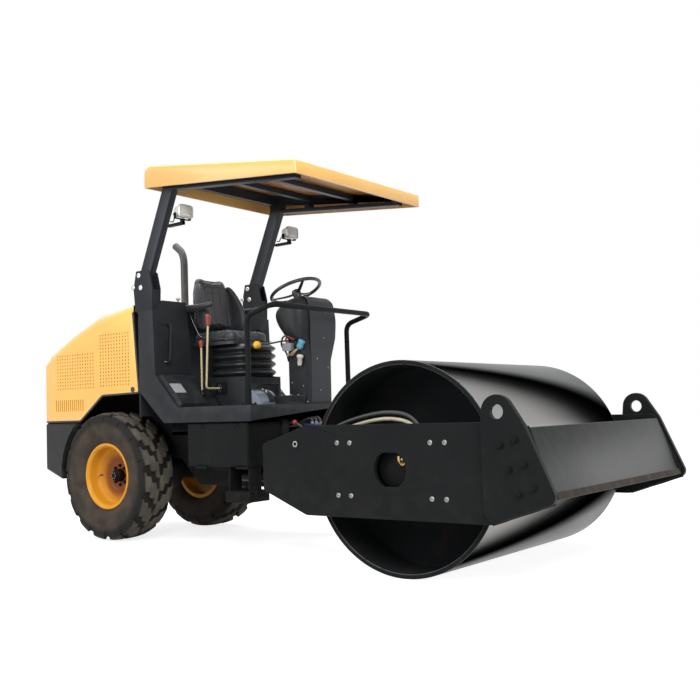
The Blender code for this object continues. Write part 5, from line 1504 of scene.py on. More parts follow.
@dataclass
class Roof:
    """The roof shell, the posts with their bolted feet and the two work lamps."""

    foot_bolts: tuple[Point, ...] = ((-2.376, 1.966), (-2.44, 1.882), (-2.358, 1.875))
    cheeks: tuple[float, float] = (0.6353, 0.5507)
    lamp: Point = (-1.945, 0.593, 2.378)
    lamp_half: tuple[float, float, float] = (0.045, 0.068, 0.048)

    def bolt(self) -> Shape:
        """A wide domed bolt on a pale washer, facing +Z."""
        washer = lathe(fillet([(0.0185, -0.001), (0.0185, 0.003), (0.008, 0.003)], 0.0008, 2, closed=False), steps=32)
        a = np.linspace(0.0, 0.4 * math.pi, 6)
        dome = [(0.0135 * math.cos(t), 0.003 + 0.008 * math.sin(t)) for t in a]
        return washer + lathe([(0.0135, 0.0), *dome, (0.0058, 0.0105), (0.005, 0.006), (0.001, 0.006)], steps=24)

    def bolts(self) -> Shape:
        """Three bolts on each face of the two feet.

        Returns:
            The form, in the machine's frame.
        """
        rows = []
        for side in Side:
            for level, way in zip(self.cheeks, (1, -1)):
                spots = [(x, side.value * level, z) for x, z in self.foot_bolts]
                rows.append(studs(self.bolt(), spots, (0.0, float(side.value * way), 0.0)))
        return total(rows)

    def rounded_bar(self, rows: Sequence[tuple[float, float]], power: float = 5.0) -> Shape:
        """A lamp part along +X about its middle: superellipse sections whose size goes with each row's (x, share).

        Args:
            rows: The (x, share) rows.
            power: The sections' superellipse power.

        Returns:
            The part about its own middle.
        """
        x, share = np.array(rows).T
        section = ring(self.lamp_half[1], 48, self.lamp_half[2] / self.lamp_half[1], power)
        grid = np.zeros((len(x), len(section), 3))
        grid[:, :, 0] = x[:, None]
        grid[:, :, 1:] = section[None] * share[:, None, None]
        return net(grid, (False, True), caps=True)

    def lamp_parts(self) -> dict[str, Shape]:
        """Housing with its bezel, lens, and yoke, about the lamp's middle.

        Returns:
            The parts by name.
        """
        shell = self.rounded_bar([(-0.045, 0.1), (-0.044, 0.5), (-0.04, 0.62), (-0.03, 0.72), (0.0, 0.84),
                                  (0.022, 0.9), (0.0225, 0.985), (0.026, 1.0), (0.042, 1.0), (0.045, 0.975),
                                  (0.045, 0.905), (0.04, 0.885)])
        t = np.linspace(0.0, 1.0, 14)
        dome = [(0.0385 + 0.0055 * math.cos(v * math.pi / 2), 0.02 + 0.86 * v) for v in t]
        lens = self.rounded_bar(dome[::-1] + [(0.044, 0.004)])
        arm = box((-0.012, 0.012), (-0.012, 0.012), (-0.086, -0.047))
        cheek = total(slab([(-0.014, -0.05), (0.014, -0.05), (0.01, -0.012), (-0.01, -0.012)], y, y + 0.004,
                           Plane.SIDE) for y in (-0.0735, 0.0695))
        strap = box((-0.014, 0.014), (-0.0735, 0.0735), (-0.0535, -0.0495))
        knob = studs(hexagon_bolt(0.018), [(0.0, 0.0735, -0.026)], (0, 1, 0)) + studs(
            hexagon_bolt(0.018), [(0.0, -0.0735, -0.026)], (0, -1, 0))
        return {"shell": shell, "lens": lens, "yoke": arm + cheek + strap + knob}

    def arm(self, side: Side) -> Shape:
        """The bracket from the post's front face to under the lamp."""
        x, y, z = self.lamp
        low, high = z - 0.09, z - 0.07
        return slab([(-2.0895, low), (x + 0.012, low), (x + 0.012, high), (-2.0807, high)], 0.578, 0.608,
                    Plane.SIDE).sided(side)

    def cable(self, side: Side) -> Shape:
        """The lamp's short lead from its back to the post."""
        x, y, z = self.lamp
        route = smooth([(x - 0.04, y, z), (x - 0.062, y, z - 0.003), (x - 0.085, y - 0.004, z - 0.03),
                        (x - 0.1, y - 0.004, z - 0.052), (x - 0.128, y - 0.002, z - 0.05)], 8)
        return sweep(route, ring(0.0042, 10)).sided(side)

    def build(self, f: Finishes) -> None:
        """Roof, frame, bolts and lamps.

        Args:
            f: The machine's finishes.
        """
        skin("canopy", f.roof, 0.004, 3)
        skin("rops_frame", f.post_black, 0.006, 3)
        make(self.bolts(), "post_foot_bolts", f.washer_pale, angle=40)
        parts = self.lamp_parts()
        x, y, z = self.lamp
        for side in Side:
            place = {"x": x, "y": side.value * y, "z": z}
            make(parts["shell"].moved(**place), f"lamp_shell_{side.word}", f.lamp_shell,
                 bevel=0.0015, replaces=[f"work_lamp_{side.word}"], angle=40)
            make(parts["lens"].moved(**place), f"lamp_glass_{side.word}", f.lens, angle=40)
            make(parts["yoke"].moved(**place) + self.arm(side), f"lamp_bracket_{side.word}", f.black, bevel=0.001)
            make(self.cable(side), f"lamp_lead_{side.word}", f.hose)


# Seat


@dataclass
class Seat:
    """The sprung seat: pedestal, rubber bellows, cushion, backrest and armrests."""

    cushion_x: tuple[float, float] = (-2.29, -1.825)
    cushion_z: tuple[float, float] = (1.462, 1.556)
    half: float = 0.24
    back_front: float = -2.165
    back_low: float = 1.5563
    back_high: float = 0.455
    back_thick: float = 0.095
    lean: float = math.tan(math.radians(9.0))
    arm_y: tuple[float, float] = (0.248, 0.3)
    arm_top: float = 1.76
    bellows_half: tuple[float, float] = (0.2, 0.192)
    bellows_z: tuple[float, float] = (1.2003, 1.44)
    folds: int = 4

    def cushion(self) -> Shape:
        """The seat cushion.

        After it is filled, its top is pressed in along an oblong seam and three cross channels, its rim carries a sewn
        welt at mid-height, and a slow wave of 2 mm runs through it: move = normal (welt + wave) - z (grooves).

        Returns:
            The form, in the machine's frame.
        """
        (rear, front), (low, high) = self.cushion_x, self.cushion_z
        plan = fillet([(rear + 0.022, -0.214), (front - 0.024, -0.218), (front - 0.024, 0.218), (rear + 0.022, 0.214)],
                      0.06, 6)
        start = rounded(slab(plan, low + 0.006, high - 0.03, Plane.PLAN), 0.016, 3, 60)
        blown = Stuffing(reach=0.023).fill(start)
        p, n = blown.points, normals(blown)
        x, y = p[:, 0] - (rear + front) / 2, p[:, 1]
        up = np.clip(n[:, 2] * 2.0, 0.0, 1.0)
        seam = dent(frame_distance(x - 0.012, y, (0.15, 0.13), 0.04), 0.0075, 0.005)
        inside = np.clip((0.126 - np.abs(y)) / 0.01, 0, 1) * np.clip((0.14 - np.abs(x - 0.012)) / 0.01, 0, 1)
        channels = dent((x + 0.028 + 0.04) % 0.08 - 0.04, 0.005, 0.0065) * inside
        bolster = 0.01 * np.clip((np.abs(y) - 0.14) / 0.05, 0, 1) * np.clip((0.225 - np.abs(y)) / 0.04, 0, 1)
        welt = dent(p[:, 2] - 1.502 - 0.003 * np.sin(p[:, 1] * 21.0), 0.0026, 0.0035) * (1.0 - up)
        wave = 0.002 * np.sin(x * 31.0 + y * 9.0) * np.sin(y * 23.0 + 1.0)
        moved = p + n * (welt + wave)[:, None]
        moved[:, 2] += (bolster - seam - channels) * up
        moved[:, 2] = np.clip(moved[:, 2], low - 0.001, high - 0.0005)
        return Shape(moved, blown.faces)

    def backrest(self) -> Shape:
        """The backrest, leaning back.

        It is filled upright and dressed on its front: a panel seam, two upright channels, a slot under the head pad and
        raised side bolsters, then each point moves back by its height times the lean.

        Returns:
            The form, in the machine's frame.
        """
        wide, narrow, top = self.half - 0.026, self.half - 0.078, self.back_high - 0.021
        face = fillet([(-wide, 0.022), (wide, 0.022), (wide, 0.275), (narrow, top - 0.03), (narrow - 0.03, top),
                       (-narrow + 0.03, top), (-narrow, top - 0.03), (-wide, 0.275)],
                      [0.05, 0.05, 0.09, 0.05, 0.02, 0.02, 0.05, 0.09], 5)
        start = rounded(slab(face, -self.back_thick + 0.022, -0.022, Plane.END), 0.018, 3, 60)
        blown = Stuffing(reach=0.021).fill(start)
        p, n = blown.points, normals(blown)
        y, h = p[:, 1], p[:, 2]
        ahead = np.clip(n[:, 0] * 2.0, 0.0, 1.0)
        seam = dent(frame_distance(y, h - 0.205, (0.118, 0.16), 0.035), 0.008, 0.005)
        panel = np.clip((0.35 - h) / 0.01, 0, 1) * np.clip((h - 0.055) / 0.01, 0, 1)
        flutes = dent(np.abs(np.abs(y) - 0.039), 0.0065, 0.006) * panel
        slot = dent(frame_distance(y, h - 0.398, (0.078, 0.004), 0.003), 0.01, 0.006)
        cross = dent(h - 0.318, 0.0055, 0.005) * np.clip((0.112 - np.abs(y)) / 0.01, 0, 1)
        sides = np.clip((np.abs(y) - 0.13) / 0.045, 0, 1) * np.clip((0.33 - h) / 0.08, 0, 1)
        welt = dent(p[:, 0] + 0.058, 0.0026, 0.0034) * (1.0 - np.clip(np.abs(n[:, 0]) * 1.3, 0, 1))
        wave = 0.0014 * np.sin(y * 27.0 + 0.5) * np.sin(h * 24.0)
        moved = p + n * (welt + wave)[:, None]
        moved[:, 0] += (0.011 * sides - seam - flutes - slot - cross) * ahead
        moved[:, 0] = np.clip(moved[:, 0], -self.back_thick + 0.001, -0.001)
        moved[:, 2] = np.clip(moved[:, 2], 0.002, self.back_high - 0.001)
        moved[:, 0] -= moved[:, 2] * self.lean
        return Shape(moved + (self.back_front, 0.0, self.back_low), blown.faces)

    def armrest(self, side: Side) -> Shape:
        """A tapered pad along +X.

        Its sections are superellipses whose size is (1 - |2t - 1|^7)^(1/3) and falls by a third towards the front, and
        its middle line droops 6 mm; a sewn seam 1.5 mm deep runs round it.

        Args:
            side: The machine's side.

        Returns:
            The form, in the machine's frame.
        """
        rear, length = -2.266, 0.288
        t = (1.0 - np.cos(np.linspace(0.0, math.pi, 60))) / 2
        size = np.maximum(0.02, (1.0 - np.abs(2 * t - 1) ** 7) ** (1 / 3)) * (1.0 - 0.3 * t ** 1.6)
        middle = (self.arm_y[0] + self.arm_y[1]) / 2
        path = np.stack((rear + length * t, np.full_like(t, middle), self.arm_top - 0.0225 + 0.01 * t ** 2
                         - 0.006 * np.sin(t * math.pi)), 1)
        section = ring(0.025, 48, 1.35, 2.7)
        section = section * (1.0 - 0.05 * np.exp(-((section[:, 1:] + 0.004) / 0.0022) ** 2))
        return sweep(path, section, scale=size).sided(side)

    def wing(self, side: Side) -> Shape:
        """A side bolster of the backrest: a superellipse section along its edge, which thins towards the top.

        Args:
            side: The machine's side.

        Returns:
            The form, in the machine's frame.
        """
        route = smooth([(-2.165, 0.192, 1.575), (-2.146, 0.198, 1.64), (-2.154, 0.2, 1.72), (-2.188, 0.194, 1.8),
                        (-2.222, 0.18, 1.87), (-2.25, 0.158, 1.93)], 9)
        t = np.linspace(0.0, 1.0, len(route))
        size = np.maximum(0.05, (1.0 - np.abs(2 * t - 1) ** 6) ** (1 / 2.5)) * (1.0 - 0.45 * t)
        section = ring(0.068, 40, 0.5, 2.4)
        section = section * (1.0 - 0.04 * np.exp(-((section[:, :1] - 0.03) / 0.003) ** 2))
        return sweep(route, section, scale=size).sided(side)

    def fold(self) -> Shape:
        """The rubber bellows.

        Superellipse sections rise from the pedestal to the seat. Their half width is the bellows' less
        0.026 (1 - (0.5 - 0.5 cos(turns))^0.65), with four outward folds, and each fold's height waves by 4 mm.

        Returns:
            The form, in the machine's frame.
        """
        low, high = self.bellows_z
        t = np.linspace(0.0, 1.0, 97)
        a = np.linspace(0.0, TAU, 160, endpoint=False)
        wide, deep = self.bellows_half
        fold = 0.5 - 0.5 * np.cos(t * TAU * self.folds)
        inward = 0.026 * (1.0 - fold ** 0.65) * np.clip(t / 0.02, 0, 1)
        unit = ring(1.0, 160, 1.0, 5.0)
        x = unit[None, :, 0] * (wide - 0.0005 - inward)[:, None]
        y = unit[None, :, 1] * (deep - 0.0005 - inward)[:, None]
        sag = 0.0042 * np.sin(a * 3.0 + 0.6)[None] * np.sin(t * math.pi)[:, None]
        sag = sag - 0.004 * np.cos(a * 4.0)[None] * np.sin(t * math.pi)[:, None]
        z = (low + (high - low) * t)[:, None] + sag
        return net(np.stack((x - 1.93, y, z), -1), (False, True), caps=True)

    def metal(self) -> Shape:
        """The bright rod along the near side, from the backrest's foot to the cushion's front."""
        rod = fillet([(-2.247, -0.2455, 1.69), (-2.212, -0.2455, 1.62), (-2.14, -0.2455, 1.505),
                      (-1.86, -0.2455, 1.476)], 0.035, 6, closed=False)
        return tube(rod, 0.0034, 12) + tube(rod * (1, -1, 1), 0.0034, 12)

    def pivots(self) -> Shape:
        """The armrests' pivot bars with round caps."""
        rear = self.back_front - 0.04 - (self.arm_top - self.back_low) * self.lean
        level = self.arm_top - 0.0225
        rows = [(0.013, 0.185), (0.013, 0.2475), (0.019, 0.2475), (0.019, 0.252), (0.01, 0.256)]
        return total(lathe([(r, s.value * y) for r, y in rows], (rear, 0, level), (0, 1, 0), 32) for s in Side)

    def bracket(self) -> Shape:
        """The flat catch with its knob on the near box, beside the backrest.

        Returns:
            The form, in the machine's frame.
        """
        foot = slab(fillet([(-2.372, -0.312), (-2.262, -0.312), (-2.262, -0.286), (-2.372, -0.286)], 0.008, 3),
                    1.7735, 1.78, Plane.PLAN)
        stem = lathe([(0.007, 1.777), (0.007, 1.8), (0.016, 1.803), (0.018, 1.812), (0.014, 1.82), (0.004, 1.822)],
                     (-2.317, -0.299, 0.0), steps=32)
        return foot + stem

    def build(self, f: Finishes) -> None:
        """The seat with everything on it.

        Args:
            f: The machine's finishes.
        """
        skin("seat_pedestal", f.deck_black, 0.006, 3)
        make(self.fold(), "bellows_folds", f.bellows, replaces=["seat_bellows"], angle=80)
        pan = slab(fillet([(-2.276, -0.222), (-1.842, -0.226), (-1.842, 0.226), (-2.276, 0.222)], 0.045, 5),
                   1.4405, 1.466, Plane.PLAN)
        make(pan, "seat_pan", f.plastic, bevel=0.004)
        pad(self.cushion(), "cushion_pad", f.hide, ["seat_cushion"])
        pad(self.backrest(), "backrest_pad", f.hide, ["seat_backrest"])
        for side in Side:
            pad(self.armrest(side), f"armrest_{side.word}", f.hide, (), 0)
            pad(self.wing(side), f"backrest_wing_{side.word}", f.hide, (), 0)
        make(self.pivots(), "armrest_pivots", f.plastic)
        make(self.metal(), "seat_side_rods", f.bright)
        make(self.bracket(), "seat_catch", f.lamp_shell, bevel=0.001)


# Steering console


@dataclass
class Console:
    """The column with its rounded pod, the front sheet, the loose wiring and the steering wheel."""

    middle: float = 0.19
    half: float = 0.2
    pod: tuple[Point, ...] = (
        (-1.538, 1.44), (-1.363, 1.392), (-1.3535, 1.6), (-1.367, 1.72), (-1.416, 1.7745), (-1.511, 1.7745),
        (-1.645, 1.7), (-1.6645, 1.64), (-1.635, 1.56))
    wheel: Point = (-1.56, 0.19, 1.835)
    tilt: float = math.radians(22.0)
    grip: tuple[float, float] = (0.19, 0.014)
    ball: Point = (-1.655, -0.112, 1.424)

    @property
    def axis(self) -> np.ndarray:
        """The steering column's direction."""
        return np.array([-math.sin(self.tilt), 0.0, math.cos(self.tilt)])

    def bowl(self) -> Shape:
        """The pod: its side outline about its middle, scaled by (1 - |y|^3.4)^(1/3) over its width.

        Returns:
            The form, in the machine's frame.
        """
        line = fillet(self.pod, [0.03, 0.05, 0.1, 0.06, 0.05, 0.05, 0.05, 0.04, 0.06], 8)
        centre = line.mean(0)
        s = np.sin(np.linspace(-math.pi / 2, math.pi / 2, 44))
        size = np.maximum(0.03, (1.0 - np.abs(s) ** 3.4 * 0.9999) ** (1 / 3.0))
        grid = np.zeros((len(s), len(line), 3))
        flat = centre + (line - centre)[None] * size[:, None, None]
        grid[:, :, 0], grid[:, :, 2] = flat[:, :, 0], flat[:, :, 1]
        grid[:, :, 1] = (self.middle + s * (self.half - 0.001))[:, None]
        return net(grid, (False, True), caps=True)

    def sheet(self) -> Shape:
        """The folded sheet over the front.

        It follows the side profile upwards and back over the pod, 4 mm thick, and its left and right edges are smooth
        functions of the length along that profile.

        Returns:
            The form, in the machine's frame.
        """
        profile = smooth([(-1.364, 0.0, 1.0), (-1.364, 0.0, 1.2), (-1.3635, 0.0, 1.33), (-1.36, 0.0, 1.4),
                          (-1.3515, 0.0, 1.5), (-1.349, 0.0, 1.61), (-1.362, 0.0, 1.715), (-1.383, 0.0, 1.753),
                          (-1.416, 0.0, 1.774), (-1.47, 0.0, 1.7785)], 8)
        z = profile[:, 2]
        left = np.interp(z, [1.0, 1.33, 1.4, 1.5, 1.7, 1.7785], [0.1, 0.108, 0.096, 0.088, 0.087, 0.096])
        right = np.interp(z, [1.0, 1.3, 1.39, 1.47, 1.6, 1.72, 1.7785],
                          [0.332, 0.338, 0.368, 0.388, 0.393, 0.386, 0.368])
        u = np.concatenate((np.linspace(0.0, 1.0, 12), np.linspace(1.0, 0.0, 12)))
        ahead = np.gradient(profile, axis=0)
        out = np.stack((ahead[:, 2], 0 * z, -ahead[:, 0]), 1) / np.linalg.norm(ahead, axis=1, keepdims=True)
        depth = np.concatenate((np.zeros(12), np.full(12, -0.004)))
        grid = profile[:, None] + out[:, None] * depth[None, :, None]
        grid[:, :, 1] = left[:, None] + (right - left)[:, None] * u[None]
        return net(grid, (False, True), caps=True)

    def column(self) -> Shape:
        """The box column with its flanged foot.

        Returns:
            The form, in the machine's frame.
        """
        column = slab(fillet([(-1.53, 0.045), (-1.3655, 0.045), (-1.3655, 0.335), (-1.53, 0.335)], 0.006, 3),
                      0.99, 1.5, Plane.PLAN)
        foot = slab(fillet([(-1.55, 0.025), (-1.345, 0.025), (-1.345, 0.355), (-1.55, 0.355)], 0.014, 4), 0.9853,
                    0.997, Plane.PLAN)
        return column + foot

    def rivets(self) -> Shape:
        """Pale rivets on the sheet and the column's near side.

        Returns:
            The form, in the machine's frame.
        """
        front = [(-1.3487, 0.271, 1.662), (-1.355, 0.249, 1.467), (-1.3635, 0.176, 1.314), (-1.3638, 0.206, 1.083),
                 (-1.3635, 0.3, 1.25)]
        near = [(-1.5, 0.0446, 1.141), (-1.395, 0.0446, 1.115)]
        foot = [(-1.3545, 0.034, 0.997), (-1.3545, 0.346, 0.997), (-1.54, 0.034, 0.997), (-1.54, 0.346, 0.997)]
        return studs(rivet(0.013), front, (1, 0, 0)) + studs(rivet(0.013), near, (0, -1, 0)) + studs(
            hexagon_bolt(0.014), foot, (0, 0, 1))

    def kick_box(self) -> tuple[Shape, Shape, Shape]:
        """The low channel beside the column's foot: its box, a dark sheet at the slot's bottom that paints the slot's
        shade, and its bolts.

        Returns:
            The three forms.
        """
        block = box((-1.52, -1.366), (-0.16, 0.0245), (0.9853, 1.048))
        slot = box((-1.369, -1.35), (-0.148, 0.012), (1.0, 1.036))
        spots = [(-1.385, -0.11, 1.048), (-1.385, -0.03, 1.048), (-1.47, -0.11, 1.048)]
        return carved(block, slot), box((-1.37, -1.369), (-0.15, 0.014), (0.998, 1.038)), studs(
            hexagon_bolt(0.013), spots, (0, 0, 1))

    def wires(self) -> dict[str, Shape]:
        """The loose loom under the pod: relay, plug, filter bulb and the wires between them.

        Returns:
            The parts by name.
        """
        y = 0.0285
        relay = slab(fillet([(-1.56, 1.376), (-1.478, 1.372), (-1.474, 1.43), (-1.556, 1.434)], 0.006, 3), 0.012,
                     0.045, Plane.SIDE)
        plug = sweep(smooth([(-1.408, y, 1.386), (-1.396, y - 0.004, 1.412), (-1.376, y - 0.006, 1.444)], 4),
                     ring(0.024, 24, 0.72, 4.0), scale=np.array([0.8, 0.95, 1.0, 1.0, 0.92, 0.92, 1.0, 1.0, 0.86]))
        bulb = lathe([(0.004, -0.042), (0.013, -0.04), (0.017, -0.03), (0.0175, 0.012), (0.024, 0.018),
                      (0.025, 0.028), (0.021, 0.038), (0.004, 0.041)], (-1.402, 0.021, 1.302), (0.1, 0.0, 1.0), 32)
        red, beige, dark = [], [], []
        for k in range(4):
            lift = 0.005 * k
            red.append(tube(smooth([(-1.532 + lift, y, 1.428), (-1.53 + lift, y - 0.014, 1.462 + lift),
                                    (-1.505, y - 0.016 - lift, 1.484), (-1.47 + lift, y - 0.01, 1.468 - lift),
                                    (-1.452 + lift, y + 0.004, 1.495)], 7), 0.0022, 8))
            beige.append(tube(smooth([(-1.508, y, 1.374), (-1.502 - lift, y - 0.012, 1.348 - lift),
                                      (-1.466, y - 0.016 - lift, 1.338 + lift), (-1.436, y - 0.012, 1.366 + lift),
                                      (-1.412 + lift / 2, y, 1.39)], 7), 0.0024, 8))
        for k in range(3):
            dark.append(tube(smooth([(-1.47 + 0.006 * k, y, 1.374), (-1.462, y - 0.01, 1.34),
                                     (-1.43, y - 0.008, 1.352), (-1.404 + 0.004 * k, y - 0.002, 1.344)], 7), 0.0026, 8))
        sleeve = tube(smooth([(-1.5, y - 0.002, 1.5), (-1.56, y - 0.004, 1.475), (-1.58, y + 0.004, 1.42),
                              (-1.535, y + 0.002, 1.36), (-1.535, 0.055, 1.3)], 8), 0.007, 12)
        return {"relay": relay, "plug": plug, "bulb": bulb, "red": total(red), "beige": total(beige),
                "dark": total(dark) + sleeve}

    def rim(self) -> Shape:
        """The wheel's ring, whose tube waves into finger grips: r = 13 mm + 1.1 mm cos(36 a) on its inside.

        Returns:
            The ring, its axis along Z through the origin.
        """
        radius, tube_radius = self.grip
        a = np.linspace(0.0, TAU, 288, endpoint=False)
        b = np.linspace(0.0, TAU, 24, endpoint=False)
        inner = np.clip(-np.cos(b), 0.0, 1.0)[None] * 0.0011 * np.cos(36 * a)[:, None]
        size = tube_radius - 0.001 + inner
        out = radius + size * np.cos(b)[None]
        grid = np.stack((out * np.cos(a)[:, None], out * np.sin(a)[:, None], size * np.sin(b)[None]), -1)
        return net(grid, (True, True))

    def spokes(self) -> Shape:
        """Three flattened spokes that widen into the hub.

        Returns:
            The spokes, the wheel's axis along Z through the origin.
        """
        arms = []
        for number in range(3):
            a = math.radians(90 + number * 120)
            out = np.array([math.cos(a), math.sin(a), 0.0])
            path = smooth([out * 0.02 - (0, 0, 0.024), out * 0.07 - (0, 0, 0.022), out * 0.13 - (0, 0, 0.012),
                           out * 0.184], 8)
            arms.append(sweep(path, ring(0.013, 20, 0.42, 3.0), (0, 0, 1), scale=np.linspace(1.25, 0.85, len(path))))
        return total(arms)

    def hub(self) -> Shape:
        """The wheel's hub with its round cap."""
        return lathe(fillet([(0.03, -0.0555), (0.033, -0.03), (0.034, -0.01), (0.031, 0.001), (0.027, 0.0035),
                             (0.004, 0.0038)], 0.003, 3, closed=False), steps=48)

    def boot(self) -> Shape:
        """The rubber boot round the steering shaft, with three ripples."""
        t = np.linspace(0.0, 1.0, 40)
        radius = 0.05 - 0.02 * t + 0.003 * np.cos(t * TAU * 3)
        return lathe(np.stack((radius, t * 0.068 - 0.16), 1), self.wheel, self.axis, 48)

    def build(self, f: Finishes) -> None:
        """The console and what hangs on it.

        Args:
            f: The machine's finishes.
        """
        make(self.bowl(), "console_pod", f.pod_black, replaces=["steering_console"], angle=60)
        make(self.column(), "console_column", f.deck_black, bevel=0.002)
        make(self.sheet(), "console_front_sheet", f.sheet_grey, angle=50)
        make(self.rivets(), "console_rivets", f.zinc)
        block, slot_shade_sheet, bolts = self.kick_box()
        make(block, "kick_channel", f.deck_black, bevel=0.002)
        # a dark sheet that paints the slot's shade
        make(slot_shade_sheet, "kick_channel_liner", f.hose)
        make(bolts, "kick_channel_bolts", f.zinc)
        parts = self.wires()
        for key, finish in (("relay", f.relay_grey), ("plug", f.plug_blue), ("bulb", f.knob_pale), ("red", f.wire_red),
                            ("beige", f.wire_tan), ("dark", f.hose)):
            make(parts[key], f"loom_{key}", finish, bevel=0.0012 if key == "relay" else 0.0, angle=50)
        make(self.boot(), "steering_boot", f.bellows, angle=70)
        ball = lathe([(0.0045, 0.0)] + [(0.03 * math.sin(t), 0.0295 - 0.029 * math.cos(t))
                                        for t in np.linspace(0.25, 3.0, 22)], self.ball, (-0.62, -0.78, -0.02), 40)
        rod = tube(smooth([self.ball, (-1.615, -0.062, 1.432), (-1.56, -0.005, 1.446), (-1.512, 0.052, 1.452)], 6),
                   0.0065, 14)
        make(ball, "throttle_ball", f.knob_yellow, angle=60)
        make(rod, "throttle_rod", f.hose)
        turn = facing(self.axis, self.wheel)
        make(self.rim().by(turn), "wheel_grip_ring", f.plastic, "hand_wheel", replaces=["steering_wheel"],
             angle=80)
        make((self.spokes() + self.hub()).by(turn), "wheel_spokes", f.plastic, "hand_wheel", angle=50)


# Deck


@dataclass
class Deck:
    """The platform with its side boxes, ramps, mats, guard rail, levers and pedal cover."""

    top: float = 0.985
    ramp: tuple[Point, Point] = ((-2.215, 1.225), (-1.99, 0.985))
    rail: tuple[float, float, float, float, float] = (-1.375, 0.563, 0.9853, -1.15, 1.645)
    rail_radius: float = 0.019
    panel_y: tuple[float, float] = (-0.603, -0.455)
    panel_z: tuple[float, float] = (1.315, 1.615)
    short_lever: tuple[float, float] = (-2.07, -0.31)
    pedal_place: tuple[float, float] = (-1.6, 0.9853)
    pedal_y: tuple[float, float] = (-0.33, -0.13)
    stud_pitch: float = 0.036

    def platform(self) -> Shape:
        """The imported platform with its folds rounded."""
        return rounded(welded("platform"), 0.005, 3, 24.0)

    def box_body(self, side: Side) -> Shape:
        """A side box with its pressed panel, 4 mm deep, behind the grab handle.

        Args:
            side: The machine's side.

        Returns:
            The form, in the machine's frame.
        """
        solid = rounded(welded(f"bulkhead_{side.word}"), 0.006, 3, 50.0)
        (y1, y2), (z1, z2) = self.panel_y, self.panel_z
        line = fillet([(y1, z1), (y2 - 0.03, z1), (y2, z1 + 0.06), (y2, z2 - 0.03), (y1, z2)], 0.022, 5)
        tool = slab(line, -2.2295, -2.2, Plane.END)
        if side is Side.LEFT:
            tool = tool.sided(Side.RIGHT)
        return carved(solid, tool)

    def ramp_point(self, share: float, up: float = 0.0) -> tuple[float, float]:
        """The (x, z) at a share of the way down the ramp, raised square to it."""
        (x1, z1), (x2, z2) = self.ramp
        run, fall = x2 - x1, z2 - z1
        length = math.hypot(run, fall)
        return x1 + run * share - fall / length * up, z1 + fall * share + run / length * up

    def tray(self, side: Side) -> Shape:
        """The raised cover on the ramp: a flat top with sloping edges, drawn as four rings of one rounded outline.

        Args:
            side: The machine's side.

        Returns:
            The form, in the machine's frame.
        """
        rings = []
        for inset, up in ((0.0, 0.0005), (0.002, 0.006), (0.018, 0.022), (0.024, 0.0235)):
            low, high = 0.03 + inset * 0.6, 0.985 - inset * 2.2
            outline = fillet([(low, 0.318 + inset), (high, 0.318 + inset), (high, 0.615 - inset), (low, 0.615 - inset)],
                             [0.02] * 4, 4)
            xz = np.array([self.ramp_point(u, up) for u in outline[:, 0]])
            rings.append(np.stack((xz[:, 0], outline[:, 1], xz[:, 1]), 1))
        return net(np.array(rings), (False, True), caps=True).sided(side)

    def on_tray(self, outline: Sequence[Point], low: float, high: float, side: Side) -> Shape:
        """A flat piece on the ramp's cover, from (share down the ramp, y) corners and two heights over the ramp.

        Args:
            outline: The piece's corners.
            low: The lower face's height over the ramp.
            high: The upper face's height over the ramp.
            side: The machine's side.

        Returns:
            The form, in the machine's frame.
        """
        flat = fillet(outline, 0.006, 3)
        rows = []
        for up in (low, high):
            xz = np.array([self.ramp_point(u, up) for u in flat[:, 0]])
            rows.append(np.stack((xz[:, 0], flat[:, 1], xz[:, 1]), 1))
        return net(np.array(rows), (False, True), caps=True).sided(side)

    def handrail(self) -> Shape:
        """The bent tube across the front, with a welded foot plate under each post.

        Returns:
            The form, in the machine's frame.
        """
        x, y, low, ahead, high = self.rail
        bend = high - 0.06
        route = fillet([(x, -y, low), (x, -y, bend), (ahead, -y, high), (ahead, y, high), (x, y, bend), (x, y, low)],
                       [0.0, 0.06, 0.065, 0.065, 0.06, 0.0], 10, closed=False)
        return sweep(route, ring(self.rail_radius - 0.0003, 28), (0.5, 0.13, 0.11))

    def rail_feet(self) -> Shape:
        """The two foot plates with their bolts and the weld round each post.

        Returns:
            The form, in the machine's frame.
        """
        x, y, low = self.rail[:3]
        parts = []
        for side in Side:
            s = side.value
            plate = slab(fillet([(x - 0.038, s * y - 0.045), (x + 0.038, s * y - 0.045), (x + 0.038, s * y + 0.045),
                                 (x - 0.038, s * y + 0.045)], 0.01, 3), low, low + 0.007, Plane.PLAN)
            a = np.linspace(0.0, TAU, 60)
            seam = np.stack((x + 0.0205 * np.cos(a), s * y + 0.0205 * np.sin(a), np.full_like(a, low + 0.008)), 1)
            bolts = studs(hexagon_bolt(0.015), [(x + u, s * y + v, low + 0.007) for u in (-0.026, 0.026)
                                                for v in (-0.032, 0.032)], (0, 0, 1))
            parts += [plate, bead(seam, 0.004, (0, 0, 1), 0.01), bolts]
        return total(parts)

    def knob(self, place: Point, axis: Point, low: float, high: float, radius: float) -> Shape:
        """A tapered lever knob: narrow below, wide and softly domed above.

        Args:
            place: Where it stands.
            axis: Its direction.
            low: The foot's height along the axis.
            high: The top's height along the axis.
            radius: The widest radius.

        Returns:
            The form, in the machine's frame.
        """
        t = np.linspace(0.0, 1.0, 9)
        side = [(radius * (0.62 + 0.3 * v ** 0.8), low + (high - low) * (0.02 + 0.72 * v)) for v in t]
        cap = [(radius * math.cos(a), high - (high - low) * 0.2 + (high - low) * 0.2 * math.sin(a))
               for a in np.linspace(0.05, 1.45, 8)]
        return lathe([(radius * 0.45, low), *side, *cap], place, axis, 32)

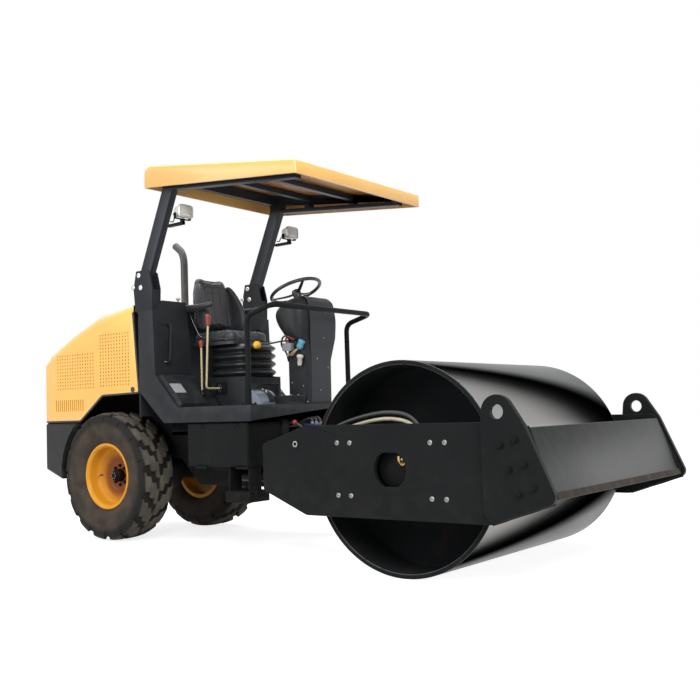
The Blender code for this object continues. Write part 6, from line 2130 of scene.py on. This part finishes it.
    def levers(self) -> dict[str, Shape]:
        """The short straight lever and the tall cranked one, with their knobs and boots.

        Returns:
            The parts by name.
        """
        x, y = self.short_lever
        (start, _), (end, _) = self.ramp
        foot = self.ramp_point((x - start) / (end - start))[1]
        short = tube([(x, y, foot + 0.01), (x, y, 1.2), (x, y, 1.43)], 0.0078, 18, (1, 0, 0))
        short_knob = self.knob((x, y, 0.0), (0, 0, 1), 1.4255, 1.478, 0.0218)
        t = np.linspace(0.0, 1.0, 24)
        cuff = lathe(np.stack((0.024 - 0.0145 * t + 0.0022 * np.cos(t * TAU * 3), foot + 0.004 + 0.04 * t), 1),
                     (x, y, 0.0), steps=32)
        tall_path = fillet([(-1.985, -0.2003, 1.12), (-1.985, -0.35, 1.12), (-1.955, -0.35, 1.6)], 0.024, 8,
                           closed=False)
        tall = sweep(tall_path, ring(0.0078, 18), (1.0, 0.0, 0.02))
        tall_knob = self.knob((-1.9555, -0.35, 1.5755), (0.045, 0, 1), 0.0, 0.086, 0.0225)
        plate = slab(fillet([(-2.03, 1.075), (-1.92, 1.075), (-1.92, 1.165), (-2.03, 1.165)], 0.012, 3), -0.206,
                     -0.2002, Plane.SIDE)
        gate = box((-1.998, -1.972), (-0.215, -0.2058), (1.09, 1.15))
        nut = studs(hexagon_bolt(0.026), [(-1.985, -0.206, 1.12)], (0, -1, 0))
        return {"rods": short + tall, "short_knob": short_knob, "tall_knob": tall_knob, "cuff": cuff,
                "plate": plate, "gate": gate, "nut": nut}

    def pedal(self) -> dict[str, Shape]:
        """The quarter-round cover, the strap over it with three bolts, and the box behind.

        Returns:
            The parts by name.
        """
        (x, z), y = self.pedal_place, self.pedal_y
        a = np.linspace(0.0, math.pi / 2, 36)
        outer = np.stack((x + 0.1097 * np.cos(a), z + 0.1097 * np.sin(a)), 1)
        cover = slab(np.vstack(([(x, z)], outer)), *y, Plane.SIDE)
        band = np.vstack((outer[4:], (outer[4:] - (x, z))[::-1] * 1.045 + (x, z)))
        strap = slab(band, -0.222, -0.168, Plane.SIDE)
        flap = slab([(x - 0.016, z + 0.1105), (x - 0.016, z + 0.156), (x - 0.011, z + 0.156), (x - 0.011, z + 0.115),
                     (x + 0.012, z + 0.115), (x + 0.012, z + 0.1105)], -0.222, -0.168, Plane.SIDE)
        spots = []
        for turn, level in ((1.36, -0.195), (1.15, -0.183), (0.94, -0.207)):
            spots.append((x + 0.1145 * math.cos(turn), level, z + 0.1145 * math.sin(turn)))
        bolts = total(rivet(0.017).by(facing((p[0] - x, 0.0, p[2] - z), p)) for p in spots)
        back = box((-1.685, -1.617), (-0.198, 0.032), (z, 1.14))
        lip = box((-1.689, -1.613), (-0.202, 0.036), (1.132, 1.1415))
        return {"cover": cover, "strap": strap + flap, "bolts": bolts, "box": back + lip}

    def mat(self) -> Shape:
        """Anti-slip buttons on the deck's walkways: low six-sided studs in staggered rows.

        Returns:
            The form, in the machine's frame.
        """
        unit = lathe([(0.0085, 0.0), (0.0078, 0.0022), (0.0045, 0.0026)], steps=6)
        pitch = self.stud_pitch
        spots = np.vstack([grid_of(np.arange(-1.955 + shift, -1.32, pitch), np.arange(-0.6 + shift, 0.601, pitch))
                           for shift in (0.0, pitch / 2)])
        x, y = spots.T
        free = (np.abs(y) > 0.235) | (x > -1.715)
        free &= ~((x > -1.71) & (x < -1.465) & (y > -0.36) & (y < 0.06))
        free &= ~((x > -1.575) & (y > -0.19) & (y < 0.385)) & ~((x > -1.44) & (np.abs(np.abs(y) - 0.563) < 0.07))
        spots = spots[free]
        return copies(unit, np.insert(spots, 2, self.top, axis=1))

    def build(self, f: Finishes) -> None:
        """The deck and all that stands on it.

        Args:
            f: The machine's finishes.
        """
        make(self.platform(), "deck_plate", f.deck_black, replaces=["platform"], angle=40)
        for side in Side:
            make(self.box_body(side), f"side_housing_{side.word}", f.deck_black,
                 replaces=[f"bulkhead_{side.word}"], angle=45)
            make(self.tray(side), f"ramp_cover_{side.word}", f.deck_black, bevel=0.002)
            make(self.on_tray([(0.34, 0.48), (0.62, 0.48), (0.62, 0.59), (0.34, 0.59)], 0.0225, 0.025, side),
                 f"ramp_blank_plate_{side.word}", f.blank_plate, bevel=0.0006)
            # a thin dark strip on the cover that paints the shade of a slot
            make(self.on_tray([(0.24, 0.345), (0.8, 0.345), (0.8, 0.405), (0.24, 0.405)], 0.0225, 0.0245, side),
                 f"ramp_slot_{side.word}", f.hose, bevel=0.0005)
            near = [(-2.2262, side.value * y, z)
                    for y, z in ((0.462, 1.588), (0.47, 1.566), (0.529, 1.326), (0.515, 1.322))]
            make(studs(rivet(0.014), near, (1, 0, 0)), f"housing_rivets_{side.word}", f.zinc)
        make(self.handrail(), "guard_rail", f.black, replaces=["handrail"])
        make(self.rail_feet(), "guard_rail_feet", f.black, bevel=0.001)
        parts = self.levers()
        make(parts["rods"], "lever_rods", f.beige, replaces=["lever_short", "lever_tall"])
        make(parts["short_knob"] + parts["tall_knob"], "lever_knobs", f.knob_red, angle=60)
        make(parts["cuff"], "lever_cuff", f.bellows, angle=70)
        make(parts["plate"], "lever_plate", f.black, bevel=0.0015)
        make(parts["gate"], "lever_gate", f.hose, bevel=0.001)
        make(parts["nut"], "lever_nut", f.zinc)
        parts = self.pedal()
        make(parts["cover"], "pedal_round", f.pedal_grey, bevel=0.003, replaces=["pedal_cover"], angle=50)
        make(parts["strap"], "pedal_strap", f.deck_black, bevel=0.0008, angle=50)
        make(parts["bolts"], "pedal_bolts", f.washer_pale)
        make(parts["box"], "pedal_box", f.deck_black, bevel=0.003)
        make(self.mat(), "deck_studs", f.deck_black, angle=60)


# Rear chassis


@dataclass
class Chassis:
    """The rear frame, axle, counterweight, side boxes with steps, engine, valve block and steering cylinders."""

    box_face: float = 0.62
    bracket_x: tuple[float, float] = (-1.767, -1.437)
    hinge_x: tuple[tuple[float, float], ...] = ((-1.835, -1.728), (-1.456, -1.347))
    cylinder_y: float = 0.38
    cylinder_z: float = 0.495
    bores: tuple[float, ...] = (-2.98, -2.89, -2.79, -2.7)
    fan_z: float = 1.06

    def brackets(self, side: Side) -> Shape:
        """The two V-shaped catches under the deck's skirt on a side box.

        Args:
            side: The machine's side.

        Returns:
            The form, in the machine's frame.
        """
        vee = [(-0.022, 0.0), (0.0, 0.022), (0.022, 0.0), (0.022, -0.01), (0.0, 0.01), (-0.022, -0.01)]
        y = self.box_face
        parts = [slab([(x + u, 0.842 + v) for u, v in vee], y - 0.001, y + 0.007, Plane.SIDE) for x in self.bracket_x]
        parts += [box((a, b), (y - 0.008, y + 0.004), (0.561, 0.574)) for a, b in self.hinge_x]
        parts += [lathe([(0.0045, a), (0.0045, b)], (0.0, y - 0.003, 0.5665), (1, 0, 0), 16) for a, b in self.hinge_x]
        return total(parts).sided(side)

    def lid(self, side: Side) -> Shape:
        """The side box's cover sheet, 3 mm proud with rounded corners."""
        line = fillet([(-1.902, 0.588), (-1.353, 0.588), (-1.353, 0.862), (-1.902, 0.862)], 0.014, 4)
        return slab(line, self.box_face - 0.002, self.box_face + 0.0025, Plane.SIDE).sided(side)

    def treads(self, side: Side) -> Shape:
        """Raised round grips on the step, in three staggered rows."""
        unit = lathe(fillet([(0.01, -0.001), (0.008, 0.0035), (0.0055, 0.0035), (0.005, 0.001)], 0.0006, 1),
                     steps=14, closed=True)
        spots = grid_of(np.linspace(-1.535, -1.361, 8), np.linspace(0.445, 0.597, 6))
        return copies(unit, np.insert(spots, 2, 0.412, axis=1)).sided(side)

    def weight_marks(self) -> Shape:
        """Bolts that hold the counterweight, three a side on its rear face."""
        spots = [(-3.5405, s * y, z) for s in (-1, 1) for y, z in ((0.24, 0.8), (0.52, 0.8), (0.52, 0.62))]
        return studs(hexagon_bolt(0.034), spots, (-1, 0, 0))

    def axle_parts(self) -> Shape:
        """The differential's cover with its ring of bolts and the axle arms' collars.

        Returns:
            The form, in the machine's frame.
        """
        cover = lathe(fillet([(0.128, 0.0), (0.128, 0.012), (0.095, 0.022), (0.05, 0.034), (0.004, 0.036)], 0.005, 2,
                             closed=False), (-2.968, 0.0, 0.485), (-1, 0, 0), 48)
        a = np.arange(10) * TAU / 10
        spots = [(-2.9795, 0.114 * math.cos(t), 0.485 + 0.114 * math.sin(t)) for t in a]
        plug = lathe([(0.013, 0.0), (0.013, 0.012), (0.01, 0.014)], (-3.003, 0.0, 0.485), (-1, 0, 0), 6)
        return cover + studs(hexagon_bolt(0.018), spots, (-1, 0, 0)) + plug

    def engine(self) -> dict[str, Shape]:
        """The engine inside the block's box: crankcase, head, rocker cover, manifolds, filter, radiator and fan.

        Returns:
            The parts by name.
        """
        crank = rounded(slab(fillet([(-3.05, 0.8), (-2.64, 0.8), (-2.62, 0.86), (-2.62, 1.08),
                                     (-3.06, 1.08), (-3.06, 0.86)], 0.02, 3), -0.19, 0.19, Plane.SIDE), 0.012)
        ribs = [box((x, x + 0.012), (-0.202, 0.202), (0.86, 1.06)) for x in np.arange(-3.02, -2.65, 0.074)]
        head = box((-3.03, -2.65), (-0.14, 0.14), (1.07, 1.19))
        rocker = rounded(box((-3.01, -2.67), (-0.085, 0.085), (1.19, 1.27)), 0.022, 4)
        ridges = [box((x, x + 0.006), (-0.07, 0.07), (1.268, 1.276)) for x in np.arange(-2.98, -2.7, 0.035)]
        filler = lathe([(0.03, 1.265), (0.03, 1.29), (0.024, 1.296), (0.004, 1.297)], (-2.74, 0.0, 0.0), steps=12)
        runners = [sweep(smooth([(x, 0.135, 1.13), (x, 0.175, 1.14), (x, 0.205, 1.17), (x + 0.01, 0.21, 1.19)],
                                5), ring(0.019, 16), (1, 0, 0)) for x in self.bores]
        log = tube([(-3.0, 0.21, 1.19), (-2.84, 0.21, 1.19), (-2.68, 0.21, 1.19)], 0.028, 20, (0, 0, 1))
        riser = tube(smooth([(-2.72, 0.205, 1.2), (-2.722, 0.19, 1.27), (-2.72, 0.162, 1.33),
                             (-2.72, 0.16, 1.376)], 6), 0.026, 20, (1, 0, 0))
        intake = [tube(smooth([(x, -0.135, 1.13), (x, -0.175, 1.14), (x, -0.2, 1.15)], 5), 0.021, 16, (1, 0, 0))
                  for x in self.bores]
        plenum = rounded(box((-3.01, -2.67), (-0.236, -0.184), (1.115, 1.19)), 0.018, 3)
        can = lathe(fillet([(0.004, -3.01), (0.07, -3.005), (0.072, -2.99), (0.072, -2.76), (0.076, -2.758),
                            (0.076, -2.735), (0.07, -2.733), (0.055, -2.715), (0.004, -2.712)], 0.004, 2,
                           closed=False), (0.0, -0.178, 1.288), (1, 0, 0), 48)
        hose = tube(smooth([(-2.716, -0.178, 1.288), (-2.68, -0.18, 1.275), (-2.665, -0.2, 1.22),
                            (-2.69, -0.208, 1.18)], 7), 0.026, 20)
        core = box((-3.17, -3.122), (-0.258, 0.258), (0.81, 1.35))
        tanks = [rounded(box((-3.178, -3.114), (-0.266, 0.266), z), 0.012, 3) for z in ((0.785, 0.83), (1.325, 1.376))]
        fins = [box((-3.121, -3.118), (-0.25, 0.25), (z, z + 0.004)) for z in np.arange(0.84, 1.315, 0.012)]
        shroud = lathe(fillet([(0.215, 0.0), (0.205, 0.03), (0.2, 0.03), (0.21, 0.0)], 0.002, 2),
                       (-3.114, 0.0, self.fan_z), (1, 0, 0), 64, closed=True)
        boss = lathe([(0.05, 0.0), (0.05, 0.03), (0.03, 0.034), (0.004, 0.036)], (-3.098, 0.0, self.fan_z),
                     (1, 0, 0), 32)
        blades = []
        t, v = np.linspace(0.0, 1.0, 10), np.linspace(0.0, 1.0, 8)
        r = 0.045 + 0.15 * t[:, None]
        for number in range(7):
            sweep_angle = number * TAU / 7 + (v[None] - 0.5) * 0.5 + 0.12 * t[:, None]
            x = -3.085 + (v[None] - 0.5) * 0.03 + 0 * r
            top_side = np.stack((x, r * np.cos(sweep_angle), self.fan_z + r * np.sin(sweep_angle)), -1)
            loop = np.concatenate((top_side, top_side[:, ::-1] + (0.003, 0.0, 0.0)), axis=1)
            blades.append(net(loop, (False, True), caps=True))
        pulley = lathe(fillet([(0.075, 0.0), (0.075, 0.006), (0.064, 0.012), (0.075, 0.018), (0.075, 0.024),
                               (0.02, 0.024), (0.02, 0.0)], 0.002, 2), (-3.085, 0.0, 0.9), (1, 0, 0), 48,
                       closed=True)
        return {"cast": crank + total(ribs) + head + total(runners) + log + riser,
                "cover": rocker + total(ridges) + filler, "dark": can + hose + plenum + total(intake),
                "radiator": core + total(tanks) + total(fins) + shroud, "fan": boss + total(blades) + pulley}

    def gland(self, side: Side) -> Shape:
        """The barrel's end ring, its two port blocks and their short unions.

        Args:
            side: The machine's side.

        Returns:
            The form, in the machine's frame.
        """
        y, z = side.value * self.cylinder_y, self.cylinder_z
        head = lathe(fillet([(0.0355, -0.03), (0.039, -0.028), (0.039, -0.006), (0.035, 0.0005), (0.0192, 0.0005),
                             (0.0192, -0.03)], 0.0015, 2), (-1.242, y, z), (1, 0, 0), 40, closed=True)
        parts = [head]
        for x in (-1.65, -1.3):
            parts.append(rounded(box((x - 0.016, x + 0.016), (y - 0.014, y + 0.014), (z + 0.026, z + 0.046)), 0.003, 2))
            parts.append(hexagon_bolt(0.026).moved(x, y, z + 0.046))
        return total(parts)

    def ports(self) -> dict[str, Shape]:
        """The valve block's unions, the red cap and the short hoses that run back under the deck.

        Returns:
            The parts by name.
        """
        unions = studs(hexagon_bolt(0.026), [(-1.23, y, 0.846) for y in (-0.075, -0.03, 0.015)], (0, 0, 1))
        side_unions = studs(hexagon_bolt(0.026), [(-1.23, -0.105, 0.81), (-1.262, -0.105, 0.795)], (0, -1, 0))
        lines = []
        for k, y in enumerate((-0.075, -0.03, 0.015)):
            lines.append(tube(smooth([(-1.23, y, 0.858), (-1.232, y, 0.872), (-1.262, y - 0.004, 0.88 + 0.004 * k),
                                      (-1.32, y - 0.01, 0.862), (-1.42, y - 0.02, 0.835),
                                      (-1.52, y - 0.02, 0.842)], 8), 0.0095, 16))
        drop = tube(smooth([(-1.23, -0.118, 0.81), (-1.232, -0.15, 0.812), (-1.26, -0.18, 0.836),
                            (-1.3, -0.194, 0.862), (-1.345, -0.196, 0.85), (-1.42, -0.19, 0.8)], 8), 0.0095, 16,
                    (0, 0, 1))
        cap = lathe(fillet([(0.0115, 0.0), (0.0165, 0.002), (0.0165, 0.02), (0.012, 0.022)], 0.001, 2, closed=False),
                    (-1.283, -0.19, 0.852), (-0.8, -0.22, 0.55), 24)
        return {"unions": unions + side_unions, "lines": total(lines) + drop, "cap": cap}

    def frame_seams(self) -> Shape:
        """Welds where the cross members meet the rails.

        Returns:
            The form, in the machine's frame.
        """
        seams = []
        for side in Side:
            for x in (-2.05, -2.48):
                y = side.value * 0.2035
                seams.append(bead([(x - 0.03, y, 0.7755), (x + 0.03, y, 0.7755)], 0.005))
        return total(seams)

    def splash_sheets(self) -> Shape:
        """The bolted upright sheets on the rails that close the engine bay, and the strips under the hood's foot.

        Returns:
            The form, in the machine's frame.
        """
        outline = [(-3.115, 0.779), (-2.435, 0.779), (-2.435, 1.12), (-3.5, 1.12), (-3.5, 0.8895),
                   (-3.115, 0.8895)]
        rows = []
        for side in Side:
            low, high = sorted(side.value * y for y in (0.2745, 0.2775))
            spots = [(x, side.value * 0.2775, z) for x in np.linspace(-3.08, -2.47, 5) for z in (0.8, 1.095)]
            rows += [slab(outline, low, high, Plane.SIDE), studs(hexagon_bolt(0.015), spots, (0, float(side.value), 0)),
                     box((-3.548, -3.125), sorted((side.value * 0.585, side.value * 0.603)), (0.884, 0.926))]
        return total(rows) + box((-3.548, -3.532), (-0.585, 0.585), (0.884, 0.926))

    def build(self, f: Finishes) -> None:
        """The chassis and what is fixed to it.

        Args:
            f: The machine's finishes.
        """
        skin("rear_frame", f.frame_black, 0.003, 2)
        skin("rear_axle", f.frame_black, 0.004, 2, 35)
        make(self.axle_parts(), "axle_cover", f.frame_black)
        skin("counterweight", f.weight_black, 0.008, 3)
        make(self.weight_marks(), "weight_bolts", f.frame_black)
        make(self.frame_seams(), "frame_welds", f.frame_black)
        make(self.splash_sheets(), "splash_sheets", f.frame_black, bevel=0.0008)
        parts = self.engine()
        make(parts["cast"], "engine_castings", f.cast, bevel=0.002, replaces=["engine_block"],
             angle=40)
        make(parts["cover"], "engine_cover", f.exhaust, bevel=0.001)
        make(parts["dark"], "engine_intake", f.plastic, angle=50)
        make(parts["radiator"], "radiator", f.frame_black, bevel=0.0008)
        make(parts["fan"], "engine_fan", f.plastic, angle=50)
        skin("valve_block", f.blue, 0.003, 2)
        parts = self.ports()
        make(parts["unions"], "valve_unions", f.zinc)
        make(parts["lines"], "valve_lines", f.hose)
        make(parts["cap"], "valve_red_cap", f.cap_red)
        for side in Side:
            word = side.word
            skin(f"side_box_{word}", f.frame_black, 0.003, 2)
            make(self.lid(side), f"side_box_lid_{word}", f.black, bevel=0.0008)
            make(self.brackets(side), f"side_box_catches_{word}", f.black, bevel=0.0008)
            make(self.treads(side), f"step_grips_{word}", f.frame_black, angle=60)
            skin(f"cylinder_barrel_{word}", f.black, 0.0015, 2, 40)
            make(self.gland(side), f"cylinder_gland_{word}", f.black, f"steer_cylinder_{word}")
            skin(f"cylinder_rod_{word}", f.bright, 0.0015, 2, 40)


ASSEMBLIES = (Drum, DrumFrame, Wheels, Hood, Roof, Seat, Console, Deck, Chassis)


# Studio


@dataclass
class Studio:
    """Floor, sky, lamps and camera."""

    camera_at: Point = (2.882, -5.227, 0.929)
    yaw: float = 39.2
    pitch: float = 3.76
    roll: float = -1.72
    focal: float = 940.5
    centre: tuple[float, float] = (300.0, 350.0)
    frame_side: float = 700.0
    sensor: float = 36.0
    sky: float = 0.42
    floor_glow: float = 0.8
    floor_half: float = 60.0

    def camera(self) -> None:
        """The photograph's viewpoint."""
        yaw, pitch, roll = (math.radians(a) for a in (self.yaw, self.pitch, self.roll))
        ahead = Vector((-math.sin(yaw) * math.cos(pitch), math.cos(yaw) * math.cos(pitch), math.sin(pitch)))
        right = Vector((math.cos(yaw), math.sin(yaw), 0.0))
        up = right.cross(ahead)
        side = math.cos(roll) * right + math.sin(roll) * up
        top = math.cos(roll) * up - math.sin(roll) * right
        data = bpy.data.cameras.new("camera")
        data.sensor_width = self.sensor
        data.lens = self.focal * self.sensor / self.frame_side
        data.shift_x = (self.frame_side / 2 - self.centre[0]) / self.frame_side
        data.shift_y = (self.centre[1] - self.frame_side / 2) / self.frame_side
        camera = bpy.data.objects.new("camera", data)
        bpy.context.scene.collection.objects.link(camera)
        matrix = Matrix((side, top, -ahead)).transposed().to_4x4()
        matrix.translation = Vector(self.camera_at) + Vector(SHIFT)
        camera.matrix_world = matrix
        bpy.context.scene.camera = camera

    @staticmethod
    def seen(graph: Graph) -> Wire:
        """1 for the camera's, glossy and transmission rays, and 0 for the light that falls on the machine."""
        rays = [graph.node("ShaderNodeLightPath", outlet=o)
                for o in ("Is Camera Ray", "Is Glossy Ray", "Is Transmission Ray")]
        return rays[0].top(rays[1]).top(rays[2])

    def floor(self) -> None:
        """A pale floor, bright enough to be white, that keeps a faint shadow."""
        g = Graph("pale_floor")
        g.set(Base_Color=g.mix(g.noise(0.6, 3.0), (0.52, 0.52, 0.52), (0.54, 0.54, 0.54)), Roughness=0.9,
              Specular_IOR_Level=0.0, Emission_Color=(1.0, 1.0, 1.0))
        g.set(Emission_Strength=self.seen(g) * self.floor_glow)
        h = self.floor_half
        grid = np.array([[[-h, -h, -0.002], [h, -h, -0.002]], [[-h, h, -0.002], [h, h, -0.002]]])
        mesh = bpy.data.meshes.new("floor")
        mesh.from_pydata(grid.reshape(-1, 3).tolist(), [], [(0, 1, 3, 2)])
        mesh.materials.append(g.material)
        floor = bpy.data.objects.new("floor", mesh)
        bpy.context.scene.collection.objects.link(floor)

    def world(self) -> None:
        """A white surround that lights the machine softly."""
        world = bpy.data.worlds.new("surround")
        bpy.context.scene.world = world
        world.use_nodes = True
        tree = world.node_tree
        tree.nodes.clear()
        path = tree.nodes.new("ShaderNodeLightPath")
        first = tree.nodes.new("ShaderNodeMath")
        first.operation = "MAXIMUM"
        second = tree.nodes.new("ShaderNodeMath")
        second.operation = "MAXIMUM"
        level = tree.nodes.new("ShaderNodeMapRange")
        level.inputs["To Min"].default_value = self.sky
        level.inputs["To Max"].default_value = 1.0
        light = tree.nodes.new("ShaderNodeBackground")
        light.inputs["Color"].default_value = (1.0, 1.0, 1.0, 1.0)
        out = tree.nodes.new("ShaderNodeOutputWorld")
        tree.links.new(path.outputs["Is Camera Ray"], first.inputs[0])
        tree.links.new(path.outputs["Is Glossy Ray"], first.inputs[1])
        tree.links.new(first.outputs[0], second.inputs[0])
        tree.links.new(path.outputs["Is Transmission Ray"], second.inputs[1])
        tree.links.new(second.outputs[0], level.inputs["Value"])
        tree.links.new(level.outputs[0], light.inputs["Strength"])
        tree.links.new(light.outputs[0], out.inputs["Surface"])

    @staticmethod
    def softbox(name: str, place: Point, aim: Point, width: float, height: float, power: float,
                colour: Colour = (1.0, 1.0, 1.0)) -> None:
        """A rectangular lamp that looks at a point.

        Args:
            name: The lamp's name.
            place: Where it hangs.
            aim: The point it looks at.
            width: Its width.
            height: Its height.
            power: The lamp's watts.
            colour: The light's colour.
        """
        data = bpy.data.lights.new(name, "AREA")
        data.shape = "RECTANGLE"
        data.size, data.size_y = width, height
        data.energy = power
        data.color = colour
        lamp = bpy.data.objects.new(name, data)
        bpy.context.scene.collection.objects.link(lamp)
        lamp.location = Vector(place) + Vector(SHIFT)
        lamp.rotation_euler = (Vector(aim) - Vector(place)).to_track_quat("-Z", "Y").to_euler()

    def build(self) -> None:
        """Everything round the machine."""
        self.camera()
        self.floor()
        self.world()
        middle = (-1.3, 0.0, 1.0)
        self.softbox("key", (4.5, -5.0, 6.0), middle, 5.0, 4.0, 620.0, (1.0, 0.985, 0.96))
        self.softbox("overhead", (-1.5, 0.5, 7.5), middle, 7.0, 5.0, 560.0)
        self.softbox("side", (-4.5, -6.5, 3.5), middle, 4.0, 3.0, 200.0, (0.97, 0.985, 1.0))
        self.softbox("far", (4.2, 7.6, 1.9), (0.0, 0.0, 0.6), 3.4, 1.6, 40.0)
        bpy.context.scene.view_settings.view_transform = "Standard"


def keep_sizes() -> None:
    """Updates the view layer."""
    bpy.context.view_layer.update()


def main() -> None:
    """Builds the studio and then each part of the machine."""
    logging.basicConfig(level=logging.INFO, format="%(message)s")
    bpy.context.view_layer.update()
    finishes = Finishes()
    Studio().build()
    for part in ASSEMBLIES:
        part().build(finishes)
    keep_sizes()
    bpy.context.view_layer.update()


if __name__ == "__main__":
    main()
